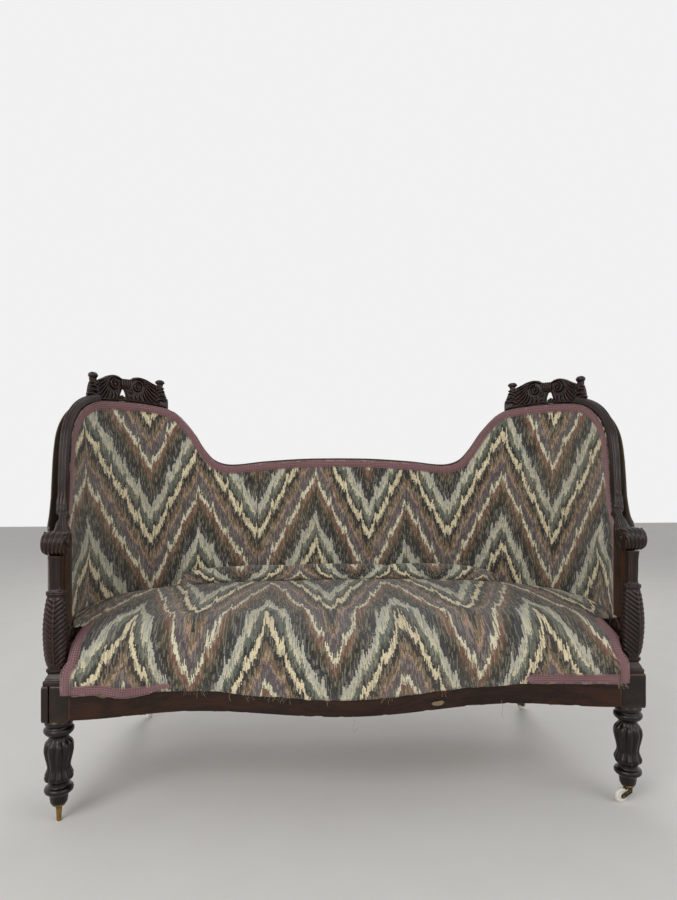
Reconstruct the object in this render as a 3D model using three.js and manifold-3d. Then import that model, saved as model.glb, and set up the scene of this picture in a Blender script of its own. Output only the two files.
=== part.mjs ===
// Double-hump settee with a curved stuffed back, carved mahogany show wood and a torn seat front.
// Millimetres, +Z up, +Y towards the back, X = 0 on the middle line.
import * as THREE from 'three';
import { mergeVertices } from 'three/addons/utils/BufferGeometryUtils.js';
import Module from 'manifold-3d';

const wasm = await Module();
wasm.setup();

// Driving dimensions: gaps
const GAP = 0.3;

// Driving dimensions: seat frame
const HALF_WIDTH = 771;
const BLOCK_SIZE = 65;
const LEG_HEIGHT = 258;
const RAIL_HEIGHT = 84;
const RAIL_THICKNESS = 28;
const RAIL_LIFT = 4;
const RAIL_BOW = 21;
const RAIL_HOLLOW = 42;
const RAIL_HOLLOW_AT = 420;
const RAIL_STEPS = 28;
const RAIL_FLARE = 80;
const SPLIT_STRIP_WIDTH = 17;
const SPLIT_WIDTH = 3;
const SPLIT_FOOT = 6;
const LEG_LOBES = 10;
const LEG_SEGMENTS = 20;

// Driving dimensions: plan and wall of the back
const BACK_DEPTH = 562;
const ARM_SPREAD = 768;
const ARM_SPREAD_DEPTH = 205;
const PAD_THICKNESS = 20.5;
const PAD_BULGE = 13;
const FRAME_THICKNESS = 26;
const OUTSIDE_COVER = 3;
const PANEL_FRONT_SETBACK = 30;
const OUTSIDE_COVER_SETBACK = 33;
const WING_EDGE_SETBACK = 139;
const VALLEY_AT = 372;
const CURVE_STEP = 31;
const HUMP_RAIL_BEHIND_WING = 160;

// Driving dimensions: heights of the back
const CENTRE_TOP = 907;
const VALLEY_TOP = 886;
const HUMP_TOP = 1084;
const ARM_TOP = 728;
const TOP_RAIL_HEIGHT = 36;
const TOP_RAIL_SHOWS = 7;

// Driving dimensions: seat
const SEAT_SIDE_ABOVE_RAIL = 116;
const SEAT_CROWN = 14;
const SEAT_RISE = 30;
const SEAT_NOSE = 110;
const SEAT_LEVEL_FROM = 400;
const COVER_THICKNESS = 3;
const SKIRT_DROP_SIDE = 18;
const SKIRT_DROP_CENTRE = 39;
const SPRING_WELL_HALF = 505;
const SPRING_WELL_FRONT = 90;
const SPRING_WELL_BACK = 470;
const SPRING_WELL_ROOF = 28;

// Driving dimensions: roll tucked along the back of the seat
const ROLL_HALF_LENGTH = 560;
const ROLL_HEIGHT = 60;
const ROLL_DEPTH = 88;
const ROLL_STEPS = 18;
const ROLL_SIDES = 12;

// Driving dimensions: arm supports
const PLINTH_HEIGHT = 41;
const PLINTH_SIZE = 58;
const LEAF_HEIGHT = 182;
const LEAF_WIDTH = 55;
const COLLAR_HEIGHT = 13;
const COLLAR_WIDTH = 47;
const NECK_HEIGHT = 86;
const NECK_WIDTH = 31;
const SUPPORT_CENTRE_Y = 16;
const REAR_VOLUTE_RADIUS = 27;
const STUMP_WIDTH = 25;
const STUMP_DEPTH = 46;
const STUMP_SETBACK = 5;
const SCROLL_RADIUS = 30;
const SCROLL_LENGTH = 58;
const ARM_RAIL_WIDTH = 27;
const ARM_RAIL_DEPTH = 22;
const REED_DEPTH = 3;

// Driving dimensions: crests
const CREST_WIDTH = 266;
const CREST_BEHIND_WING = 129;
const CREST_THICKNESS = 22;
const CREST_HEIGHT = 78;
const CREST_KNOB_RADIUS = 13;
const CREST_KNOB_HEIGHT = 66;
const CREST_KNOB_INSETS = { outer: 23, inner: 31 };
const CREST_HOLE_WIDTH = 20;
const CREST_HOLE_HEIGHT = 21;

// Driving dimensions: braid
const BRAID_WIDTH = 20;
const BRAID_THICKNESS = 2.4;
const FRONT_BRAID_LENGTH = 217;
const FRONT_BRAID_STEPS = 8;

// Driving dimensions: back legs
const BACK_LEG_AT = 598;
const BACK_LEG_SIZE = 44;
const BACK_LEG_FOOT_SIZE = 29;
const BACK_LEG_PROUD = 14;
const BACK_FOOT_X = 655;
const BACK_FOOT_Y = 655;

// Driving dimensions: casters
const WHEEL_RADIUS = 19;
const WHEEL_WIDTH = 14;
const CASTER_TRAIL = 22;
const CUP_RADIUS = 16;
const CUP_HEIGHT = 5.2;
const CUP_LIFT = 3;
const BOSS_RADIUS = 8;
const BOSS_HEIGHT = 4.6;
const PINTLE_RADIUS = 3;
const PINTLE_HOLE_RADIUS = 3.35;
const AXLE_RADIUS = 2.5;
const AXLE_HOLE_RADIUS = 2.9;
const CHEEK_THICKNESS = 2.6;
const CHEEK_CLEARANCE = 0.8;
const HORN_THICKNESS = 3;
const FRONT_CASTER_HEADING = 193;
const BACK_CASTER_HEADINGS = { left: 95, right: 25 };

// Driving dimensions: springs and webbing
const SPRING_RADIUS = 44;
const SPRING_WAIST = 30;
const SPRING_WIRE = 3.4;
const SPRING_TURNS = 3.5;
const SPRING_COLUMNS = [-330, 0, 330];
const SPRING_ROWS = [180, 370];
const WEB_WIDTH = 52;
const WEB_THICKNESS = 2;
const WEB_EXTRA_COLUMNS = [-550, 550];

// Heights and places worked out from the driving dimensions
const blockTop = LEG_HEIGHT + RAIL_LIFT + RAIL_HEIGHT + 1;
const railBottom = LEG_HEIGHT + RAIL_LIFT;
const railTop = railBottom + RAIL_HEIGHT;
const legX = HALF_WIDTH - BLOCK_SIZE / 2;
const legY = BLOCK_SIZE / 2;
const innerFace = HALF_WIDTH - BLOCK_SIZE;
const seatSideTop = railTop + SEAT_SIDE_ABOVE_RAIL;
const frameInner = PAD_THICKNESS + GAP;
const frameOuter = frameInner + FRAME_THICKNESS;
const plinthBottom = blockTop + GAP;
const plinthTop = plinthBottom + PLINTH_HEIGHT;
const leafBottom = plinthTop + GAP;
const leafTop = leafBottom + LEAF_HEIGHT;
const neckBottom = leafTop + COLLAR_HEIGHT;
const neckTop = neckBottom + NECK_HEIGHT;
const scrollCentreY = SUPPORT_CENTRE_Y - 4;
const scrollCentreZ = neckTop + GAP + SCROLL_RADIUS;
const wheelTop = 2 * WHEEL_RADIUS;
const cupBottom = wheelTop + CUP_LIFT;
const footBottom = cupBottom + CUP_HEIGHT + GAP;
const bossBottom = cupBottom - BOSS_HEIGHT;

// Finishes
const finishes = {
  mahogany: { color: 0x3a2218, roughness: 0.38, metalness: 0 },
  fabric: { color: 0x8a7c66, roughness: 0.95, metalness: 0 },
  braid: { color: 0x7d5558, roughness: 0.92, metalness: 0 },
  lining: { color: 0x6f5a45, roughness: 0.95, metalness: 0 },
  brass: { color: 0x6b5530, roughness: 0.45, metalness: 0.9 },
  ceramic: { color: 0xe4e0d6, roughness: 0.2, metalness: 0 },
  webbing: { color: 0x9a8460, roughness: 0.95, metalness: 0 },
  steel: { color: 0x5a5148, roughness: 0.5, metalness: 0.85 },
  stuffing: { color: 0x4c3a2a, roughness: 1.0, metalness: 0 },
};
const materials = Object.fromEntries(
  Object.entries(finishes).map(([name, look]) => [name, new THREE.MeshStandardMaterial({ name, ...look })]),
);

const settee = new THREE.Group();

function addPiece(name, finish, geometry, parent = settee) {
  geometry.computeVertexNormals();
  const mesh = new THREE.Mesh(geometry, materials[finish]);
  mesh.name = name;
  parent.add(mesh);
  return mesh;
}

// Closed solids from rings of points

function signedVolume(positions, triangles) {
  let volume = 0;
  const [a, b, c] = [new THREE.Vector3(), new THREE.Vector3(), new THREE.Vector3()];
  for (let i = 0; i < triangles.length; i += 3) {
    a.fromArray(positions, triangles[i] * 3);
    b.fromArray(positions, triangles[i + 1] * 3);
    c.fromArray(positions, triangles[i + 2] * 3);
    volume += a.dot(b.cross(c)) / 6;
  }
  return volume;
}

function solidFrom(positions, triangles) {
  if (signedVolume(positions, triangles) < 0) {
    for (let i = 0; i < triangles.length; i += 3) {
      [triangles[i + 1], triangles[i + 2]] = [triangles[i + 2], triangles[i + 1]];
    }
  }
  const geometry = new THREE.BufferGeometry();
  geometry.setAttribute('position', new THREE.Float32BufferAttribute(positions, 3));
  geometry.setIndex(triangles);
  return geometry;
}

function flattened(ring) {
  const normal = new THREE.Vector3();
  ring.forEach((p, i) => {
    const q = ring[(i + 1) % ring.length];
    normal.add(new THREE.Vector3().crossVectors(p, q));
  });
  const across = new THREE.Vector3(Math.abs(normal.x) > Math.abs(normal.z) ? 0 : 1, 0, 0);
  if (across.x === 0) across.z = 1;
  normal.normalize();
  across.addScaledVector(normal, -across.dot(normal)).normalize();
  const up = new THREE.Vector3().crossVectors(normal, across);
  return ring.map((p) => new THREE.Vector2(p.dot(across), p.dot(up)));
}

function loft(rings, closed = false) {
  const count = rings[0].length;
  const positions = rings.flat().flatMap((p) => [p.x, p.y, p.z]);
  const triangles = [];
  const spans = closed ? rings.length : rings.length - 1;
  for (let i = 0; i < spans; i += 1) {
    const next = (i + 1) % rings.length;
    for (let j = 0; j < count; j += 1) {
      const k = (j + 1) % count;
      triangles.push(i * count + j, next * count + j, next * count + k);
      triangles.push(i * count + j, next * count + k, i * count + k);
    }
  }
  if (!closed) {
    const last = (rings.length - 1) * count;
    for (const [a, b, c] of THREE.ShapeUtils.triangulateShape(flattened(rings[0]), [])) {
      triangles.push(a, b, c);
    }
    for (const [a, b, c] of THREE.ShapeUtils.triangulateShape(flattened(rings.at(-1)), [])) {
      triangles.push(last + a, last + c, last + b);
    }
  }
  return solidFrom(positions, triangles);
}

function toManifold(geometry) {
  const bare = geometry.clone();
  bare.deleteAttribute('normal');
  bare.deleteAttribute('uv');
  const merged = mergeVertices(bare, 1e-3);
  return new wasm.Manifold(new wasm.Mesh({
    numProp: 3,
    vertProperties: new Float32Array(merged.attributes.position.array),
    triVerts: new Uint32Array(merged.index.array),
  }));
}

function toGeometry(manifold) {
  const mesh = manifold.getMesh();
  const geometry = new THREE.BufferGeometry();
  geometry.setAttribute('position', new THREE.Float32BufferAttribute(Array.from(mesh.vertProperties), 3));
  geometry.setIndex(Array.from(mesh.triVerts));
  return geometry;
}

function joined(...geometries) {
  return toGeometry(geometries.map(toManifold).reduce((whole, next) => whole.add(next)));
}

function cut(body, ...tools) {
  return toGeometry(tools.map(toManifold).reduce((left, tool) => left.subtract(tool), toManifold(body)));
}

function common(body, tool) {
  return toGeometry(toManifold(body).intersect(toManifold(tool)));
}

function largestOf(geometry) {
  return toGeometry(toManifold(geometry).decompose().sort((a, b) => b.volume() - a.volume())[0]);
}

function box(low, high) {
  const size = high.map((value, i) => value - low[i]);
  const geometry = new THREE.BoxGeometry(...size);
  geometry.translate(...low.map((value, i) => value + size[i] / 2));
  return geometry;
}

function mirrored(geometry) {
  const copy = geometry.clone();
  const positions = Array.from(copy.attributes.position.array);
  for (let i = 0; i < positions.length; i += 3) positions[i] = -positions[i];
  return solidFrom(positions, Array.from(copy.index.array));
}

// Turned work: a profile of [radius, height] pairs, with lobes where a row names their depth

function turned(profile, lobes, segments) {
  const rings = profile.map(([radius, height, lobeDepth = 0]) => {
    const ring = [];
    for (let i = 0; i < segments; i += 1) {
      const angle = (i / segments) * 2 * Math.PI;
      const r = radius - lobeDepth * (0.5 - 0.5 * Math.cos(lobes * angle));
      ring.push(new THREE.Vector3(r * Math.cos(angle), r * Math.sin(angle), height));
    }
    return ring;
  });
  return loft(rings);
}

function lyingDrum(centre, radius, length, segments = 20) {
  const drum = new THREE.CylinderGeometry(radius, radius, length, segments);
  drum.rotateZ(Math.PI / 2);
  drum.translate(...centre);
  return drum;
}

// Plan line of the inside of the back: half of it, from the middle to the front blocks
const planPoints = [
  [0, BACK_DEPTH],
  [200, BACK_DEPTH],
  [ARM_SPREAD - 388, BACK_DEPTH - 4],
  [ARM_SPREAD - 248, BACK_DEPTH - 40],
  [ARM_SPREAD - 113, BACK_DEPTH - 130],
  [ARM_SPREAD - 26, ARM_SPREAD_DEPTH + 106],
  [ARM_SPREAD, ARM_SPREAD_DEPTH],
  [legX + 15, BLOCK_SIZE + 68],
  [legX - 3, BLOCK_SIZE + 34],
  [legX - 6, BLOCK_SIZE + 14],
  [legX - 6, BLOCK_SIZE + GAP],
];
const halfPlan = new THREE.CatmullRomCurve3(
  planPoints.map(([x, y]) => new THREE.Vector3(x, y, 0)), false, 'centripetal',
);
halfPlan.arcLengthDivisions = 500;
const planLength = halfPlan.getLength();
const panelEnd = planLength - PANEL_FRONT_SETBACK;
const wingEdge = planLength - WING_EDGE_SETBACK;

// Height of the upholstered back's edge, by distance along the plan line
const topLine = new THREE.CatmullRomCurve3([
  [0, CENTRE_TOP],
  [120, CENTRE_TOP - 2],
  [250, (CENTRE_TOP + VALLEY_TOP) / 2],
  [VALLEY_AT, VALLEY_TOP],
  [VALLEY_AT + 44, VALLEY_TOP + 15],
  [VALLEY_AT + 74, VALLEY_TOP + 48],
  [VALLEY_AT + 120, VALLEY_TOP + 118],
  [VALLEY_AT + 180, HUMP_TOP - 21],
  [VALLEY_AT + 268, HUMP_TOP - 2],
  [wingEdge - 190, HUMP_TOP],
  [wingEdge - 130, HUMP_TOP - 6],
  [wingEdge - 80, HUMP_TOP - 28],
  [wingEdge - 42, HUMP_TOP - 64],
  [wingEdge - 18, HUMP_TOP - 105],
  [wingEdge - 4, HUMP_TOP - 160],
  [wingEdge + 6, HUMP_TOP - 230],
  [wingEdge + 14, (HUMP_TOP + ARM_TOP) / 2 - 110],
  [wingEdge + 38, ARM_TOP + 18],
  [wingEdge + 75, ARM_TOP + 4],
  [panelEnd, ARM_TOP],
].map(([x, y]) => new THREE.Vector3(x, y, 0)), false, 'centripetal').getPoints(600);

function topLineAt(s) {
  const i = topLine.findIndex((p) => p.x >= s);
  if (i < 1) return i < 0 ? ARM_TOP : topLine[0].y;
  const [a, b] = [topLine[i - 1], topLine[i]];
  return THREE.MathUtils.lerp(a.y, b.y, (s - a.x) / (b.x - a.x));
}

// Every wall breaks at the same places along the plan line, so that neighbours stay parallel
const straightBreaks = [0, 90, 180, 270, VALLEY_AT - 30];
const wingBreaks = [-42, -30, -18, -10, -4, 2, 7, 12, 20, 30, 42, 58, 75].map((step) => wingEdge + step);
const curveCount = Math.round((wingBreaks[0] - straightBreaks.at(-1)) / CURVE_STEP);
const curveBreaks = Array.from(
  { length: curveCount - 1 },
  (_, i) => THREE.MathUtils.lerp(straightBreaks.at(-1), wingBreaks[0], (i + 1) / curveCount),
);
const frames = [...straightBreaks, ...curveBreaks, ...wingBreaks, panelEnd, planLength].map((s) => {
  const point = halfPlan.getPointAt(Math.min(s / planLength, 1));
  const tangent = halfPlan.getTangentAt(Math.min(s / planLength, 1));
  return { s, x: point.x, y: point.y, outX: -tangent.y, outY: tangent.x, top: topLineAt(s) };
});
Object.assign(frames[0], { x: 0, outX: 0, outY: 1 });

function frameSpan(along) {
  const s = Math.min(Math.abs(along), planLength);
  const i = Math.max(1, frames.findIndex((frame) => frame.s >= s - 1e-9));
  const [a, b] = [frames[i - 1], frames[i]];
  return { a, b, t: (s - a.s) / (b.s - a.s) };
}

// A point given by its distance along the plan line, its distance out from it, and its height
function onPlan(along, outward, height) {
  const { a, b, t } = frameSpan(along);
  const x = THREE.MathUtils.lerp(a.x + a.outX * outward, b.x + b.outX * outward, t);
  const y = THREE.MathUtils.lerp(a.y + a.outY * outward, b.y + b.outY * outward, t);
  return new THREE.Vector3(along < 0 ? -x : x, y, height);
}

function edgeHeight(along) {
  const { a, b, t } = frameSpan(along);
  return THREE.MathUtils.lerp(a.top, b.top, t);
}

const edgePoints = frames.filter((frame) => frame.s <= panelEnd).map((frame) => new THREE.Vector2(frame.s, frame.top));

function stations(from, to, extra = []) {
  const breaks = frames.flatMap((frame) => [frame.s, -frame.s]).filter((s) => s > from + 1 && s < to - 1);
  return [...new Set([from, ...breaks, ...extra, to])].sort((a, b) => a - b);
}

// A wall that follows the plan line, with its section given at each station
function wall(from, to, section, extra) {
  return loft(stations(from, to, extra).map(
    (s) => section(s).map(([outward, height]) => onPlan(s, outward, height)),
  ));
}

// Seat frame
function railFront(x) {
  const reach = Math.abs(x);
  if (reach < RAIL_HOLLOW_AT) {
    const swing = (1 - Math.cos((Math.PI * reach) / RAIL_HOLLOW_AT)) / 2;
    return -RAIL_BOW + (RAIL_HOLLOW + RAIL_BOW) * swing;
  }
  const back = (reach - RAIL_HOLLOW_AT) / (innerFace - RAIL_HOLLOW_AT);
  return (RAIL_HOLLOW * (1 + Math.cos(Math.PI * Math.min(back, 1)))) / 2;
}

const railStations = Array.from({ length: RAIL_STEPS + 1 }, (_, i) => -1 + (2 * i) / RAIL_STEPS);

function frontRail(grow = 0) {
  const reach = innerFace - GAP + grow;
  return loft(railStations.map((share) => {
    const x = share * reach;
    const front = railFront(x) - grow;
    const back = railFront(x) + RAIL_THICKNESS + grow;
    return [
      new THREE.Vector3(x, front, railBottom - grow),
      new THREE.Vector3(x, back, railBottom - grow),
      new THREE.Vector3(x, back, railTop + grow),
      new THREE.Vector3(x, front, railTop + grow),
    ];
  }));
}

const backLegHalf = BACK_LEG_SIZE / 2 + GAP;

function sideRailOffset(s) {
  const nearness = THREE.MathUtils.clamp((planLength - Math.abs(s)) / RAIL_FLARE, 0, 1);
  return THREE.MathUtils.lerp(-RAIL_THICKNESS / 2 + 6, frameInner, nearness);
}

function rimRail(from, to) {
  return wall(from, to, (s) => {
    const inner = sideRailOffset(s);
    return [
      [inner, railBottom],
      [inner + FRAME_THICKNESS, railBottom],
      [inner + FRAME_THICKNESS, railTop],
      [inner, railTop],
    ];
  });
}

// Front legs: square block over a turned, lobed leg
const legProfile = [
  [11.5, cupBottom + CUP_HEIGHT - 3],
  [11.5, footBottom],
  [20, footBottom],
  [22.5, footBottom + 21],
  [24, footBottom + 25],
  [33, footBottom + 29],
  [35, footBottom + 35],
  [33, footBottom + 41],
  [26, footBottom + 45],
  [25.5, footBottom + 54],
  [33, footBottom + 60, 3],
  [35.5, footBottom + 69, 4],
  [32, footBottom + 77, 3],
  [28, footBottom + 88, 2.4],
  [29.5, footBottom + 101, 3],
  [34, footBottom + 120, 4],
  [36.5, footBottom + 137, 4.5],
  [34, footBottom + 150, 4],
  [25, footBottom + 162, 1.5],
  [23.5, footBottom + 169],
  [30, LEG_HEIGHT - 37],
  [36, LEG_HEIGHT - 30],
  [36, LEG_HEIGHT - 24],
  [30, LEG_HEIGHT - 17],
  [33, LEG_HEIGHT - 13],
  [34.5, LEG_HEIGHT - 8],
  [32.5, LEG_HEIGHT - 1],
  [30, LEG_HEIGHT + 2],
];

function turnedLeg(x) {
  const leg = turned(legProfile, LEG_LOBES, LEG_SEGMENTS);
  leg.translate(x, legY, 0);
  return leg;
}

const splitFrom = -HALF_WIDTH + SPLIT_STRIP_WIDTH;
const block = {
  left: box([splitFrom + SPLIT_WIDTH, 0, LEG_HEIGHT], [-innerFace, BLOCK_SIZE, blockTop]),
  right: box([innerFace, 0, LEG_HEIGHT], [HALF_WIDTH, BLOCK_SIZE, blockTop]),
};
addPiece('front_leg_left', 'mahogany', joined(block.left, turnedLeg(-legX)));
addPiece('front_leg_right', 'mahogany', joined(block.right, turnedLeg(legX)));

// The split runs through the block and closes to a hair at its foot, where the strip still holds
const splitStrip = joined(
  box([-HALF_WIDTH, 0, LEG_HEIGHT], [splitFrom, BLOCK_SIZE, blockTop]),
  box([splitFrom - 1, 0, LEG_HEIGHT], [splitFrom + SPLIT_WIDTH - GAP, BLOCK_SIZE, LEG_HEIGHT + SPLIT_FOOT]),
);
const stripClearOfLeg = turned(legProfile.map(([r, z]) => [r + GAP, z]), LEG_LOBES, LEG_SEGMENTS);
stripClearOfLeg.translate(-legX, legY, GAP);
addPiece('block_split_strip_left', 'mahogany', cut(splitStrip, stripClearOfLeg));

addPiece('front_rail', 'mahogany', frontRail());
addPiece('back_rail', 'mahogany', rimRail(-BACK_LEG_AT + backLegHalf, BACK_LEG_AT - backLegHalf));
addPiece('side_rail_right', 'mahogany', rimRail(BACK_LEG_AT + backLegHalf, planLength));
addPiece('side_rail_left', 'mahogany', mirrored(rimRail(BACK_LEG_AT + backLegHalf, planLength)));

// Back legs: sabre foot below the seat, and a thinner stile above it that holds the hump rail
const stileInner = frameInner + 1;
const legOuter = frameOuter + BACK_LEG_PROUD;

function backLeg() {
  const anchor = onPlan(BACK_LEG_AT, (stileInner + legOuter) / 2, 0);
  const sweep = new THREE.Vector3(BACK_FOOT_X, BACK_FOOT_Y, 0).sub(anchor);
  const outward = onPlan(BACK_LEG_AT, 1, 0).sub(onPlan(BACK_LEG_AT, 0, 0));
  const along = new THREE.Vector3(-outward.y, outward.x, 0);
  const foot = [[0, 1, BACK_LEG_FOOT_SIZE], [0.28, 0.52, 34], [0.64, 0.15, 40]].map(([rise, share, size]) => {
    const height = THREE.MathUtils.lerp(footBottom, railBottom, rise);
    const middle = anchor.clone().addScaledVector(sweep, share);
    return [[1, -1], [-1, -1], [-1, 1], [1, 1]].map(([a, o]) => middle.clone()
      .addScaledVector(along, (a * size) / 2)
      .addScaledVector(outward, (o * size) / 2)
      .setZ(height));
  });
  const [from, to] = [BACK_LEG_AT - BACK_LEG_SIZE / 2, BACK_LEG_AT + BACK_LEG_SIZE / 2];
  const ring = (outer, lift) => [
    onPlan(from, stileInner, lift(from)), onPlan(to, stileInner, lift(to)),
    onPlan(to, outer, lift(to)), onPlan(from, outer, lift(from)),
  ];
  return loft([
    ...foot,
    ring(legOuter, () => railBottom),
    ring(legOuter, () => railTop),
    ring(frameOuter, () => railTop + 30),
    ring(frameOuter, (s) => edgeHeight(s) + TOP_RAIL_SHOWS - TOP_RAIL_HEIGHT - 2 * GAP),
  ]);
}
const backLegRight = backLeg();
addPiece('back_leg_right', 'mahogany', backLegRight);
addPiece('back_leg_left', 'mahogany', mirrored(backLegRight));

// Arm rail: carved front scroll, spoon-shaped leaf and reeded sweep up the wing in one piece
const humpRailEnd = wingEdge - HUMP_RAIL_BEHIND_WING;

function sweepRows() {
  const rows = [];
  const from = humpRailEnd + 8;
  for (const p of edgePoints) {
    if (p.x < from || p.x > wingEdge + 30) continue;
    rows.push(p);
  }
  return rows.map((p, i) => {
    const before = rows[Math.max(0, i - 1)];
    const after = rows[Math.min(rows.length - 1, i + 1)];
    const run = new THREE.Vector2().subVectors(after, before).normalize();
    const lift = ARM_RAIL_DEPTH / 2 + GAP;
    const out = PAD_THICKNESS / 2 + 4;
    return {
      centre: onPlan(p.x - run.y * lift, out, p.y + run.x * lift),
      width: ARM_RAIL_WIDTH,
      depth: ARM_RAIL_DEPTH,
      reed: REED_DEPTH,
    };
  });
}

function armRail(grow = 0) {
  const rows = [
    ...sweepRows(),
    { centre: new THREE.Vector3(legX + 30, BLOCK_SIZE + 84, ARM_TOP + 30), width: 24, depth: 24, reed: 1 },
    { centre: new THREE.Vector3(legX + 23, BLOCK_SIZE + 52, ARM_TOP + 9), width: 29, depth: 22, reed: -2 },
    { centre: new THREE.Vector3(legX + 13, BLOCK_SIZE + 20, ARM_TOP - 5), width: 36, depth: 20, reed: -1 },
    { centre: new THREE.Vector3(legX + 2, scrollCentreY + 36, ARM_TOP - 12), width: 46, depth: 20, reed: 1 },
    { centre: new THREE.Vector3(legX, scrollCentreY + 8, scrollCentreZ + 12), width: 48, depth: 22, reed: 1 },
  ];
  const path = rows.map((row) => row.centre);
  const sweep = loft(rows.map((row, i) => {
    const tangent = new THREE.Vector3()
      .subVectors(path[Math.min(i + 1, path.length - 1)], path[Math.max(i - 1, 0)]).normalize();
    const across = new THREE.Vector3(1, 0, 0).addScaledVector(tangent, -tangent.x).normalize();
    const face = new THREE.Vector3().crossVectors(across, tangent).normalize();
    const half = row.width / 2 + grow;
    const top = -(row.depth / 2 + grow);
    const bottom = row.depth / 2 + grow;
    const valley = top + Math.max(row.reed, 0);
    const dish = top - Math.min(row.reed, 0);
    const crossSection = [
      [-half, bottom], [half, bottom], [half, top + 3], [half * 0.72, top],
      [half * 0.36, valley], [0, dish], [-half * 0.36, valley], [-half * 0.72, top], [-half, top + 3],
    ];
    return crossSection.map(([a, f]) => row.centre.clone()
      .addScaledVector(across, a)
      .addScaledVector(face, f));
  }));
  const scroll = lyingDrum([legX, scrollCentreY, scrollCentreZ], SCROLL_RADIUS + grow, SCROLL_LENGTH + 2 * grow);
  const eye = lyingDrum([legX - SCROLL_LENGTH / 2 - 1, scrollCentreY, scrollCentreZ], 9 + grow, 8 + 2 * grow, 12);
  return joined(sweep, scroll, eye);
}
const armRailRight = armRail();
const armRailSpace = armRail(GAP);

// Arm support: leaf, collar, neck and rear volute carved from one piece
function roundedSection(width, depth, y, z, pinch = 0.7) {
  const [w, d] = [width / 2, depth / 2];
  const corners = [
    [-w, -d * (1 - pinch)], [-w * (1 - pinch), -d], [w * (1 - pinch), -d], [w, -d * (1 - pinch)],
    [w, d * 0.6], [w * 0.7, d], [-w * 0.7, d], [-w, d * 0.6],
  ];
  return corners.map(([cx, cy]) => new THREE.Vector3(legX + cx, y + cy, z));
}

function armSupport() {
  const c = SUPPORT_CENTRE_Y;
  const body = loft([
    roundedSection(42, 40, c + 6, leafBottom),
    roundedSection(50, 44, c + 3, leafBottom + 24),
    roundedSection(LEAF_WIDTH, 46, c - 2, leafBottom + 62),
    roundedSection(LEAF_WIDTH, 42, c - 5, leafBottom + 96),
    roundedSection(LEAF_WIDTH - 4, 36, c - 5, leafBottom + 134),
    roundedSection(COLLAR_WIDTH - 2, 30, c - 2, leafTop - 6),
    roundedSection(COLLAR_WIDTH - 4, 28, c - 1, leafTop),
    roundedSection(COLLAR_WIDTH, 33, c - 1, leafTop + 3),
    roundedSection(COLLAR_WIDTH, 33, c - 1, neckBottom - 3),
    roundedSection(NECK_WIDTH + 2, 27, c - 1, neckBottom),
    roundedSection(NECK_WIDTH, 27, c - 2, neckBottom + 20),
    roundedSection(NECK_WIDTH, 27, c - 3, neckTop - 24),
    roundedSection(NECK_WIDTH + 5, 30, c - 4, neckTop),
  ]);
  const volute = lyingDrum([legX - 3, c + 44, leafBottom + 68], REAR_VOLUTE_RADIUS, 44, 16);
  const bridge = box([legX - 22, c, leafBottom + 46], [legX + 16, c + 40, leafBottom + 78]);
  return cut(joined(body, volute, bridge), armRailSpace);
}
const supportRight = armSupport();
addPiece('arm_support_right', 'mahogany', supportRight);
addPiece('arm_support_left', 'mahogany', mirrored(supportRight));

// Moulded plinth under each arm support
function plinth() {
  const half = PLINTH_SIZE / 2;
  const rows = [[0, 0], [0, 12], [-4, 18], [-9, 27], [-6, 34], [-6, PLINTH_HEIGHT]];
  return loft(rows.map(([inset, height]) => {
    const h = half + inset;
    const z = plinthBottom + height;
    return [[-h, -h], [h, -h], [h, h], [-h, h]]
      .map(([x, y]) => new THREE.Vector3(legX + x, legY - 1 + y, z));
  }));
}
const plinthRight = plinth();
addPiece('support_plinth_right', 'mahogany', plinthRight);
addPiece('support_plinth_left', 'mahogany', mirrored(plinthRight));

// Stump behind the neck, from the rear volute up to the arm rail
const stumpFront = SUPPORT_CENTRE_Y + 14 + STUMP_SETBACK;
const stumpBottom = leafBottom + 68 + REAR_VOLUTE_RADIUS + GAP;
const stump = cut(
  box(
    [legX - 3 - STUMP_WIDTH / 2, stumpFront, stumpBottom],
    [legX - 3 + STUMP_WIDTH / 2, stumpFront + STUMP_DEPTH, ARM_TOP - ARM_RAIL_DEPTH / 2],
  ),
  armRailSpace,
);
const stumpBelowRail = largestOf(stump);
addPiece('arm_stump_right', 'mahogany', stumpBelowRail);
addPiece('arm_stump_left', 'mahogany', mirrored(stumpBelowRail));
addPiece('arm_rail_right', 'mahogany', armRailRight);
addPiece('arm_rail_left', 'mahogany', mirrored(armRailRight));

// Top rails: a middle length between the humps, and one over each hump
function topRail(from, to, grow = 0) {
  return wall(from, to, (s) => {
    const top = edgeHeight(s) + TOP_RAIL_SHOWS + grow;
    return [
      [frameInner, top - TOP_RAIL_HEIGHT],
      [frameOuter, top - TOP_RAIL_HEIGHT],
      [frameOuter, top - 3],
      [frameOuter - 4, top],
      [frameInner + 3, top],
      [frameInner, top - 3],
    ];
  });
}
addPiece('top_rail_centre', 'mahogany', topRail(-VALLEY_AT, VALLEY_AT));
const humpRail = cut(topRail(VALLEY_AT + GAP, humpRailEnd), armRailSpace);
addPiece('hump_rail_right', 'mahogany', humpRail);
addPiece('hump_rail_left', 'mahogany', mirrored(humpRail));

// Middle stiles, from the seat rail to the ends of the middle top rail
function stile() {
  const [from, to] = [VALLEY_AT - 46, VALLEY_AT - 6];
  return wall(from, to, (s) => [
    [frameInner, railTop + GAP],
    [frameOuter, railTop + GAP],
    [frameOuter, edgeHeight(s) + TOP_RAIL_SHOWS - TOP_RAIL_HEIGHT - GAP],
    [frameInner, edgeHeight(s) + TOP_RAIL_SHOWS - TOP_RAIL_HEIGHT - GAP],
  ]);
}
const stileRight = stile();
addPiece('back_stile_right', 'mahogany', stileRight);
addPiece('back_stile_left', 'mahogany', mirrored(stileRight));

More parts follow.
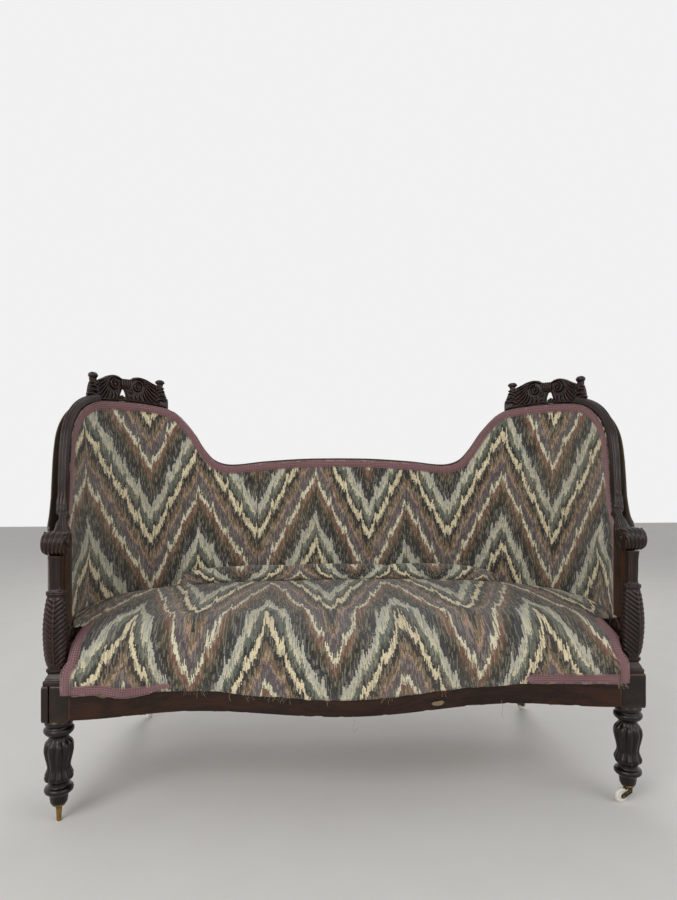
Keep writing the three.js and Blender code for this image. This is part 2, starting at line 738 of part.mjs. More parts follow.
// Carved and pierced crest on each hump
const crestTo = wingEdge - CREST_BEHIND_WING;
const crestFrom = crestTo - CREST_WIDTH;
const crestMiddle = (crestFrom + crestTo) / 2;
const crestInner = frameInner + 2;
const crestOuter = crestInner + CREST_THICKNESS;

function crestBase(s) {
  return edgeHeight(s) + TOP_RAIL_SHOWS + GAP;
}

function crestTop(s) {
  const share = (s - crestFrom) / CREST_WIDTH;
  const arch = Math.sin(Math.PI * THREE.MathUtils.clamp(share, 0, 1));
  const scallop = 0.06 * Math.cos(6 * Math.PI * share);
  return crestBase(crestMiddle) + CREST_HEIGHT * (0.2 + 0.76 * Math.sqrt(arch) + scallop);
}

function medallion(along, height, radius, proud, segments = 10) {
  const disc = new THREE.CylinderGeometry(radius * 0.8, radius, CREST_THICKNESS + 2 * proud, segments);
  disc.rotateX(Math.PI / 2);
  const centre = onPlan(along, (crestInner + crestOuter) / 2, height);
  const outward = onPlan(along, crestOuter, height).sub(centre);
  disc.rotateZ(Math.atan2(outward.y, outward.x) - Math.PI / 2);
  disc.translate(centre.x, centre.y, centre.z);
  return disc;
}

function crestKnob(along, height) {
  const knob = new THREE.SphereGeometry(CREST_KNOB_RADIUS, 10, 6);
  const centre = onPlan(along, (crestInner + crestOuter) / 2, height);
  knob.translate(centre.x, centre.y, centre.z);
  return knob;
}

function crest() {
  const between = Array.from({ length: 11 }, (_, i) => THREE.MathUtils.lerp(crestFrom, crestTo, (i + 1) / 12));
  const slab = wall(crestFrom, crestTo, (s) => [
    [crestInner, crestBase(s)],
    [crestOuter, crestBase(s)],
    [crestOuter, crestTop(s)],
    [crestInner, crestTop(s)],
  ], between);
  const eyeLine = crestBase(crestMiddle) + CREST_HEIGHT * 0.6;
  const knobHeight = crestBase(crestMiddle) + CREST_KNOB_HEIGHT;
  const innerKnobAt = crestFrom + CREST_KNOB_INSETS.inner;
  const outerKnobAt = crestTo - CREST_KNOB_INSETS.outer;
  const holeFoot = crestBase(crestMiddle) + 14;
  const hole = new THREE.Shape([
    new THREE.Vector2(-CREST_HOLE_WIDTH / 2, 0),
    new THREE.Vector2(CREST_HOLE_WIDTH / 2, 0),
    new THREE.Vector2(CREST_HOLE_WIDTH * 0.28, CREST_HOLE_HEIGHT * 0.6),
    new THREE.Vector2(CREST_HOLE_WIDTH * 0.16, CREST_HOLE_HEIGHT),
    new THREE.Vector2(-CREST_HOLE_WIDTH * 0.16, CREST_HOLE_HEIGHT),
    new THREE.Vector2(-CREST_HOLE_WIDTH * 0.28, CREST_HOLE_HEIGHT * 0.6),
  ]);
  const prism = new THREE.ExtrudeGeometry(hole, { depth: 4 * CREST_THICKNESS, bevelEnabled: false });
  prism.translate(0, 0, -2 * CREST_THICKNESS);
  prism.rotateX(Math.PI / 2);
  const centre = onPlan(crestMiddle, (crestInner + crestOuter) / 2, holeFoot);
  const outward = onPlan(crestMiddle, crestOuter, holeFoot).sub(centre);
  prism.rotateZ(Math.atan2(outward.y, outward.x) - Math.PI / 2);
  prism.translate(centre.x, centre.y, centre.z);
  const body = joined(
    slab,
    medallion(crestMiddle - 34, eyeLine, 19, 3),
    medallion(crestMiddle + 34, eyeLine, 19, 3),
    medallion(crestMiddle - 20, crestBase(crestMiddle) + 10, 8, 2),
    medallion(crestMiddle + 20, crestBase(crestMiddle) + 10, 8, 2),
    crestKnob(innerKnobAt, knobHeight),
    crestKnob(outerKnobAt, knobHeight),
    medallion(innerKnobAt - 4, knobHeight - 18, 12, -2),
    medallion(outerKnobAt + 4, knobHeight - 18, 12, -2),
    medallion(innerKnobAt - 12, knobHeight - 36, 13, -1),
    medallion(outerKnobAt + 10, knobHeight - 36, 13, -1),
  );
  return cut(body, prism, armRailSpace, topRail(crestFrom - 40, humpRailEnd, GAP));
}
const crestRight = crest();
addPiece('crest_right', 'mahogany', crestRight);
addPiece('crest_left', 'mahogany', mirrored(crestRight));

// Braid: a flat ribbon along a line of points, each with the directions of its width and thickness
function ribbon(rows, grow = 0) {
  return loft(rows.map(({ centre, across, out }) => {
    const half = BRAID_WIDTH / 2 + grow;
    const inner = -grow;
    const outer = BRAID_THICKNESS + grow;
    return [[-half, inner], [half, inner], [half, outer], [-half, outer]]
      .map(([a, o]) => centre.clone().addScaledVector(across, a).addScaledVector(out, o));
  }));
}

const braidInset = BRAID_WIDTH / 2 + 1.5;
const braidStart = new THREE.Vector2(panelEnd - braidInset, seatSideTop + 34);

function backBraidRows() {
  const half = [
    braidStart,
    new THREE.Vector2(panelEnd - braidInset, (seatSideTop + ARM_TOP) / 2 + 20),
    new THREE.Vector2(panelEnd - braidInset, ARM_TOP - braidInset - 12),
    new THREE.Vector2(panelEnd - braidInset - 8, ARM_TOP - braidInset - 1),
  ];
  const edge = edgePoints.filter((p) => p.x < panelEnd - 34).reverse();
  let last = half.at(-1);
  edge.forEach((p, i) => {
    const before = edge[Math.max(0, i - 1)];
    const after = edge[Math.min(edge.length - 1, i + 1)];
    const run = p.x < 1 ? new THREE.Vector2(-1, 0) : new THREE.Vector2().subVectors(after, before).normalize();
    const inset = new THREE.Vector2(p.x - run.y * braidInset, p.y + run.x * braidInset);
    if (p.x < 1) inset.x = 0;
    if (inset.distanceTo(last) > 17 || p.x < 1) {
      half.push(inset);
      last = inset;
    }
  });
  const line = [...half, ...half.slice(0, -1).reverse().map((p) => new THREE.Vector2(-p.x, p.y))];
  return line.map((p, i) => {
    const before = line[Math.max(0, i - 1)];
    const after = line[Math.min(line.length - 1, i + 1)];
    const centre = onPlan(p.x, -BRAID_THICKNESS, p.y);
    const out = onPlan(p.x, -BRAID_THICKNESS - 1, p.y).sub(centre);
    const tangent = new THREE.Vector3()
      .subVectors(onPlan(after.x, 0, after.y), onPlan(before.x, 0, before.y)).normalize();
    const across = new THREE.Vector3().crossVectors(tangent, out).normalize();
    centre.addScaledVector(out, -BRAID_THICKNESS + 0.4);
    return { centre, across, out };
  });
}

// Inside of the back: one stuffed and covered wall, flat under the braid and bulging inside it
const edgeLine = [new THREE.Vector2(panelEnd, 0), ...edgePoints.toReversed()];

function distanceToEdge(s, height) {
  const point = new THREE.Vector2(Math.abs(s), height);
  const foot = new THREE.Vector2();
  return Math.min(...edgeLine.slice(1).map((end, i) => {
    const start = edgeLine[i];
    const run = new THREE.Vector2().subVectors(end, start);
    const share = THREE.MathUtils.clamp(foot.subVectors(point, start).dot(run) / run.lengthSq(), 0, 1);
    return foot.copy(start).addScaledVector(run, share).distanceTo(point);
  }));
}

function padBulge(s, height) {
  return PAD_BULGE * THREE.MathUtils.smoothstep(distanceToEdge(s, height), 2 * BRAID_WIDTH, 5 * BRAID_WIDTH);
}

function insideBack(grow = 0) {
  return wall(-panelEnd, panelEnd, (s) => {
    const top = edgeHeight(s);
    const bottom = railTop + GAP;
    const low = [0, 0.4, 0.7].map((share) => THREE.MathUtils.lerp(bottom, top - 5 * BRAID_WIDTH, share));
    const face = [...low, top - 5 * BRAID_WIDTH, top - 2.6 * BRAID_WIDTH, top - 1.2 * BRAID_WIDTH, top]
      .map((height) => [-padBulge(s, height) - grow, height]);
    return [...face, [PAD_THICKNESS, top - 2], [PAD_THICKNESS, bottom]];
  });
}

const backBraid = backBraidRows();
addPiece('inside_back', 'fabric', largestOf(cut(insideBack(), armRailSpace, mirrored(armRailSpace))));
addPiece('braid_back', 'braid', cut(ribbon(backBraid), insideBack(GAP), armRailSpace, mirrored(armRailSpace)));

// Outside of the back: a tight cover behind the frame
function outsideBack(from, to) {
  return wall(from, to, (s) => {
    const inner = Math.max(sideRailOffset(s), frameInner - FRAME_THICKNESS) + FRAME_THICKNESS + GAP;
    const top = edgeHeight(s) + TOP_RAIL_SHOWS - 6;
    return [
      [inner, railBottom],
      [inner + OUTSIDE_COVER, railBottom],
      [inner + OUTSIDE_COVER, top],
      [inner, top],
    ];
  });
}

function backLegSpace() {
  const [from, to] = [BACK_LEG_AT - BACK_LEG_SIZE / 2 - 1, BACK_LEG_AT + BACK_LEG_SIZE / 2 + 1];
  return wall(from, to, () => [
    [0, railBottom - 30], [legOuter + 30, railBottom - 30],
    [legOuter + 30, railTop + 31], [0, railTop + 31],
  ]);
}
const outsideEnd = planLength - OUTSIDE_COVER_SETBACK;
addPiece('outside_back', 'lining', largestOf(cut(
  outsideBack(-outsideEnd, outsideEnd),
  backLegSpace(), mirrored(backLegSpace()), armRailSpace, mirrored(armRailSpace),
)));

// Seat: crowned outside form, cut to the plan of the arms and back
function seatOutline(inset) {
  const from = panelEnd - 4;
  const shape = stations(-from, from).reverse().map((s) => {
    const p = onPlan(s, -PAD_BULGE - GAP - inset, 0);
    return new THREE.Vector2(p.x, p.y);
  });
  const side = innerFace - GAP - inset;
  const shoulder = shape[0].y;
  shape.unshift(new THREE.Vector2(side, shoulder - 2));
  shape.unshift(new THREE.Vector2(side, -80));
  shape.push(new THREE.Vector2(-side, shoulder - 2));
  shape.push(new THREE.Vector2(-side, -80));
  return new THREE.Shape(shape);
}

function seatTop(x, y) {
  const share = THREE.MathUtils.clamp((y - SEAT_NOSE) / (SEAT_LEVEL_FROM - SEAT_NOSE), 0, 1);
  const rise = SEAT_RISE * Math.sin((Math.PI / 2) * share);
  const crown = SEAT_CROWN * (1 - Math.min(1, Math.abs(x) / innerFace) ** 2);
  return seatSideTop + rise + crown;
}

function skirtBottom(x) {
  const share = 1 - Math.min(1, Math.abs(x) / innerFace) ** 2;
  return railTop - THREE.MathUtils.lerp(SKIRT_DROP_SIDE, SKIRT_DROP_CENTRE, share);
}

function seatForm(inset, floor) {
  const reach = ARM_SPREAD + 20;
  const form = loft(railStations.map((share) => {
    const x = share * reach;
    const front = railFront(x) - GAP - COVER_THICKNESS + inset - 1;
    const top = (y) => seatTop(x, y) - inset;
    const low = floor ?? skirtBottom(x);
    const profile = [
      [front, low],
      [front - 1, railTop + 16],
      [front + 4, railTop + 52],
      [front + 17, top(0) - 42],
      [front + 42, top(0) - 19],
      [SEAT_NOSE - 10, top(SEAT_NOSE) - 3],
      [220, top(220)],
      [350, top(350)],
      [SEAT_LEVEL_FROM, top(SEAT_LEVEL_FROM)],
      [BACK_DEPTH + 30, top(BACK_DEPTH)],
      [BACK_DEPTH + 30, low],
    ];
    return profile.map(([y, z]) => new THREE.Vector3(x, y, z));
  }));
  const prism = new THREE.ExtrudeGeometry(seatOutline(inset), { depth: 900, bevelEnabled: false });
  return common(form, prism);
}

const seatEdgeX = innerFace - GAP;

function seatBraidRows() {
  const x = seatEdgeX;
  const front = railFront(x) - GAP - COVER_THICKNESS - 1;
  const top = seatTop(x, SEAT_NOSE);
  const line = [
    [SEAT_NOSE + 6, top],
    [SEAT_NOSE - 10, top - 3],
    [front + 42, top - 19],
    [front + 17, top - 42],
    [front + 4, railTop + 52],
    [front - 1, railTop + 16],
    [front, railTop - SKIRT_DROP_SIDE + 3],
  ];
  return line.map(([y, z], i) => {
    const before = line[Math.max(0, i - 1)];
    const after = line[Math.min(line.length - 1, i + 1)];
    const tangent = new THREE.Vector3(0, after[0] - before[0], after[1] - before[1]).normalize();
    const across = new THREE.Vector3(1, 0, 0);
    const out = new THREE.Vector3().crossVectors(across, tangent).normalize();
    if (out.y > 0) out.negate();
    const centre = new THREE.Vector3(x - BRAID_WIDTH / 2 - 1, y, z).addScaledVector(out, GAP + 0.6);
    return { centre, across, out };
  });
}

function frontBraidRows() {
  const rows = [];
  const z = railTop - SKIRT_DROP_SIDE + BRAID_WIDTH / 2 - 1;
  const depth = GAP + COVER_THICKNESS + 1.6;
  for (let i = 0; i <= FRONT_BRAID_STEPS; i += 1) {
    const share = i / FRONT_BRAID_STEPS;
    const x = seatEdgeX - BRAID_WIDTH - 2 - FRONT_BRAID_LENGTH * share;
    const centre = new THREE.Vector3(x, railFront(x) - depth, z - 4 * share);
    rows.push({
      centre,
      across: new THREE.Vector3(0, 0, 1),
      out: new THREE.Vector3(0, -1, 0),
    });
  }
  return rows;
}

const seatInner = seatForm(COVER_THICKNESS, railBottom - 60);
const seatCover = cut(
  seatForm(0), seatInner, frontRail(GAP),
  ribbon(seatBraidRows(), GAP), mirrored(ribbon(seatBraidRows(), GAP)),
  ribbon(frontBraidRows(), GAP), mirrored(ribbon(frontBraidRows(), GAP)),
);
addPiece('seat_cover', 'fabric', largestOf(seatCover));

const springWell = box(
  [-SPRING_WELL_HALF, SPRING_WELL_FRONT, 0],
  [SPRING_WELL_HALF, SPRING_WELL_BACK, seatSideTop - SPRING_WELL_ROOF],
);
const stuffingFloor = railTop + GAP;
addPiece('seat_stuffing', 'stuffing', cut(seatForm(COVER_THICKNESS + GAP, stuffingFloor), springWell));

const seatBraidRight = ribbon(seatBraidRows());
addPiece('braid_seat_right', 'braid', seatBraidRight);
addPiece('braid_seat_left', 'braid', mirrored(seatBraidRight));
const frontBraidRight = ribbon(frontBraidRows());
addPiece('braid_front_right', 'braid', frontBraidRight);
addPiece('braid_front_left', 'braid', mirrored(frontBraidRight));

// Roll of cover tucked along the back of the seat
function backRoll() {
  return loft(Array.from({ length: ROLL_STEPS + 1 }, (_, i) => {
    const share = -1 + (2 * i) / ROLL_STEPS;
    const s = share * ROLL_HALF_LENGTH;
    const taper = Math.sqrt(Math.max(0.08, 1 - Math.abs(share) ** 8));
    const [halfHeight, halfDepth] = [(ROLL_HEIGHT / 2) * taper, (ROLL_DEPTH / 2) * taper];
    const middle = -PAD_BULGE - 2 - ROLL_DEPTH / 2;
    const rest = seatTop(onPlan(s, middle, 0).x, BACK_DEPTH) + GAP;
    return Array.from({ length: ROLL_SIDES }, (__, k) => {
      const angle = (k / ROLL_SIDES) * 2 * Math.PI;
      const outward = middle + halfDepth * Math.cos(angle);
      const height = rest + halfHeight * (1 + Math.sin(angle));
      return onPlan(s, outward, height);
    });
  }));
}
addPiece('back_roll', 'fabric', backRoll());

// Casters: a cup on the foot, a swivelling horn and a wheel on its axle
function lathed(profile, segments = 16) {
  const lathe = new THREE.LatheGeometry(profile.map(([r, z]) => new THREE.Vector2(r, z)), segments);
  lathe.rotateX(Math.PI / 2);
  const positions = Array.from(lathe.attributes.position.array);
  return mergeVerticesSolid(positions, Array.from(lathe.index.array));
}

function mergeVerticesSolid(positions, triangles) {
  const raw = new THREE.BufferGeometry();
  raw.setAttribute('position', new THREE.Float32BufferAttribute(positions, 3));
  raw.setIndex(triangles);
  const merged = mergeVertices(raw, 1e-4);
  const kept = [];
  const index = Array.from(merged.index.array);
  for (let i = 0; i < index.length; i += 3) {
    const [a, b, c] = index.slice(i, i + 3);
    if (a !== b && b !== c && a !== c) kept.push(a, b, c);
  }
  return solidFrom(Array.from(merged.attributes.position.array), kept);
}

const HOLE_SEGMENTS = 12;
const pintleTop = cupBottom + CUP_HEIGHT - 1.2 - 3;

function casterCup(hasHole) {
  const recess = cupBottom + CUP_HEIGHT - 3 - GAP;
  const outside = [
    [0, bossBottom],
    [BOSS_RADIUS, bossBottom],
    [BOSS_RADIUS, cupBottom],
    [CUP_RADIUS, cupBottom],
    [CUP_RADIUS, cupBottom + CUP_HEIGHT],
    [11.5 + GAP, cupBottom + CUP_HEIGHT],
    [11.5 + GAP, recess],
    [0, recess],
  ];
  const cup = lathed(outside, 18);
  if (!hasHole) return cup;
  const hole = new THREE.CylinderGeometry(PINTLE_HOLE_RADIUS, PINTLE_HOLE_RADIUS, 20, HOLE_SEGMENTS);
  hole.rotateX(Math.PI / 2);
  hole.translate(0, 0, pintleTop + GAP - 10);
  return cut(cup, hole);
}

const hornTop = bossBottom - GAP;
const cheekInner = WHEEL_WIDTH / 2 + CHEEK_CLEARANCE;
const cheekOuter = cheekInner + CHEEK_THICKNESS;

// The horn is modelled trailing along +X, with its pintle on the Z axis
function horn() {
  const crown = box([-7, -cheekOuter, hornTop - HORN_THICKNESS], [2.5, cheekOuter, hornTop]);
  const pintle = new THREE.CylinderGeometry(PINTLE_RADIUS, PINTLE_RADIUS, pintleTop - hornTop + 1, HOLE_SEGMENTS);
  pintle.rotateX(Math.PI / 2);
  pintle.translate(0, 0, (pintleTop + hornTop - 1) / 2);
  const cheekShape = new THREE.Shape([
    new THREE.Vector2(-7, hornTop),
    new THREE.Vector2(-6, WHEEL_RADIUS + 6),
    new THREE.Vector2(CASTER_TRAIL - 2, WHEEL_RADIUS - 6),
    new THREE.Vector2(CASTER_TRAIL + 4.5, WHEEL_RADIUS - 4.5),
    new THREE.Vector2(CASTER_TRAIL + 6, WHEEL_RADIUS + 1),
    new THREE.Vector2(CASTER_TRAIL + 3, WHEEL_RADIUS + 6),
    new THREE.Vector2(8, hornTop - 5),
    new THREE.Vector2(2.5, hornTop),
  ]);
  const cheeks = [-cheekOuter, cheekInner].map((from) => {
    const cheek = new THREE.ExtrudeGeometry(cheekShape, { depth: CHEEK_THICKNESS, bevelEnabled: false });
    cheek.rotateX(Math.PI / 2);
    cheek.translate(0, from + CHEEK_THICKNESS, 0);
    return cheek;
  });
  const bore = new THREE.CylinderGeometry(AXLE_HOLE_RADIUS, AXLE_HOLE_RADIUS, 40, HOLE_SEGMENTS);
  bore.translate(CASTER_TRAIL, 0, WHEEL_RADIUS);
  return cut(joined(crown, pintle, ...cheeks), bore);
}

function wheelAxle() {
  const pin = new THREE.CylinderGeometry(AXLE_RADIUS, AXLE_RADIUS, 2 * cheekOuter + 1.5, HOLE_SEGMENTS);
  const heads = [-1, 1].map((side) => {
    const head = new THREE.CylinderGeometry(AXLE_RADIUS + 1.6, AXLE_RADIUS + 1.6, 1.4, HOLE_SEGMENTS);
    head.translate(0, side * (cheekOuter + GAP + 0.7), 0);
    return head;
  });
  const axle = joined(pin, ...heads);
  axle.translate(CASTER_TRAIL, 0, WHEEL_RADIUS);
  return axle;
}

function casterWheel() {
  const [r, w] = [WHEEL_RADIUS, WHEEL_WIDTH / 2];
  const profile = [[0, -w], [r - 6, -w], [r - 1.6, -w + 2.4], [r, -w + 5], [r, w - 5], [r - 1.6, w - 2.4], [r - 6, w], [0, w]];
  const disc = lathed(profile, 20);
  disc.rotateX(Math.PI / 2);
  const bore = new THREE.CylinderGeometry(AXLE_HOLE_RADIUS, AXLE_HOLE_RADIUS, 40, HOLE_SEGMENTS);
  const wheel = cut(disc, bore);
  wheel.translate(CASTER_TRAIL, 0, WHEEL_RADIUS);
  return wheel;
}

const casters = [
  { name: 'front_right', x: legX, y: legY, heading: FRONT_CASTER_HEADING },
  { name: 'back_left', x: -BACK_FOOT_X, y: BACK_FOOT_Y, heading: BACK_CASTER_HEADINGS.left },
  { name: 'back_right', x: BACK_FOOT_X, y: BACK_FOOT_Y, heading: BACK_CASTER_HEADINGS.right },
];

function flatCup() {
  const cup = lathed([
    [0, bossBottom],
    [BOSS_RADIUS, bossBottom],
    [BOSS_RADIUS, cupBottom],
    [CUP_RADIUS, cupBottom],
    [CUP_RADIUS, cupBottom + CUP_HEIGHT],
    [0, cupBottom + CUP_HEIGHT],
  ], 18);
  const hole = new THREE.CylinderGeometry(PINTLE_HOLE_RADIUS, PINTLE_HOLE_RADIUS, 20, HOLE_SEGMENTS);
  hole.rotateX(Math.PI / 2);
  hole.translate(0, 0, pintleTop + GAP - 10);
  return cut(cup, hole);
}

for (const { name, x, y, heading } of casters) {
  const cup = addPiece(`caster_cup_${name}`, 'brass', name.startsWith('front') ? casterCup(true) : flatCup());
  cup.position.set(x, y, 0);
  const swivel = new THREE.Group();
  swivel.position.set(x, y, 0);
  swivel.rotation.z = THREE.MathUtils.degToRad(heading);
  settee.add(swivel);
  addPiece(`caster_horn_${name}`, 'brass', horn(), swivel);
  addPiece(`caster_axle_${name}`, 'steel', wheelAxle(), swivel);
  addPiece(`caster_wheel_${name}`, 'ceramic', casterWheel(), swivel);
}

// Front left: the cup is left, with the broken stub of its pintle to stand on
const leftCup = addPiece('caster_cup_front_left', 'brass', casterCup(false));
leftCup.position.set(-legX, legY, 0);
const brokenPintle = lathed([
  [0, 0],
  [5, 0],
  [6, 4],
  [6.5, 20],
  [BOSS_RADIUS, bossBottom - GAP],
  [0, bossBottom - GAP],
], 12);
addPiece('broken_pintle_front_left', 'brass', brokenPintle).position.set(-legX, legY, 0);

// Webbing under the rails, and waisted coil springs that stand on it
const webTop = railBottom - GAP;
const webColumns = [...SPRING_COLUMNS, ...WEB_EXTRA_COLUMNS].sort((a, b) => a - b);

function innerBackAt(x) {
  const STEPS = 200;
  for (let i = 0; i <= STEPS; i += 1) {
    const p = onPlan((i / STEPS) * planLength, frameInner, 0);
    if (p.x >= Math.abs(x)) return p.y;
  }
  return BACK_DEPTH;
}

webColumns.forEach((x, i) => {
  const from = railFront(x) + 8;
  const to = innerBackAt(Math.abs(x) + WEB_WIDTH / 2) + 8;
  addPiece(`web_strap_${i + 1}`, 'webbing', box(
    [x - WEB_WIDTH / 2, from, webTop - WEB_THICKNESS],
    [x + WEB_WIDTH / 2, to, webTop],
  ));
});

class WaistedHelix extends THREE.Curve {
  getPoint(t, target = new THREE.Vector3()) {
    const height = seatSideTop - SPRING_WELL_ROOF - webTop - SPRING_WIRE - 2 * GAP;
    const pinch = Math.sin(Math.PI * t);
    const radius = THREE.MathUtils.lerp(SPRING_RADIUS, SPRING_WAIST, pinch);
    const angle = 2 * Math.PI * SPRING_TURNS * t;
    return target.set(radius * Math.cos(angle), radius * Math.sin(angle), height * t);
  }
}

function coilSpring() {
  const SIDES = 4;
  const wire = new THREE.Shape(Array.from({ length: SIDES }, (_, k) => {
    const angle = (k / SIDES) * 2 * Math.PI;
    return new THREE.Vector2((SPRING_WIRE / 2) * Math.cos(angle), (SPRING_WIRE / 2) * Math.sin(angle));
  }));
  const coil = new THREE.ExtrudeGeometry(wire, { steps: 28, extrudePath: new WaistedHelix(), bevelEnabled: false });
  coil.translate(0, 0, webTop + SPRING_WIRE / 2 + GAP);
  return coil;
}

let springNumber = 1;
for (const x of SPRING_COLUMNS) {
  for (const y of SPRING_ROWS) {
    addPiece(`seat_spring_${springNumber}`, 'steel', coilSpring()).position.set(x, y, 0);
    springNumber += 1;
  }
}

// The row's origin is the middle of the bounding box, at the floor
const bounds = new THREE.Box3().setFromObject(settee);
const centre = bounds.getCenter(new THREE.Vector3());
const part = new THREE.Group();
settee.position.set(-centre.x, -centre.y, -bounds.min.z);
part.add(settee);

export default part;
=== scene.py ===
import json
import logging
import math
from dataclasses import dataclass, field
from enum import Enum
from typing import Callable, Sequence

import bmesh
import bpy
import numpy as np
from mathutils import Matrix, Vector


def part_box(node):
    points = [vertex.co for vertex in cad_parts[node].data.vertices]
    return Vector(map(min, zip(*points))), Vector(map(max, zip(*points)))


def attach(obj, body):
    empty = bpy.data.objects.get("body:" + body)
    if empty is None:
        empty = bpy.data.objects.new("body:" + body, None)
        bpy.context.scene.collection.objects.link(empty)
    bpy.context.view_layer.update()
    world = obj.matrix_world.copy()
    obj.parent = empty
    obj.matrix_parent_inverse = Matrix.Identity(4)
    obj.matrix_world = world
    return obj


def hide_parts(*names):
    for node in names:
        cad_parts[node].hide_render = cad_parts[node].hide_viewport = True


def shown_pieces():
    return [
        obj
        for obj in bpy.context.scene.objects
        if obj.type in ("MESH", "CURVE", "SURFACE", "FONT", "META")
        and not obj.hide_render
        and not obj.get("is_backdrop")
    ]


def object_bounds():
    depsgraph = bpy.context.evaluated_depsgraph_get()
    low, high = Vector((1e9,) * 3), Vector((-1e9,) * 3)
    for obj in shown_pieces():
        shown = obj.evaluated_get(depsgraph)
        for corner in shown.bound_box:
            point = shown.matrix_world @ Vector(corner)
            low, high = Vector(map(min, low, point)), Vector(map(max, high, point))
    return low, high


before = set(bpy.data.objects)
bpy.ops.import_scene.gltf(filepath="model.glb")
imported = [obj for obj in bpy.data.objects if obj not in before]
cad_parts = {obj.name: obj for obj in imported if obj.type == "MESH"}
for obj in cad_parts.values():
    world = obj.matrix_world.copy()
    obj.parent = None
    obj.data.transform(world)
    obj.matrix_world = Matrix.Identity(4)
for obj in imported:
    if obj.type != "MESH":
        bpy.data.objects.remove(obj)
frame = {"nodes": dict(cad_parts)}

LOG = logging.getLogger("settee")
CAD_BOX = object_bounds()
ROOT_BODY = "settee"
FRONT_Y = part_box("block_split_strip_left")[0][1]
GAP = 0.0003
SIDES = (-1.0, 1.0)

Array = np.ndarray


class Side(Enum):
    """The two ends of the settee, as seen from the front."""

    LEFT = -1.0
    RIGHT = 1.0

    @property
    def word(self) -> str:
        """The side's name as the node names spell it."""
        return self.name.lower()


# Mesh tools


def mesh_object(name: str, verts: Array, faces: Sequence[Sequence[int]],
                smooth: bool = True) -> bpy.types.Object:
    """Makes a mesh object from points and faces.

    Args:
        name: the object's name.
        verts: an N by 3 array of places in metres.
        faces: the corner numbers of each face.
        smooth: whether the faces are shaded smooth.

    Returns:
        The new object, at the origin.
    """
    mesh = bpy.data.meshes.new(name)
    mesh.from_pydata([tuple(map(float, v)) for v in verts], [], [tuple(map(int, f)) for f in faces])
    mesh.update()
    mesh.validate()
    piece = bpy.data.objects.new(name, mesh)
    bpy.context.collection.objects.link(piece)
    for polygon in mesh.polygons:
        polygon.use_smooth = smooth
    return piece


@dataclass
class Solid:
    """Points and faces that grow as parts are added, before they become one mesh."""

    verts: list[Array] = field(default_factory=list)
    faces: list[list[int]] = field(default_factory=list)
    count: int = 0

    def add(self, verts: Array, faces: Sequence[Sequence[int]]) -> None:
        """Adds a closed part to the solid.

        Args:
            verts: Vertices of the part.
            faces: Faces of the part, as rows of vertex numbers.
        """
        self.verts.append(np.asarray(verts, dtype=float))
        self.faces.extend([[corner + self.count for corner in face] for face in faces])
        self.count += len(verts)

    def loft(self, rings: Array, closed: bool = False, capped: bool = True) -> None:
        """Adds a skin over rings of points.

        Args:
            rings: an array of rings, each with the same number of points.
            closed: whether the last ring joins the first.
            capped: whether the two ends are filled, where the loft is not closed.
        """
        rings = np.asarray(rings, dtype=float)
        rows, around = rings.shape[:2]
        faces: list[list[int]] = []
        for i in range(rows if closed else rows - 1):
            low = i * around
            high = ((i + 1) % rows) * around
            for j in range(around):
                k = (j + 1) % around
                faces.append([low + j, low + k, high + k, high + j])
        verts = rings.reshape(-1, 3)
        if capped and not closed:
            ends = np.array([rings[0].mean(axis=0), rings[-1].mean(axis=0)])
            base = len(verts)
            verts = np.vstack([verts, ends])
            last = (rows - 1) * around
            for j in range(around):
                k = (j + 1) % around
                faces.append([base, k, j])
                faces.append([base + 1, last + j, last + k])
        self.add(verts, faces)

    def build(self, name: str, smooth: bool = True, weld: float = 1e-6) -> bpy.types.Object:
        """Makes the mesh object, with its doubles merged and its faces turned outwards.

        Args:
            name: The name that the new piece or group gets.
            smooth: Whether the faces are shaded smooth.
            weld: Vertices closer than this are merged.

        Returns:
            The piece.
        """
        piece = mesh_object(name, np.vstack(self.verts), self.faces, smooth)
        tidy_normals(piece, weld)
        return piece


def tidy_normals(piece: bpy.types.Object, weld: float = 1e-6) -> None:
    """Merges doubles and turns each shell's faces outwards.

    Args:
        piece: The mesh object that is worked on.
        weld: Vertices closer than this are merged.
    """
    work = bmesh.new()
    work.from_mesh(piece.data)
    bmesh.ops.remove_doubles(work, verts=work.verts, dist=weld)
    bmesh.ops.recalc_face_normals(work, faces=work.faces)
    work.to_mesh(piece.data)
    work.free()
    piece.data.update()


def sheet_object(name: str, grid: Array, uv: Array | None = None) -> bpy.types.Object:
    """Makes an open sheet from a grid of points.

    Args:
        name: the object's name.
        grid: rows by columns of places.
        uv: rows by columns of pattern places, kept as the UV map.

    Returns:
        The sheet.
    """
    rows, columns = grid.shape[:2]
    faces = [
        [i * columns + j, i * columns + j + 1, (i + 1) * columns + j + 1, (i + 1) * columns + j]
        for i in range(rows - 1)
        for j in range(columns - 1)
    ]
    piece = mesh_object(name, grid.reshape(-1, 3), faces)
    if uv is not None:
        lay_uv(piece, uv.reshape(-1, 2))
    return piece


def lay_uv(piece: bpy.types.Object, places: Array) -> None:
    """Gives each vertex its place in the pattern.

    Args:
        piece: the mesh object.
        places: an N by 2 array, one row for each vertex.
    """
    layer = piece.data.uv_layers.new(name="pattern")
    corners = np.empty(len(piece.data.loops), dtype=np.int64)
    piece.data.loops.foreach_get("vertex_index", corners)
    layer.data.foreach_set("uv", np.asarray(places, dtype=np.float32)[corners].ravel())


def points_of(piece: bpy.types.Object) -> Array:
    """The piece's vertices as an N by 3 array.

    Args:
        piece: The mesh object that is worked on.

    Returns:
        The vertices.
    """
    flat = np.empty(len(piece.data.vertices) * 3)
    piece.data.vertices.foreach_get("co", flat)
    return flat.reshape(-1, 3)


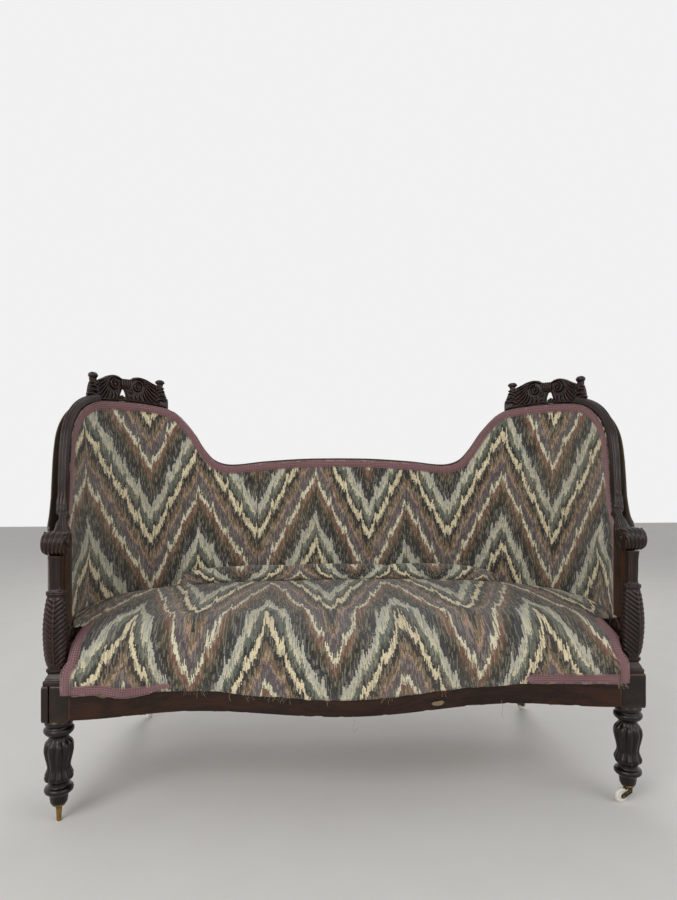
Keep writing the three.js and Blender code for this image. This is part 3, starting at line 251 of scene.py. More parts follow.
def move_points(piece: bpy.types.Object, places: Array) -> None:
    """Puts the piece's vertices at new places."""
    piece.data.vertices.foreach_set("co", np.asarray(places, dtype=np.float32).ravel())
    piece.data.update()


def apply_modifiers(piece: bpy.types.Object) -> None:
    """Bakes the piece's modifiers into its mesh.

    Args:
        piece: The mesh object that is worked on.
    """
    graph = bpy.context.evaluated_depsgraph_get()
    baked = bpy.data.meshes.new_from_object(piece.evaluated_get(graph), depsgraph=graph)
    piece.modifiers.clear()
    piece.data = baked


def bevelled(piece: bpy.types.Object, width: float, segments: int = 2,
             angle: float = 35.0) -> bpy.types.Object:
    """Rounds the piece's sharp edges and bakes the result.

    Args:
        piece: The mesh object that is worked on.
        width: Width across, in metres.
        segments: Rows of faces round each edge.
        angle: Edges sharper than this are rounded, in degrees.

    Returns:
        The piece.
    """
    edge = piece.modifiers.new("edge", "BEVEL")
    edge.width = width
    edge.segments = segments
    edge.limit_method = "ANGLE"
    edge.angle_limit = math.radians(angle)
    edge.harden_normals = False
    apply_modifiers(piece)
    return piece


def noise(points: Array, scale: float, seed: int = 0) -> Array:
    """Smooth value noise between -1 and 1, the same in each run.

    Args:
        points: an N by 3 array of places.
        scale: the size of one cell in metres.
        seed: which noise.

    Returns:
        One value for each point.
    """
    cells = np.asarray(points, dtype=float) / scale + 17.31 * seed
    low = np.floor(cells).astype(np.int64)
    part = cells - low
    part = part * part * (3.0 - 2.0 * part)
    total = np.zeros(len(cells))
    for corner in range(8):
        step = np.array([corner & 1, (corner >> 1) & 1, (corner >> 2) & 1])
        where = low + step
        mixed = where[:, 0] * 374761393 + where[:, 1] * 668265263 + where[:, 2] * 2147483647 + seed * 144269
        mixed = (mixed ^ (mixed >> 13)) * 1274126177
        value = ((mixed ^ (mixed >> 16)) & 0xFFFF) / 32767.5 - 1.0
        weight = np.prod(np.where(step == 1, part, 1.0 - part), axis=1)
        total += value * weight
    return total


def smoothstep(value: Array | float, low: float, high: float) -> Array:
    """Goes smoothly from 0 at low to 1 at high."""
    share = np.clip((np.asarray(value, dtype=float) - low) / (high - low), 0.0, 1.0)
    return share * share * (3.0 - 2.0 * share)


def unit(vectors: Array) -> Array:
    """Scales vectors to length 1 along the last axis."""
    length = np.linalg.norm(vectors, axis=-1, keepdims=True)
    return vectors / np.maximum(length, 1e-12)


def catmull_rom(points: Array, per_span: int = 40) -> Array:
    """Samples a centripetal Catmull-Rom curve through points.

    Args:
        points: The points, one row each.
        per_span: Samples between two points.

    Returns:
        The points of the curve.
    """
    points = np.asarray(points, dtype=float)
    padded = np.vstack([2 * points[0] - points[1], points, 2 * points[-1] - points[-2]])
    out: list[Array] = []
    share = np.linspace(0.0, 1.0, per_span, endpoint=False)[:, None]
    for p0, p1, p2, p3 in zip(padded[:-3], padded[1:-2], padded[2:-1], padded[3:]):
        d0, d1, d2 = (max(np.linalg.norm(b - a) ** 0.5, 1e-4) for a, b in ((p0, p1), (p1, p2), (p2, p3)))
        m1 = ((p1 - p0) / d0 - (p2 - p0) / (d0 + d1) + (p2 - p1) / d1) * d1
        m2 = ((p2 - p1) / d1 - (p3 - p1) / (d1 + d2) + (p3 - p2) / d2) * d1
        c2 = -3 * p1 + 3 * p2 - 2 * m1 - m2
        c3 = 2 * p1 - 2 * p2 + m1 + m2
        out.append(p1 + m1 * share + c2 * share**2 + c3 * share**3)
    out.append(points[-1][None, :])
    return np.vstack(out)




def rounded_box(width: float, depth: float, radius: float, steps: int = 3) -> Array:
    """The outline of a rounded rectangle, centred on the origin.

    Args:
        width: Width across, in metres.
        depth: Depth from front to back, in metres.
        radius: Radius of the corners.
        steps: Points round each corner.

    Returns:
        The outline's points.
    """
    points = []
    for corner, (sx, sy) in enumerate(((1, 1), (-1, 1), (-1, -1), (1, -1))):
        for k in range(steps + 1):
            angle = math.pi / 2 * (corner + k / steps)
            points.append([
                sx * (width / 2 - radius) + radius * math.cos(angle),
                sy * (depth / 2 - radius) + radius * math.sin(angle),
            ])
    return np.array(points)


def tube_rings(path: Array, radii: Array, sides: int = 8, flat: float = 1.0,
               out: Array | None = None) -> Array:
    """Rings for a round, tapering strand along a path.

    Args:
        path: N places.
        radii: the radius at each place.
        sides: points in each ring.
        flat: the strand's thickness along out, as a share of its width.
        out: the direction that the strand is flattened along.

    Returns:
        The rings, for Solid.loft.
    """
    tangent = unit(np.gradient(path, axis=0))
    guide = np.broadcast_to(np.array([0.0, 0.0, 1.0]) if out is None else out, path.shape)
    side = unit(np.cross(tangent, guide) + 1e-9)
    up = unit(np.cross(side, tangent))
    angles = np.linspace(0.0, 2 * math.pi, sides, endpoint=False)
    ring = np.cos(angles)[None, :, None] * side[:, None, :] + flat * np.sin(angles)[None, :, None] * up[:,
            None, :]
    return path[:, None, :] + np.asarray(radii)[:, None, None] * ring


# The plan line: a point of the back is given by its distance along, its distance out and its height


@dataclass
class PlanLine:
    """The inside line of the curved back in plan, and the height of its upholstered edge."""

    half_width: float = 0.771
    block: float = 0.065
    back_depth: float = 0.562
    arm_spread: float = 0.768
    arm_spread_depth: float = 0.205
    centre_top: float = 0.907
    valley_top: float = 0.886
    hump_top: float = 1.084
    arm_top: float = 0.728
    valley_at: float = 0.372
    panel_setback: float = 0.030
    wing_setback: float = 0.139

    def __post_init__(self) -> None:
        """Works out the tables that the other methods read."""
        leg_x = self.half_width - self.block / 2
        spread, depth = self.arm_spread, self.back_depth
        points = np.array([
            [0, depth], [0.200, depth], [spread - 0.388, depth - 0.004], [spread - 0.248, depth - 0.040],
            [spread - 0.113, depth - 0.130], [spread - 0.026, self.arm_spread_depth + 0.106],
            [spread, self.arm_spread_depth], [leg_x + 0.015, self.block + 0.068],
                           [leg_x - 0.003, self.block + 0.034],
            [leg_x - 0.006, self.block + 0.014], [leg_x - 0.006, self.block + GAP],
        ])
        self.line = catmull_rom(points)
        steps = np.linalg.norm(np.diff(self.line, axis=0), axis=1)
        self.run = np.concatenate([[0.0], np.cumsum(steps)])
        self.length = float(self.run[-1])
        tangent = unit(np.gradient(self.line, self.run, axis=0))
        self.normal = np.stack([-tangent[:, 1], tangent[:, 0]], axis=1)
        self.panel_end = self.length - self.panel_setback
        self.wing = self.length - self.wing_setback
        centre, valley, hump, arm = self.centre_top, self.valley_top, self.hump_top, self.arm_top
        at, wing = self.valley_at, self.wing
        self.top_line = catmull_rom(np.array([
            [0, centre], [0.120, centre - 0.002], [0.250, (centre + valley) / 2], [at, valley],
            [at + 0.044, valley + 0.015], [at + 0.074, valley + 0.048], [at + 0.120, valley + 0.118],
            [at + 0.180, hump - 0.021], [at + 0.268, hump - 0.002], [wing - 0.190, hump],
            [wing - 0.130, hump - 0.006], [wing - 0.080, hump - 0.028], [wing - 0.042, hump - 0.064],
            [wing - 0.018, hump - 0.105], [wing - 0.004, hump - 0.160], [wing + 0.006, hump - 0.230],
            [wing + 0.014, (hump + arm) / 2 - 0.110], [wing + 0.038, arm + 0.018],
            [wing + 0.075, arm + 0.004], [self.panel_end, arm],
        ]))

    def place(self, along: Array | float, out: Array | float, height: Array | float) -> Array:
        """Places in the object's frame for distances along, distances out and heights.

        Args:
            along: Distance along the back from its middle.
            out: Distance outwards from the inside line.
            height: Height above the floor.

        Returns:
            The places, one row each.
        """
        along, out, height = np.broadcast_arrays(*(np.asarray(v, dtype=float) for v in (along, out, height)))
        s = np.clip(np.abs(along), 0.0, self.length)
        x = np.interp(s, self.run, self.line[:, 0]) + np.interp(s, self.run, self.normal[:, 0]) * out
        y = np.interp(s, self.run, self.line[:, 1]) + np.interp(s, self.run, self.normal[:, 1]) * out
        return np.stack([np.where(along < 0, -x, x), y + FRONT_Y, height], axis=-1)

    def top(self, along: Array | float) -> Array:
        """Height of the upholstered edge at a distance along."""
        s = np.clip(np.abs(np.asarray(along, dtype=float)), 0.0, self.panel_end)
        return np.interp(s, self.top_line[:, 0], self.top_line[:, 1])

    def edge(self, step: float = 0.006, lift: float = 0.0) -> Array:
        """The right half's edge as (along, height) points, from the middle to the arm.

        Args:
            step: Distance between two points of the edge.
            lift: How far the edge is moved outwards.

        Returns:
            The edge's points.
        """
        steps = np.linalg.norm(np.diff(self.top_line, axis=0), axis=1)
        run = np.concatenate([[0.0], np.cumsum(steps)])
        where = np.linspace(0.0, run[-1], int(run[-1] / step))
        line = np.stack([np.interp(where, run, self.top_line[:, k]) for k in (0, 1)], axis=1)
        tangent = unit(np.gradient(line, axis=0))
        line = line + lift * np.stack([-tangent[:, 1], tangent[:, 0]], axis=1)
        line[0, 0] = 0.0
        return line

    def edge_distance(self, along: Array, height: Array) -> Array:
        """Distance from points of the back to its edge, as it lies unrolled.

        Args:
            along: Distance along the back from its middle.
            height: Height above the floor.

        Returns:
            The distances.
        """
        line = np.vstack([self.edge(0.004), [[self.panel_end, 0.0]]])
        s, z = np.abs(np.asarray(along)).ravel(), np.asarray(height).ravel()
        best = np.full(s.shape, 9.0)
        for a, b in zip(line[:-1], line[1:]):
            run = b - a
            share = np.clip(((s - a[0]) * run[0] + (z - a[1]) * run[1]) / max(float(run @ run), 1e-12), 0.0,
                            1.0)
            best = np.minimum(best, np.hypot(s - a[0] - share * run[0], z - a[1] - share * run[1]))
        return best.reshape(np.shape(along))


PLAN = PlanLine()


@dataclass
class SeatFrame:
    """Heights and the serpentine line of the front rail."""

    rail_bottom: float = 0.262
    rail_top: float = 0.346
    thickness: float = 0.028
    bow: float = 0.021
    hollow: float = 0.042
    hollow_at: float = 0.420
    inner_face: float = 0.706

    def front(self, x: Array | float) -> Array:
        """Front face of the rail behind the plane of the blocks, at a place across.

        Args:
            x: Place across, in metres.

        Returns:
            Its place from front to back.
        """
        reach = np.abs(np.asarray(x, dtype=float))
        middle = -self.bow + (self.hollow + self.bow) * (1 - np.cos(math.pi * reach / self.hollow_at)) / 2
        back = np.clip((reach - self.hollow_at) / (self.inner_face - self.hollow_at), 0.0, 1.0)
        return np.where(reach < self.hollow_at, middle, self.hollow * (1 + np.cos(math.pi * back)) / 2)


SEAT_FRAME = SeatFrame()


# Node trees

Value = float | tuple | bpy.types.NodeSocket


class Graph:
    """Adds nodes to a tree and joins them; an input may be a number, a colour or another node's output."""

    def __init__(self, tree: bpy.types.NodeTree) -> None:
        """Works on the given tree."""
        self.tree = tree

    def feed(self, socket: bpy.types.NodeSocket, value: Value) -> None:
        """Sets a socket, or links another node's output to it.

        Args:
            socket: The input that is fed.
            value: The value that is passed on.
        """
        if isinstance(value, bpy.types.NodeSocket):
            self.tree.links.new(value, socket)
        elif socket.type == "RGBA" and isinstance(value, tuple) and len(value) == 3:
            socket.default_value = (*value, 1.0)
        else:
            socket.default_value = value

    def add(self, kind: str, inputs: dict | None = None, **settings: object) -> bpy.types.Node:
        """Adds a node.

        Args:
            kind: the node's type name.
            inputs: values for its sockets, by name or number.
            settings: the node's own options.

        Returns:
            The node.
        """
        node = self.tree.nodes.new(kind)
        for name, value in settings.items():
            setattr(node, name, value)
        for name, value in (inputs or {}).items():
            self.feed(node.inputs[name], value)
        return node

    def math(self, operation: str, a: Value, b: Value = 0.0, c: Value = 0.0, clamp: bool = False):
        """The result of a Math node."""
        node = self.add("ShaderNodeMath", {0: a, 1: b, 2: c}, operation=operation, use_clamp=clamp)
        return node.outputs[0]

    def vector(self, operation: str, a: Value, b: Value):
        """The result of a Vector Math node."""
        return self.add("ShaderNodeVectorMath", {0: a, 1: b}, operation=operation).outputs[0]

    def mix(self, factor: Value, a: Value, b: Value, blend: str = "MIX"):
        """One colour mixed over another."""
        node = self.add("ShaderNodeMix", {0: factor, 6: a, 7: b}, data_type="RGBA", blend_type=blend)
        return node.outputs[2]

    def noise(self, place: Value, scale: float, detail: float = 3.0, rough: float = 0.55,
              distort: float = 0.0):
        """A noise value between 0 and 1.

        Args:
            place: Where it stands or is looked up.
            scale: Size of the pattern.
            detail: Layers of finer noise.
            rough: Strength of the finer layers.
            distort: How much the pattern is pushed about.
        """
        node = self.add("ShaderNodeTexNoise", {
            "Vector": place, "Scale": scale, "Detail": detail, "Roughness": rough, "Distortion": distort,
        })
        return node.outputs[0]

    def ramp(self, factor: Value, stops: Sequence[tuple[float, tuple]], hard: bool = False):
        """A colour ramp over its stops, each a place and a colour.

        Args:
            factor: The socket that picks the colour.
            stops: Each colour with its place.
            hard: Whether the colours change in steps.
        """
        node = self.add("ShaderNodeValToRGB", {0: factor})
        node.color_ramp.interpolation = "CONSTANT" if hard else "LINEAR"
        elements = node.color_ramp.elements
        while len(elements) < len(stops):
            elements.new(1.0)
        for element, (place, colour) in zip(elements, stops):
            element.position = place
            element.color = (*colour, 1.0)
        return node.outputs[0]

    def span(self, value: Value, low: float, high: float):
        """Goes smoothly from 0 at low to 1 at high."""
        node = self.add("ShaderNodeMapRange", {0: value, 1: low, 2: high}, interpolation_type="SMOOTHSTEP")
        return node.outputs[0]

    def stretched(self, place: Value, scale: tuple[float, float, float]):
        """The place, scaled along each axis."""
        return self.add("ShaderNodeMapping", {0: place, 3: scale}).outputs[0]

    def height(self, value: Value, distance: float, strength: float = 1.0, normal: Value | None = None):
        """A Bump node's normal.

        Args:
            value: The value that is passed on.
            distance: Depth of the relief, in metres.
            strength: Strength of the relief.
            normal: The relief that this one is laid over.
        """
        node = self.add("ShaderNodeBump", {"Height": value, "Distance": distance, "Strength": strength})
        if normal is not None:
            self.feed(node.inputs["Normal"], normal)
        return node.outputs[0]


@dataclass
class EffectGroup:
    """A shader effect shared by several materials, built once as a node group."""

    name: str
    inputs: dict[str, tuple[str, object]]
    outputs: dict[str, str]
    work: Callable[[Graph, bpy.types.Node], dict]
    tree: bpy.types.NodeTree | None = None

    def make(self) -> bpy.types.NodeTree:
        """Builds the group's tree, the first time that it is asked for.

        Returns:
            The node group.
        """
        if self.tree is not None:
            return self.tree
        self.tree = bpy.data.node_groups.new(self.name, "ShaderNodeTree")
        for name, (kind, value) in self.inputs.items():
            socket = self.tree.interface.new_socket(name, in_out="INPUT", socket_type=kind)
            if value is not None:
                socket.default_value = value
        for name, kind in self.outputs.items():
            self.tree.interface.new_socket(name, in_out="OUTPUT", socket_type=kind)
        graph = Graph(self.tree)
        entry = graph.add("NodeGroupInput")
        results = self.work(graph, entry)
        leave = graph.add("NodeGroupOutput")
        for name, value in results.items():
            graph.feed(leave.inputs[name], value)
        return self.tree

    def place(self, graph: Graph, inputs: dict) -> bpy.types.Node:
        """Puts the group in a material's tree with its own values.

        Args:
            graph: The node tree that is being built.
            inputs: Values or sockets by input name.

        Returns:
            The group's node.
        """
        node = graph.tree.nodes.new("ShaderNodeGroup")
        node.node_tree = self.make()
        for name, value in inputs.items():
            graph.feed(node.inputs[name], value)
        return node


FLOAT, VECTOR, COLOUR = "NodeSocketFloat", "NodeSocketVector", "NodeSocketColor"


def grain_work(graph: Graph, entry: bpy.types.Node) -> dict:
    """Long soft figure with fine pores, running along the place's Z axis.

    Args:
        graph: The node tree that is being built.
        entry: The group's input node.

    Returns:
        Each output's name with its socket.
    """
    place = entry.outputs["Place"]
    figure = graph.noise(graph.stretched(place, (26.0, 26.0, 3.2)), 1.0, 4.0, 0.6, 1.4)
    streak = graph.noise(graph.stretched(place, (150.0, 150.0, 7.0)), 1.0, 3.0, 0.6)
    pores = graph.noise(graph.stretched(place, (900.0, 900.0, 60.0)), 1.0, 2.0, 0.5)
    tone = graph.math("ADD", graph.math("MULTIPLY", figure, 0.62), graph.math("MULTIPLY", streak, 0.38))
    pit = graph.span(pores, 0.30, 0.52)
    return {"Tone": tone, "Height": graph.math("ADD", graph.math("MULTIPLY", streak, 0.5),
                                               graph.math("MULTIPLY", pit, 0.5))}


def wear_work(graph: Graph, entry: bpy.types.Node) -> dict:
    """Rubbed ridges and dirty hollows, broken up by noise.

    Args:
        graph: The node tree that is being built.
        entry: The group's input node.

    Returns:
        Each output's name with its socket.
    """
    point = graph.add("ShaderNodeNewGeometry").outputs["Pointiness"]
    patch = graph.noise(entry.outputs["Place"], 38.0, 4.0, 0.62)
    fine = graph.noise(entry.outputs["Place"], 240.0, 3.0, 0.6)
    lifted = graph.math("ADD", point, graph.math("MULTIPLY", graph.math("SUBTRACT", patch, 0.5), 0.06))
    ridge = graph.span(lifted, 0.515, 0.575)
    hollow = graph.span(lifted, 0.497, 0.440)
    speck = graph.math("MULTIPLY", graph.span(fine, 0.58, 0.70), 0.35)
    wear = graph.math("MULTIPLY", graph.math("ADD", ridge, graph.math("MULTIPLY", speck, patch)),
                      entry.outputs["Amount"], clamp=True)
    return {"Wear": wear, "Grime": graph.math("MULTIPLY", hollow, graph.span(patch, 0.2, 0.6), clamp=True)}


def dust_work(graph: Graph, entry: bpy.types.Node) -> dict:
    """Dust that lies on whatever faces up.

    Args:
        graph: The node tree that is being built.
        entry: The group's input node.

    Returns:
        Each output's name with its socket.
    """
    normal = graph.add("ShaderNodeNewGeometry").outputs["Normal"]
    up = graph.add("ShaderNodeSeparateXYZ", {0: normal}).outputs[2]
    patch = graph.noise(entry.outputs["Place"], 22.0, 5.0, 0.65)
    lying = graph.math("MULTIPLY", graph.span(up, 0.35, 0.95), graph.span(patch, 0.36, 0.66))
    return {"Dust": graph.math("MULTIPLY", lying, entry.outputs["Amount"], clamp=True)}


def weave_work(graph: Graph, entry: bpy.types.Node) -> dict:
    """Plain weave of round threads that pass over and under each other, with slubs.

    Args:
        graph: The node tree that is being built.
        entry: The group's input node.

    Returns:
        Each output's name with its socket.
    """
    scaled = graph.vector("DIVIDE", entry.outputs["Place"], entry.outputs["Pitch"])
    axes = graph.add("ShaderNodeSeparateXYZ", {0: scaled})
    wobble = graph.math("MULTIPLY", graph.math("SUBTRACT", graph.noise(entry.outputs["Place"], 60.0, 2.0),
                                               0.5), 0.8)
    across = graph.math("ADD", axes.outputs[0], wobble)
    along = graph.math("ADD", axes.outputs[1], wobble)
    warp = graph.math("ABSOLUTE", graph.math("SINE", graph.math("MULTIPLY", across, math.pi)))
    weft = graph.math("ABSOLUTE", graph.math("SINE", graph.math("MULTIPLY", along, math.pi)))
    turn = graph.math("ADD", graph.math("FLOOR", across), graph.math("FLOOR", along))
    over = graph.math("PINGPONG", turn, 1.0)
    lift = graph.add("ShaderNodeMix", {0: over, 2: warp, 3: weft}, data_type="FLOAT").outputs[0]
    slub = graph.noise(graph.stretched(entry.outputs["Place"], (40.0, 700.0, 40.0)), 1.0, 2.0)
    height = graph.math("ADD", graph.math("MULTIPLY", lift, 0.75), graph.math("MULTIPLY", slub, 0.25))
    return {"Height": height, "Thread": lift}


GRAIN = EffectGroup("wood_grain", {"Place": (VECTOR, None)}, {"Tone": FLOAT, "Height": FLOAT}, grain_work)
WEAR = EffectGroup("edge_wear", {"Place": (VECTOR, None), "Amount": (FLOAT, 1.0)},
                   {"Wear": FLOAT, "Grime": FLOAT}, wear_work)
DUST = EffectGroup("dust", {"Place": (VECTOR, None), "Amount": (FLOAT, 0.5)}, {"Dust": FLOAT}, dust_work)
WEAVE = EffectGroup("weave", {"Place": (VECTOR, None), "Pitch": (VECTOR, (0.001, 0.001, 0.001))},
                    {"Height": FLOAT, "Thread": FLOAT}, weave_work)


def linear(code: str) -> tuple[float, float, float]:
    """A colour for a node from its written form, such as "7a6b75"."""
    parts = [int(code[i:i + 2], 16) / 255 for i in (0, 2, 4)]
    return tuple(c / 12.92 if c <= 0.04045 else ((c + 0.055) / 1.055) ** 2.4 for c in parts)


def new_material(name: str) -> tuple[bpy.types.Material, Graph, bpy.types.Node]:
    """Makes a node material.

    Args:
        name: The name that the new piece or group gets.

    Returns:
        The material, its graph and its Principled BSDF.
    """
    material = bpy.data.materials.new(name)
    material.use_nodes = True
    graph = Graph(material.node_tree)
    return material, graph, material.node_tree.nodes["Principled BSDF"]


def object_place(graph: Graph) -> bpy.types.NodeSocket:
    """Object coordinates."""
    return graph.add("ShaderNodeTexCoord").outputs["Object"]


# Finishes


@dataclass(frozen=True)
class Wood:
    """Old polished mahogany: deep figure, rubbed ridges, dirt in the hollows and dust on top."""

    name: str
    dark: str = "24130d"
    mid: str = "4a2b1e"
    rubbed: str = "7a4f35"
    wear: float = 0.55
    dust: float = 0.35
    gloss: float = 0.34
    polish: float = 0.25
    grain_turn: tuple[float, float, float] = (0.0, 0.0, 0.0)

    def material(self) -> bpy.types.Material:
        """Builds the finish.

        Returns:
            The finish.
        """
        made, graph, shader = new_material(self.name)
        place = object_place(graph)
        laid = graph.add("ShaderNodeMapping", {0: place, 2: self.grain_turn}).outputs[0]
        grain = GRAIN.place(graph, {"Place": laid})
        wear = WEAR.place(graph, {"Place": place, "Amount": self.wear})
        dust = DUST.place(graph, {"Place": place, "Amount": self.dust})
        tone = graph.span(grain.outputs["Tone"], 0.36, 0.66)
        colour = graph.mix(tone, linear(self.dark), linear(self.mid))
        colour = graph.mix(wear.outputs["Wear"], colour, linear(self.rubbed))
        colour = graph.mix(graph.math("MULTIPLY", wear.outputs["Grime"], 0.85), colour, linear("120a07"))
        colour = graph.mix(graph.math("MULTIPLY", dust.outputs["Dust"], 0.35), colour, linear("8d8071"))
        graph.feed(shader.inputs["Base Color"], colour)
        patchy = graph.noise(place, 14.0, 4.0)
        rough = graph.math("ADD", self.gloss, graph.math("MULTIPLY", patchy, 0.22))
        rough = graph.math("ADD", rough, graph.math("MULTIPLY", dust.outputs["Dust"], 0.3), clamp=True)
        graph.feed(shader.inputs["Roughness"], rough)
        dents = graph.noise(place, 75.0, 3.0)
        normal = graph.height(grain.outputs["Height"], 0.0004, 0.5)
        graph.feed(shader.inputs["Normal"], graph.height(dents, 0.0012, 0.35, normal))
        shader.inputs["Specular IOR Level"].default_value = 0.24
        shader.inputs["Coat Weight"].default_value = self.polish
        shader.inputs["Coat Roughness"].default_value = 0.16
        return made


class FlameCloth(Enum):
    """The two lays of the flame-stitch cover, each with the places where its zigzag turns."""

    BACK = "back"
    SEAT = "seat"


@dataclass(frozen=True)
class FlameFabric:
    """Flame-stitch cover: serrated zigzag bands of wool in a repeating order."""

    name: str
    lay: FlameCloth
    repeat: float = 0.378
    rise: float = 0.35
    column: float = 0.0026
    notch_every: float = 0.050
    phase: float = 0.0
    seams: tuple[float, ...] = ()

    TURNS = {
        FlameCloth.BACK: [
            (-1.12, 0.0), (-0.875, 1.0), (-0.63, 0.0), (-0.47, 0.85), (-0.2725, 0.0), (-0.081, 1.0),
                          (0.103, 0.0),
            (0.233, 0.72), (0.375, 0.0), (0.56, 1.0), (0.735, 0.0), (0.93, 1.0), (1.12, 0.0),
        ],
        FlameCloth.SEAT: [
            (-0.78, 0.0), (-0.579, 1.0), (-0.415, 0.0), (-0.215, 1.0), (-0.046, 0.0), (0.141, 1.0),
                          (0.34, 0.0),
            (0.534, 1.0), (0.70, 0.0), (0.80, 0.55),
        ],
    }
    BANDS = [
        ("cbcab9", 26), ("e4dcbd", 17), ("636d63", 26), ("262e2c", 13), ("101011", 8), ("fdedc4", 28),
             ("1a1213", 34),
        ("766145", 25), ("b8957c", 11), ("62565b", 38), ("66645b", 14), ("f8f0d0", 19), ("7f5742", 30),
             ("433c28", 28),
        ("0e0f0c", 24), ("2d3138", 34),
    ]

    PULL = [
        (-0.30, -0.250), (-0.2225, -0.1675), (-0.1455, -0.0825), (-0.0825, -0.032), (0.0255, 0.0045),
            (0.055, 0.050),
        (0.109, 0.0945), (0.46, 0.340),
    ]

    def bent(self, graph: Graph, value: bpy.types.NodeSocket, points: list) -> bpy.types.NodeSocket:
        """Straight runs through the given points: each holds a value and what it becomes.

        Args:
            graph: The node tree that is being built.
            value: The value that is passed on.
            points: The points, one row each.

        Returns:
            The output socket.
        """
        low, high = points[0][0], points[-1][0]
        least, most = min(p[1] for p in points), max(p[1] for p in points)
        curve = graph.add("ShaderNodeFloatCurve", {1: graph.math("DIVIDE",
                graph.math("SUBTRACT", value, low), high - low)})
        knots = curve.mapping.curves[0].points
        while len(knots) < len(points):
            knots.new(0.5, 0.5)
        for knot, (place, result) in zip(knots, points):
            knot.location = ((place - low) / (high - low), (result - least) / (most - least))
            knot.handle_type = "VECTOR"
        curve.mapping.update()
        return graph.math("ADD", graph.math("MULTIPLY", curve.outputs[0], most - least), least)

    def material(self) -> bpy.types.Material:
        """Builds the finish; it reads the piece's own pattern UV, in metres.

        Returns:
            The finish.
        """
        made, graph, shader = new_material(self.name)
        pattern = graph.add("ShaderNodeUVMap", uv_map="pattern").outputs[0]
        place = object_place(graph)
        slack = graph.noise(pattern, 5.0, 2.0)
        sheared = graph.vector("ADD", pattern, graph.vector("MULTIPLY", (0.010, 0.022, 0.0),
                graph.vector("SUBTRACT", slack, (0.5, 0.5, 0.5))))
        axes = graph.add("ShaderNodeSeparateXYZ", {0: sheared})
        across = axes.outputs[0]
        along = axes.outputs[1]
        if self.lay is FlameCloth.SEAT:
            along = self.bent(graph, along, self.PULL)
        number = graph.math("FLOOR", graph.math("DIVIDE", across, self.column))
        column = graph.math("MULTIPLY", graph.math("ADD", number, 0.5), self.column)
        step = graph.add("ShaderNodeTexWhiteNoise", {1: number}, noise_dimensions="1D").outputs[0]
        place_up = graph.add("ShaderNodeCombineXYZ", {0: graph.math("MULTIPLY", number, 1.9),
                1: graph.math("MULTIPLY", along, 34.0)})
        comb = graph.noise(place_up.outputs[0], 1.0, 0.0)
        share = graph.math("FRACT", graph.math("DIVIDE", column, self.notch_every))
        away = graph.math("MULTIPLY", graph.math("ABSOLUTE", graph.math("SUBTRACT", share, 0.5)),
                          self.notch_every)
        notch = graph.math("MULTIPLY", graph.span(away, 0.0080, 0.0), 0.024)
        cell = graph.math("FLOOR", graph.math("ADD", graph.math("DIVIDE", along, 0.013),
                                              graph.math("MULTIPLY", step, 9.0)))
        picked = graph.add("ShaderNodeCombineXYZ", {0: number, 1: cell})
        stitch = graph.add("ShaderNodeTexWhiteNoise", {0: picked.outputs[0]},
                           noise_dimensions="2D").outputs[0]
        jitter = notch
        for source, reach in ((step, 0.009), (comb, 0.020), (stitch, 0.012)):
            jitter = graph.math("ADD", jitter, graph.math("MULTIPLY", graph.math("SUBTRACT", source, 0.5),
                    reach))
        tall = graph.math("SUBTRACT", along, graph.math("ADD",
                self.bent(graph, column, [(x, h * self.rise) for x, h in self.TURNS[self.lay]]), jitter))
        turn = graph.math("FRACT", graph.math("DIVIDE", graph.math("ADD",
                graph.math("MULTIPLY", tall, -1.0), self.phase), self.repeat))
        total = sum(width for _, width in self.BANDS)
        stops, reached = [], 0.0
        for colour, width in self.BANDS:
            stops.append((reached / total, linear(colour)))
            reached += width
        colour = graph.ramp(turn, stops, hard=True)
        colour = graph.mix(graph.math("MULTIPLY", graph.span(stitch, 0.72, 0.78), 0.30), colour,
                           linear("cfc4a6"))
        colour = graph.mix(graph.math("MULTIPLY", graph.span(stitch, 0.30, 0.22), 0.42), colour,
                           linear("1f1c1b"))
        threads = graph.noise(graph.stretched(pattern, (520.0, 60.0, 1.0)), 1.0, 3.0, 0.6)
        flecks = graph.noise(graph.stretched(pattern, (330.0, 330.0, 1.0)), 1.0, 3.0, 0.7)
        colour = graph.mix(graph.math("MULTIPLY", graph.span(threads, 0.40, 0.75), 0.15), colour,
                           linear("d6c9b0"))
        colour = graph.mix(graph.math("MULTIPLY", graph.span(flecks, 0.58, 0.40), 0.22), colour,
                           linear("2a2220"))
        fade = graph.noise(place, 3.0, 4.0)
        colour = graph.mix(graph.math("MULTIPLY", graph.span(fade, 0.42, 0.70), 0.10), colour,
                           linear("a8937a"))
        soil = graph.noise(place, 7.5, 5.0, 0.65)
        colour = graph.mix(graph.math("MULTIPLY", graph.span(soil, 0.58, 0.76), 0.16), colour,
                           linear("4a3a2c"))
        for seam in self.seams:
            near = graph.math("ABSOLUTE", graph.math("SUBTRACT", axes.outputs[0], seam))
            colour = graph.mix(graph.math("MULTIPLY", graph.span(near, 0.0022, 0.0006), 0.75), colour,
                               linear("1c1614"))
        graph.feed(shader.inputs["Base Color"], colour)
        shader.inputs["Roughness"].default_value = 0.92
        shader.inputs["Sheen Weight"].default_value = 0.22
        shader.inputs["Sheen Roughness"].default_value = 0.55
        weave = WEAVE.place(graph, {"Place": pattern, "Pitch": (0.0021, 0.0013, 1.0)})
        normal = graph.height(weave.outputs["Height"], 0.0007, 0.8)
        rumple = graph.noise(pattern, 16.0, 4.0)
        graph.feed(shader.inputs["Normal"], graph.height(rumple, 0.006, 0.30, normal))
        return made


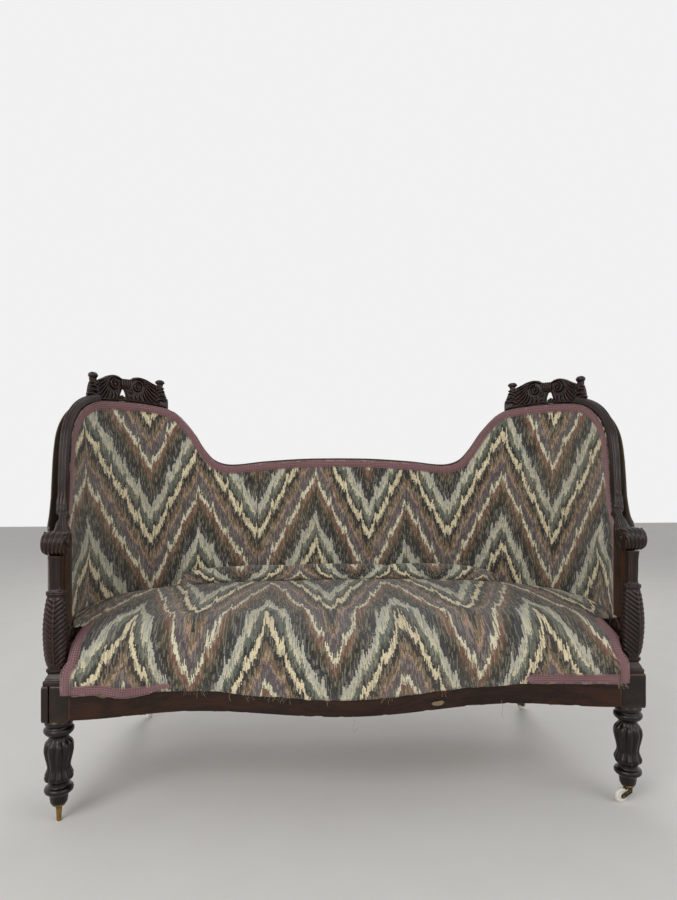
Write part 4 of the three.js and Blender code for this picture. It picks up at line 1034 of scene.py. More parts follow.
@dataclass(frozen=True)
class Cloth:
    """A plain woven stuff, such as lining, hessian, braid, webbing or matted stuffing; on the braid, shade is
    painted on the flat band between the cord loops.
    """

    name: str
    light: str
    dark: str
    pitch: float = 0.0014
    relief: float = 0.0008
    stain: float = 0.35
    sheen: float = 0.15
    corded: bool = False

    def material(self) -> bpy.types.Material:
        """Builds the finish.

        Returns:
            The finish.
        """
        made, graph, shader = new_material(self.name)
        place = object_place(graph)
        turned = graph.add("ShaderNodeMapping", {0: place, 2: (math.radians(62), math.radians(18),
                math.radians(31))})
        weave = WEAVE.place(graph, {"Place": turned.outputs[0],
                                    "Pitch": (self.pitch, self.pitch, self.pitch)})
        blotch = graph.noise(place, 9.0, 5.0, 0.65)
        fibre = graph.noise(place, 420.0, 3.0, 0.7)
        mask = graph.math("ADD", graph.math("MULTIPLY", weave.outputs["Thread"], 0.55),
                          graph.math("MULTIPLY", fibre, 0.45))
        colour = graph.mix(mask, linear(self.dark), linear(self.light))
        colour = graph.mix(graph.math("MULTIPLY", graph.span(blotch, 0.48, 0.70), self.stain), colour,
                           linear("2c2018"))
        dust = DUST.place(graph, {"Place": place, "Amount": 0.4})
        colour = graph.mix(graph.math("MULTIPLY", dust.outputs["Dust"], 0.4), colour, linear("9a8d7c"))
        if self.corded:
            # Painted shade: where the cord attribute is 0, on the flat band between the loops, the colour is
            # darkened 70% toward dark mauve.
            cord = graph.add("ShaderNodeAttribute", attribute_name="cord").outputs["Fac"]
            colour = graph.mix(cord, graph.mix(0.70, colour, linear("2a1618")), colour)
        graph.feed(shader.inputs["Base Color"], colour)
        shader.inputs["Roughness"].default_value = 0.95
        shader.inputs["Sheen Weight"].default_value = self.sheen
        normal = graph.height(weave.outputs["Height"], self.relief, 0.8)
        graph.feed(shader.inputs["Normal"], graph.height(fibre, 0.0008, 0.4, normal))
        return made


@dataclass(frozen=True)
class Metal:
    """Aged metal with tarnish in patches."""

    name: str
    bright: str
    tarnish: str
    rough: float = 0.38
    metallic: float = 0.9

    def material(self) -> bpy.types.Material:
        """Builds the finish.

        Returns:
            The finish.
        """
        made, graph, shader = new_material(self.name)
        place = object_place(graph)
        patch = graph.noise(place, 120.0, 5.0, 0.65)
        wear = WEAR.place(graph, {"Place": place, "Amount": 0.6})
        spread = graph.span(patch, 0.38, 0.62)
        colour = graph.mix(spread, linear(self.bright), linear(self.tarnish))
        colour = graph.mix(wear.outputs["Wear"], colour, linear(self.bright))
        graph.feed(shader.inputs["Base Color"], colour)
        shader.inputs["Metallic"].default_value = self.metallic
        graph.feed(shader.inputs["Roughness"], graph.math("ADD", self.rough,
                graph.math("MULTIPLY", spread, 0.25)))
        graph.feed(shader.inputs["Normal"], graph.height(patch, 0.0004, 0.4))
        return made


@dataclass(frozen=True)
class Ceramic:
    """White glazed ware with fine crazing and dirty rims."""

    name: str = "glazed_wheel"

    def material(self) -> bpy.types.Material:
        """Builds the finish.

        Returns:
            The finish.
        """
        made, graph, shader = new_material(self.name)
        place = object_place(graph)
        craze = graph.add("ShaderNodeTexVoronoi", {"Vector": place, "Scale": 260.0},
                          feature="DISTANCE_TO_EDGE")
        line = graph.span(craze.outputs[0], 0.035, 0.0)
        dirt = graph.noise(place, 90.0, 5.0, 0.6)
        colour = graph.mix(graph.math("MULTIPLY", line, 0.35), linear("e9e5da"), linear("8b7d68"))
        colour = graph.mix(graph.math("MULTIPLY", graph.span(dirt, 0.52, 0.72), 0.5), colour,
                           linear("8c8170"))
        graph.feed(shader.inputs["Base Color"], colour)
        graph.feed(shader.inputs["Roughness"], graph.math("ADD", 0.16,
                graph.math("MULTIPLY", graph.span(dirt, 0.5, 0.7), 0.35)))
        graph.feed(shader.inputs["Normal"], graph.height(line, 0.0003, 0.3))
        shader.inputs["Coat Weight"].default_value = 0.3
        return made


class Finishes:
    """Every finish of the settee, built once."""

    def __init__(self) -> None:
        """Builds the materials."""
        self.carved = Wood("carved_mahogany", "100806", "2a1610", "6b4734", wear=0.6, dust=0.05, gloss=0.22,
                           polish=0.20).material()
        self.rail = Wood("rail_mahogany", "170b06", "361c0d", "6a4124", wear=0.5, dust=0.06, gloss=0.36,
                         polish=0.06,
                         grain_turn=(0.0, math.pi / 2, 0.0)).material()
        self.leg = Wood("turned_mahogany", "0b0604", "1f110b", "55371f", wear=0.5, dust=0.03, gloss=0.18,
                        polish=0.24).material()
        self.raw = Wood("frame_wood", "4a3524", "7a5b3e", "9a7a55", wear=0.3, dust=0.6, gloss=0.62,
                        polish=0.0).material()
        self.back_flame = FlameFabric("flame_back", FlameCloth.BACK, phase=-0.0035,
                                      seams=(-0.2725, 0.233)).material()
        self.seat_flame = FlameFabric("flame_seat", FlameCloth.SEAT, phase=0.1225).material()
        # The braid's flat band gets painted shade between its cord loops.
        self.braid = Cloth("gimp_braid", "b98a8d", "774d51", 0.0011, 0.0006, 0.16, 0.3,
                           corded=True).material()
        self.lining = Cloth("outside_lining", "7c6852", "4e3e2f", 0.0012, 0.0006, 0.4).material()
        self.stuffing = Cloth("matted_stuffing", "6b5540", "2b2018", 0.0026, 0.0015, 0.5, 0.05).material()
        self.hessian = Cloth("hessian", "b39b72", "7a6444", 0.0020, 0.0012, 0.3).material()
        self.webbing = Cloth("webbing", "ad9468", "77603f", 0.0018, 0.0010, 0.3).material()
        self.thread = Cloth("loose_thread", "b6a88e", "8a7960", 0.0006, 0.0003, 0.2).material()
        self.brass = Metal("aged_brass", "9a7a44", "3e2f1c").material()
        self.horn = Metal("dark_horn", "5e4d34", "251d14", 0.45).material()
        self.steel = Metal("spring_steel", "6d655c", "3c3129", 0.42).material()
        self.tack = Metal("tack_heads", "b3a183", "6a5a44", 0.45, 0.8).material()
        self.ceramic = Ceramic().material()


def dress(piece: bpy.types.Object, material: bpy.types.Material) -> bpy.types.Object:
    """Gives the piece its one material.

    Args:
        piece: The mesh object that is worked on.
        material: The finish.

    Returns:
        The piece.
    """
    piece.data.materials.clear()
    piece.data.materials.append(material)
    return piece


def fit(piece: bpy.types.Object, slot: str, *nodes: str, body: str = ROOT_BODY) -> bpy.types.Object:
    """Makes the piece ride on its body and stand for its CAD nodes.

    Args:
        piece: The mesh object that is worked on.
        slot: Not used.
        body: The body that the piece rides on.

    Returns:
        The piece.
    """
    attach(piece, body)
    if nodes:
        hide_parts(*nodes)
    return piece


# Camera, floor and light


@dataclass
class Studio:
    """The photograph's view, a plain pale floor and soft light."""

    eye: tuple[float, float, float] = (-0.138, -1.620 + FRONT_Y, 0.907)
    turn_right: float = 3.62
    focal: float = 25.6
    shift: float = 10 / 900
    floor_size: float = 14.0

    def camera(self) -> None:
        """Places the camera."""
        lens = bpy.data.cameras.new("view")
        lens.lens = self.focal
        lens.sensor_width = 36.0
        lens.shift_y = self.shift
        lens.clip_end = 60.0
        camera = bpy.data.objects.new("view", lens)
        camera.location = self.eye
        camera.rotation_euler = (math.pi / 2, 0.0, -math.radians(self.turn_right))
        bpy.context.collection.objects.link(camera)
        bpy.context.scene.camera = camera

    def floor(self) -> None:
        """Lays the floor, which keeps the settee's shadow."""
        h = self.floor_size / 2
        verts = np.array([[-h, -h, 0], [h, -h, 0], [h, h, 0], [-h, h, 0]])
        floor = mesh_object("floor", verts, [[0, 1, 2, 3]], smooth=False)
        made, graph, shader = new_material("pale_floor")
        speckle = graph.noise(object_place(graph), 6.0, 5.0)
        graph.feed(shader.inputs["Base Color"], graph.mix(speckle, linear("e2e0dc"), linear("eae8e4")))
        shader.inputs["Roughness"].default_value = 0.8
        dress(floor, made)
        floor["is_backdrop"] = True

    def lamp(self, name: str, place: tuple, size: float, power: float) -> None:
        """Adds a soft lamp that faces the middle of the settee.

        Args:
            name: The name that the new piece or group gets.
            place: Where it stands or is looked up.
            size: Side of the lamp.
            power: Power, in watts.
        """
        light = bpy.data.lights.new(name, "AREA")
        light.size = size
        light.energy = power
        lamp = bpy.data.objects.new(name, light)
        lamp.location = place
        aim = Vector((0.0, 0.0, 0.6)) - Vector(place)
        lamp.rotation_euler = aim.to_track_quat("-Z", "Y").to_euler()
        bpy.context.collection.objects.link(lamp)

    def light(self) -> None:
        """Sets the world and the lamps."""
        world = bpy.data.worlds.new("soft_room")
        bpy.context.scene.world = world
        world.use_nodes = True
        graph = Graph(world.node_tree)
        backdrop = world.node_tree.nodes["Background"]
        rays = graph.add("ShaderNodeLightPath")
        seen = graph.math("MAXIMUM", rays.outputs["Is Camera Ray"], rays.outputs["Is Glossy Ray"])
        seen = graph.math("MAXIMUM", seen, rays.outputs["Is Transmission Ray"])
        graph.feed(backdrop.inputs["Color"], (0.93, 0.93, 0.93, 1.0))
        graph.feed(backdrop.inputs["Strength"], graph.add("ShaderNodeMix", {0: seen, 2: 0.43, 3: 0.95},
                data_type="FLOAT").outputs[0])
        self.lamp("key", (-1.9, -2.9, 2.5), 2.2, 64.0)
        self.lamp("fill", (2.6, -2.4, 1.9), 2.4, 26.0)
        self.lamp("back", (0.4, 2.6, 2.6), 2.2, 30.0)
        bpy.context.scene.view_settings.view_transform = "Standard"

    def build(self) -> None:
        """Sets up the camera first, then the floor and the light."""
        self.camera()
        self.floor()
        self.light()


# Seat frame and legs


def node_copy(node: str, name: str, bevel: float, segments: int = 2) -> bpy.types.Object:
    """A copy of a CAD node's mesh, with its corners merged and rounded.

    Args:
        node: The CAD node's name.
        name: The name that the new piece or group gets.
        bevel: Width of the rounded edges.
        segments: Rows of faces round each edge.

    Returns:
        The piece.
    """
    source = frame["nodes"][node] if isinstance(frame["nodes"], dict) else bpy.data.objects[node]
    piece = bpy.data.objects.new(name, source.data.copy())
    bpy.context.collection.objects.link(piece)
    tidy_normals(piece, 1e-5)
    if bevel:
        bevelled(piece, bevel, segments)
    return piece


def lathe(profile: Array, segments: int, centre: Sequence[float], axis: Sequence[float] = (0.0, 0.0, 1.0),
          lobes: int = 0, depth: Array | None = None) -> Array:
    """Rings of a turned form.

    Args:
        profile: rows of radius and place along the axis.
        segments: points in each ring.
        centre: where the axis starts.
        axis: the turning axis.
        lobes: how many lobes are carved round it.
        depth: how deep the lobes are at each row.

    Returns:
        The rings, for Solid.loft.
    """
    axis = np.asarray(axis, dtype=float) / np.linalg.norm(axis)
    guide = np.array([1.0, 0.0, 0.0]) if abs(axis[2]) > 0.9 else np.array([0.0, 0.0, 1.0])
    across = unit(guide - axis * float(guide @ axis))
    up = np.cross(axis, across)
    angle = np.linspace(0.0, 2 * math.pi, segments, endpoint=False)
    groove = 1.0 - np.abs(np.cos(lobes * angle / 2)) ** 0.8 if lobes else np.zeros(segments)
    rings = []
    for row, (radius, along) in enumerate(profile):
        r = radius - (0.0 if depth is None else depth[row]) * groove
        ring = np.asarray(centre) + along * axis + r[:, None] * (np.cos(angle)[:,
                None] * across + np.sin(angle)[:, None] * up)
        rings.append(ring)
    return np.array(rings)


@dataclass
class FrontLeg:
    """A square block over a turned leg with a lobed vase, and the split block at the left."""

    leg_height: float = 0.258
    foot: float = 0.0465
    block: float = 0.065
    block_top: float = 0.347
    leg_x: float = 0.7385
    strip: float = 0.017
    split: float = 0.0028
    lobes: int = 10

    def profile(self) -> Array:
        """Rows of radius, height and lobe depth, from the cup to the block.

        Returns:
            The rows.
        """
        f, top = self.foot, self.leg_height
        rows = np.array([
            [.0112, f - .0028, 0], [.0113, f, 0], [.0190, f + .0002, 0], [.0215, f + .010, 0],
                         [.0232, f + .022, 0],
            [.0262, f + .026, 0], [.0325, f + .029, 0], [.0350, f + .035, 0], [.0330, f + .041, 0],
            [.0262, f + .045, 0], [.0250, f + .050, 0], [.0262, f + .055, .001], [.0328, f + .060, .004],
            [.0355, f + .069, .006], [.0322, f + .078, .005], [.0284, f + .089, .0035],
                         [.0295, f + .101, .004],
            [.0340, f + .120, .0055], [.0365, f + .136, .0062], [.0342, f + .150, .0055],
                         [.0256, f + .161, .002],
            [.0232, f + .168, 0], [.0250, top - .041, 0], [.0300, top - .038, 0], [.0358, top - .031, 0],
            [.0360, top - .024, 0], [.0302, top - .017, 0], [.0326, top - .013, 0], [.0345, top - .008, 0],
            [.0325, top - .001, 0], [.0300, top + .002, 0],
        ])
        fine = catmull_rom(rows, 6)
        fine[:, 2] = np.maximum(fine[:, 2], 0.0)
        return fine

    def build(self, side: Side) -> bpy.types.Object:
        """Makes the leg and its block.

        Args:
            side: The end of the settee.

        Returns:
            The piece.
        """
        x = side.value * self.leg_x
        y = FRONT_Y + self.block / 2
        work = Solid()
        rows = self.profile()
        work.loft(lathe(rows[:, :2], 120, (x, y, 0.0), lobes=self.lobes, depth=rows[:, 2]))
        half = self.block / 2
        if side is Side.RIGHT:
            spans = [(x - half, x + half)]
        else:
            edge = x - half + self.strip
            spans = [(x - half, edge), (edge + self.split, x + half)]
        for low, high in spans:
            levels = np.linspace(self.leg_height, self.block_top, 22)
            rings = []
            for z in levels:
                pinch = 0.0014 * min(1.0, 3 * min(z - levels[0], levels[-1] - z) / 0.02 + 0.15)
                flat = rounded_box(high - low - 2 * (0.0014 - pinch), self.block - 2 * (0.0014 - pinch),
                                   0.0014, 3)
                rings.append(np.column_stack([flat[:, 0] + (low + high) / 2, flat[:, 1] + y,
                                              np.full(len(flat), z)]))
            work.loft(np.array(rings))
        piece = work.build(f"leg_and_block_{side.word}")
        return bevelled(piece, 0.0006, 1, 50)


@dataclass
class SeatWood:
    """Rails, back legs, stiles and plinths."""

    finishes: Finishes
    plinth_size: float = 0.058
    plinth_bottom: float = 0.3473
    plinth_height: float = 0.041
    rail_chip: float = 0.0016

    def front_rail(self) -> bpy.types.Object:
        """Serpentine front rail, with soft edges, small dents and chips along its lower edge.

        Returns:
            The piece.
        """
        reach = SEAT_FRAME.inner_face - 2 * GAP
        across = np.linspace(-reach, reach, 260)
        depth, height = SEAT_FRAME.thickness, SEAT_FRAME.rail_top - SEAT_FRAME.rail_bottom
        flat = rounded_box(depth, height, 0.0022, 4)
        extra = np.linspace(-0.5, 0.5, 9)[1:-1] * height
        front = [np.array([-depth / 2, z]) for z in extra]
        corner = len(flat) // 2
        flat = np.vstack([flat[:corner], front[::-1], flat[corner:]])
        rings = []
        for x in across:
            middle = float(SEAT_FRAME.front(x)) + depth / 2 + FRONT_Y
            z = (SEAT_FRAME.rail_top + SEAT_FRAME.rail_bottom) / 2
            rings.append(np.column_stack([np.full(len(flat), x), flat[:, 0] + middle, flat[:, 1] + z]))
        rings = np.array(rings)
        places = rings.reshape(-1, 3)
        low = smoothstep(places[:, 2], SEAT_FRAME.rail_bottom + 0.012, SEAT_FRAME.rail_bottom)
        chips = low * smoothstep(noise(places, 0.016, 3), 0.25, 0.75) * self.rail_chip
        places[:, 1] += np.where(places[:, 1] < places[:, 1].mean() + 1, chips, 0.0)
        places[:, 2] += chips * 0.8
        work = Solid()
        work.loft(rings)
        return work.build("serpentine_rail")

    def plinth(self, side: Side) -> bpy.types.Object:
        """Moulded plinth under an arm support.

        Args:
            side: The end of the settee.

        Returns:
            The piece.
        """
        half = self.plinth_size / 2
        x, y = side.value * 0.7385, FRONT_Y + 0.0315
        profile = catmull_rom(np.array([
            [0, 0], [0, .0005], [0, .011], [-.0006, .0118], [-.0024, .0125], [-.0034, .0145], [-.0048, .019],
            [-.0088, .026], [-.0092, .0285], [-.0078, .031], [-.0062, .0335], [-.006, .035],
                                        [-.006, self.plinth_height],
        ]), 4)
        rings = []
        for inset, height in profile:
            size = 2 * (half + inset)
            flat = rounded_box(size, size, 0.0012, 3)
            rings.append(np.column_stack([flat[:, 0] + x, flat[:, 1] + y,
                                          np.full(len(flat), self.plinth_bottom + height)]))
        work = Solid()
        work.loft(np.array(rings))
        return bevelled(work.build(f"moulded_plinth_{side.word}"), 0.0006, 1, 50)

    def top_rail(self, name: str, low: float, high: float) -> bpy.types.Object:
        """Thumb-moulded rail along the top of the back.

        Args:
            name: The name that the new piece or group gets.
            low: The lower end.
            high: The upper end.

        Returns:
            The piece.
        """
        steps = int((high - low) / 0.006)
        along = np.linspace(low, high, steps)
        flat = rounded_box(0.026, 0.036, 0.0065, 5)
        flat[:, 1] = np.where(flat[:, 1] < 0, flat[:, 1], flat[:, 1] - 0.0005)
        rings = [PLAN.place(s, 0.0338 + flat[:, 0], float(PLAN.top(s)) + 0.007 - 0.018 + flat[:,
                1]) for s in along]
        work = Solid()
        work.loft(np.array(rings))
        return work.build(name)

    def build(self) -> None:
        """Makes and dresses the frame's pieces."""
        finish = self.finishes
        for side in Side:
            nodes = [f"front_leg_{side.word}"] + (["block_split_strip_left"] if side is Side.LEFT else [])
            fit(dress(FrontLeg().build(side), finish.leg), "mahogany", *nodes)
            fit(dress(self.plinth(side), finish.carved), "mahogany", f"support_plinth_{side.word}")
        fit(dress(self.front_rail(), finish.rail), "mahogany", "front_rail")
        fit(dress(self.top_rail("top_rail_moulded", -0.372, 0.372), finish.rail), "mahogany",
            "top_rail_centre")
        hump_end = PLAN.wing - 0.160
        for side in Side:
            ends = (0.3723, hump_end) if side is Side.RIGHT else (-hump_end, -0.3723)
            fit(dress(self.top_rail(f"hump_rail_moulded_{side.word}", *ends), finish.rail), "mahogany",
                f"hump_rail_{side.word}")
            for node, wood, bevel in (("back_leg", finish.leg, 0.0025), ("side_rail", finish.raw, 0.0012),
                                      ("back_stile", finish.raw, 0.0012)):
                piece = node_copy(f"{node}_{side.word}", f"{node}_rounded_{side.word}", bevel)
                fit(dress(piece, wood), "mahogany", f"{node}_{side.word}")
        fit(dress(node_copy("back_rail", "back_rail_rounded", 0.0012), finish.raw), "mahogany", "back_rail")


# Carved work


def fused(solid: Solid, name: str, voxel: float, smooth: int = 2) -> bpy.types.Object:
    """Joins a solid's parts into one skin, with soft inside corners.

    Args:
        solid: The parts that are joined.
        name: The name that the new piece or group gets.
        voxel: Size of the cells that the skin is made from.
        smooth: How far the surface is relaxed, or whether it is shaded smooth.

    Returns:
        The piece.
    """
    piece = solid.build(name)
    remesh = piece.modifiers.new("fuse", "REMESH")
    remesh.mode = "VOXEL"
    remesh.voxel_size = voxel
    remesh.use_smooth_shade = True
    if smooth:
        soft = piece.modifiers.new("soften", "SMOOTH")
        soft.factor = 0.5
        soft.iterations = smooth
    apply_modifiers(piece)
    for polygon in piece.data.polygons:
        polygon.use_smooth = True
    return piece


def normals_of(piece: bpy.types.Object) -> Array:
    """Each vertex's outward direction.

    Args:
        piece: The mesh object that is worked on.

    Returns:
        The directions, one row each.
    """
    flat = np.empty(len(piece.data.vertices) * 3)
    piece.data.vertices.foreach_get("normal", flat)
    return flat.reshape(-1, 3)


def carve(piece: bpy.types.Object, depth: Callable[[Array, Array], Array]) -> None:
    """Sinks the skin along its normals by a depth that the cutter gives for each place."""
    places, normals = points_of(piece), normals_of(piece)
    move_points(piece, places - normals * depth(places, normals)[:, None])


def spiral(centre: Sequence[float], start: float, end: float, from_angle: float, turns: float,
           count: int = 60) -> Array:
    """A flat spiral from its outer radius to its inner one.

    Args:
        centre: Middle of the spiral.
        start: Radius at its outer end.
        end: Radius at its inner end.
        from_angle: Angle of the outer end, in radians.
        turns: Turns to the inner end.
        count: Number of points.

    Returns:
        Rows of the two coordinates in its plane.
    """
    share = np.linspace(0.0, 1.0, count)
    radius = start * (end / start) ** share
    angle = from_angle + 2 * math.pi * turns * share
    return np.column_stack([centre[0] + radius * np.cos(angle), centre[1] + radius * np.sin(angle)])


@dataclass
class ArmSupport:
    """Leaf-carved support with a collar, a neck and a curled rear volute."""

    side: Side
    leg_x: float = 0.7385
    centre_y: float = 0.016
    bottom: float = 0.3886
    leaf_height: float = 0.182
    collar: float = 0.013
    neck_height: float = 0.086
    rib_shift: float = 0.0

    def section(self, width: float, depth: float, y: float, z: float) -> Array:
        """A soft-cornered outline at one height."""
        flat = rounded_box(width, depth, min(width, depth) * 0.34, 5)
        return np.column_stack([flat[:, 0] + self.leg_x, flat[:, 1] + y + FRONT_Y, np.full(len(flat), z)])

    def body(self) -> Array:
        """Rings of the leaf, collar and neck.

        Returns:
            The rings.
        """
        c, b = self.centre_y, self.bottom
        top = b + self.leaf_height
        neck = top + self.collar
        end = neck + self.neck_height
        rows = np.array([
            [.040, .038, c + .006, b], [.047, .042, c + .004, b + .014], [.052, .045, c + .001, b + .034],
            [.055, .046, c - .002, b + .062], [.0555, .043, c - .005, b + .094],
                         [.052, .037, c - .005, b + .134],
            [.046, .031, c - .003, b + .164], [.042, .028, c - .001, top - .003], [.043, .029, c - .001, top],
            [.047, .033, c - .001, top + .003], [.0475, .0335, c - .001, top + .0065],
                         [.047, .033, c - .001, neck - .003],
            [.034, .028, c - .001, neck], [.0305, .0265, c - .001, neck + .008],
                         [.031, .027, c - .002, neck + .035],
            [.0305, .027, c - .003, end - .024], [.035, .030, c - .004, end - .0005],
        ])
        fine = catmull_rom(rows, 5)
        return np.array([self.section(*row) for row in fine])

    def veins(self, places: Array, normals: Array) -> Array:
        """Depth of the leaf's rib, veins and scalloped rim, and of the flutes round the collar.

        Args:
            places: Vertices, one row each, in the object's frame.
            normals: Each vertex's outward direction.

        Returns:
            The depth at each vertex.
        """
        x = places[:, 0] - self.leg_x - self.rib_shift
        z = places[:, 2] - self.bottom
        y = places[:, 1] - FRONT_Y
        top = self.leaf_height
        on_leaf = smoothstep(z, 0.004, 0.016) * smoothstep(z, top - 0.002, top - 0.012)
        facing = smoothstep(-normals[:, 1], -0.25, 0.35) * smoothstep(y, 0.040, 0.030)
        reach = np.abs(x)
        run = z - 0.75 * reach
        pitch = 0.0125
        wave = np.abs(((run / pitch) % 1.0) - 0.5) * 2
        vein = 0.0032 * smoothstep(wave, 0.66, 1.0)
        hump = -0.0012 * np.sin(np.pi * ((run / pitch) % 1.0))
        groove = 0.0026 * (smoothstep(reach, 0.0020, 0.0032) - smoothstep(reach, 0.0034, 0.0052))
        rib = -0.0012 * smoothstep(reach, 0.0026, 0.0012)
        depth = on_leaf * facing * (vein * smoothstep(reach, 0.0028, 0.0046) + hump + groove + rib)
        neck = (z > top + self.collar + 0.002) & (z < top + self.collar + self.neck_height - 0.004)
        flute = 0.0016 * smoothstep(np.abs(places[:, 0] - self.leg_x), 0.0055, 0.0015)
        line = 0.0012 * smoothstep(np.abs(np.abs(places[:, 0] - self.leg_x) - 0.0095), 0.0018, 0.0004)
        depth += np.where(neck, (flute + line) * smoothstep(-normals[:, 1], 0.2, 0.8), 0.0)
        collar = (z > top) & (z < top + self.collar)
        depth += np.where(collar, 0.0011 * smoothstep(np.abs(z - top - self.collar / 2), 0.0016, 0.0004), 0.0)
        return depth

    def build(self) -> bpy.types.Object:
        """Makes the support.

        Returns:
            The piece.
        """
        work = Solid()
        work.loft(self.body())
        c, b = self.centre_y + FRONT_Y, self.bottom
        inner = self.leg_x - 0.003
        count = 40
        curl = spiral((c + 0.044, b + 0.068), 0.0255, 0.009, math.pi * 1.05, -1.25, 70)
        path = np.column_stack([np.full(len(curl), inner), curl])
        flat = rounded_box(0.044, 0.0090, 0.0035, 3)
        tangent = unit(np.gradient(path, axis=0))
        across = np.array([1.0, 0.0, 0.0])
        out = unit(np.cross(tangent, across))
        taper = np.linspace(1.0, 0.75, len(path))
        rings = [p + flat[:, :1] * across + flat[:, 1:] * t * o for p, o, t in zip(path, out, taper)]
        work.loft(np.array(rings))
        drum = np.array([[0.0001, -0.021], [0.0185, -0.021], [0.0185, 0.021], [0.0001, 0.021]])
        work.loft(lathe(drum, count, (inner, c + 0.044, b + 0.068), (1, 0, 0)))
        eye = np.array([[0.0001, -0.0242], [0.004, -0.0240], [0.0075, -0.0225], [0.0085, -0.0200],
                        [0.0085, 0.0], [0.0001, 0.0]])
        work.loft(lathe(eye, count, (inner, c + 0.044, b + 0.068), (1, 0, 0)))
        bridge = [[-0.021, 0.0], [0.015, 0.0], [0.015, 0.030], [-0.021, 0.030]]
        bridge_rings = [
            np.array([[self.leg_x + bx, c + by, b + z] for bx, by in bridge]) for z in (0.047, 0.062, 0.077)
        ]
        work.loft(np.array(bridge_rings))
        piece = fused(work, f"leaf_support_{self.side.word}", 0.00125, 2)
        carve(piece, self.veins)
        return piece


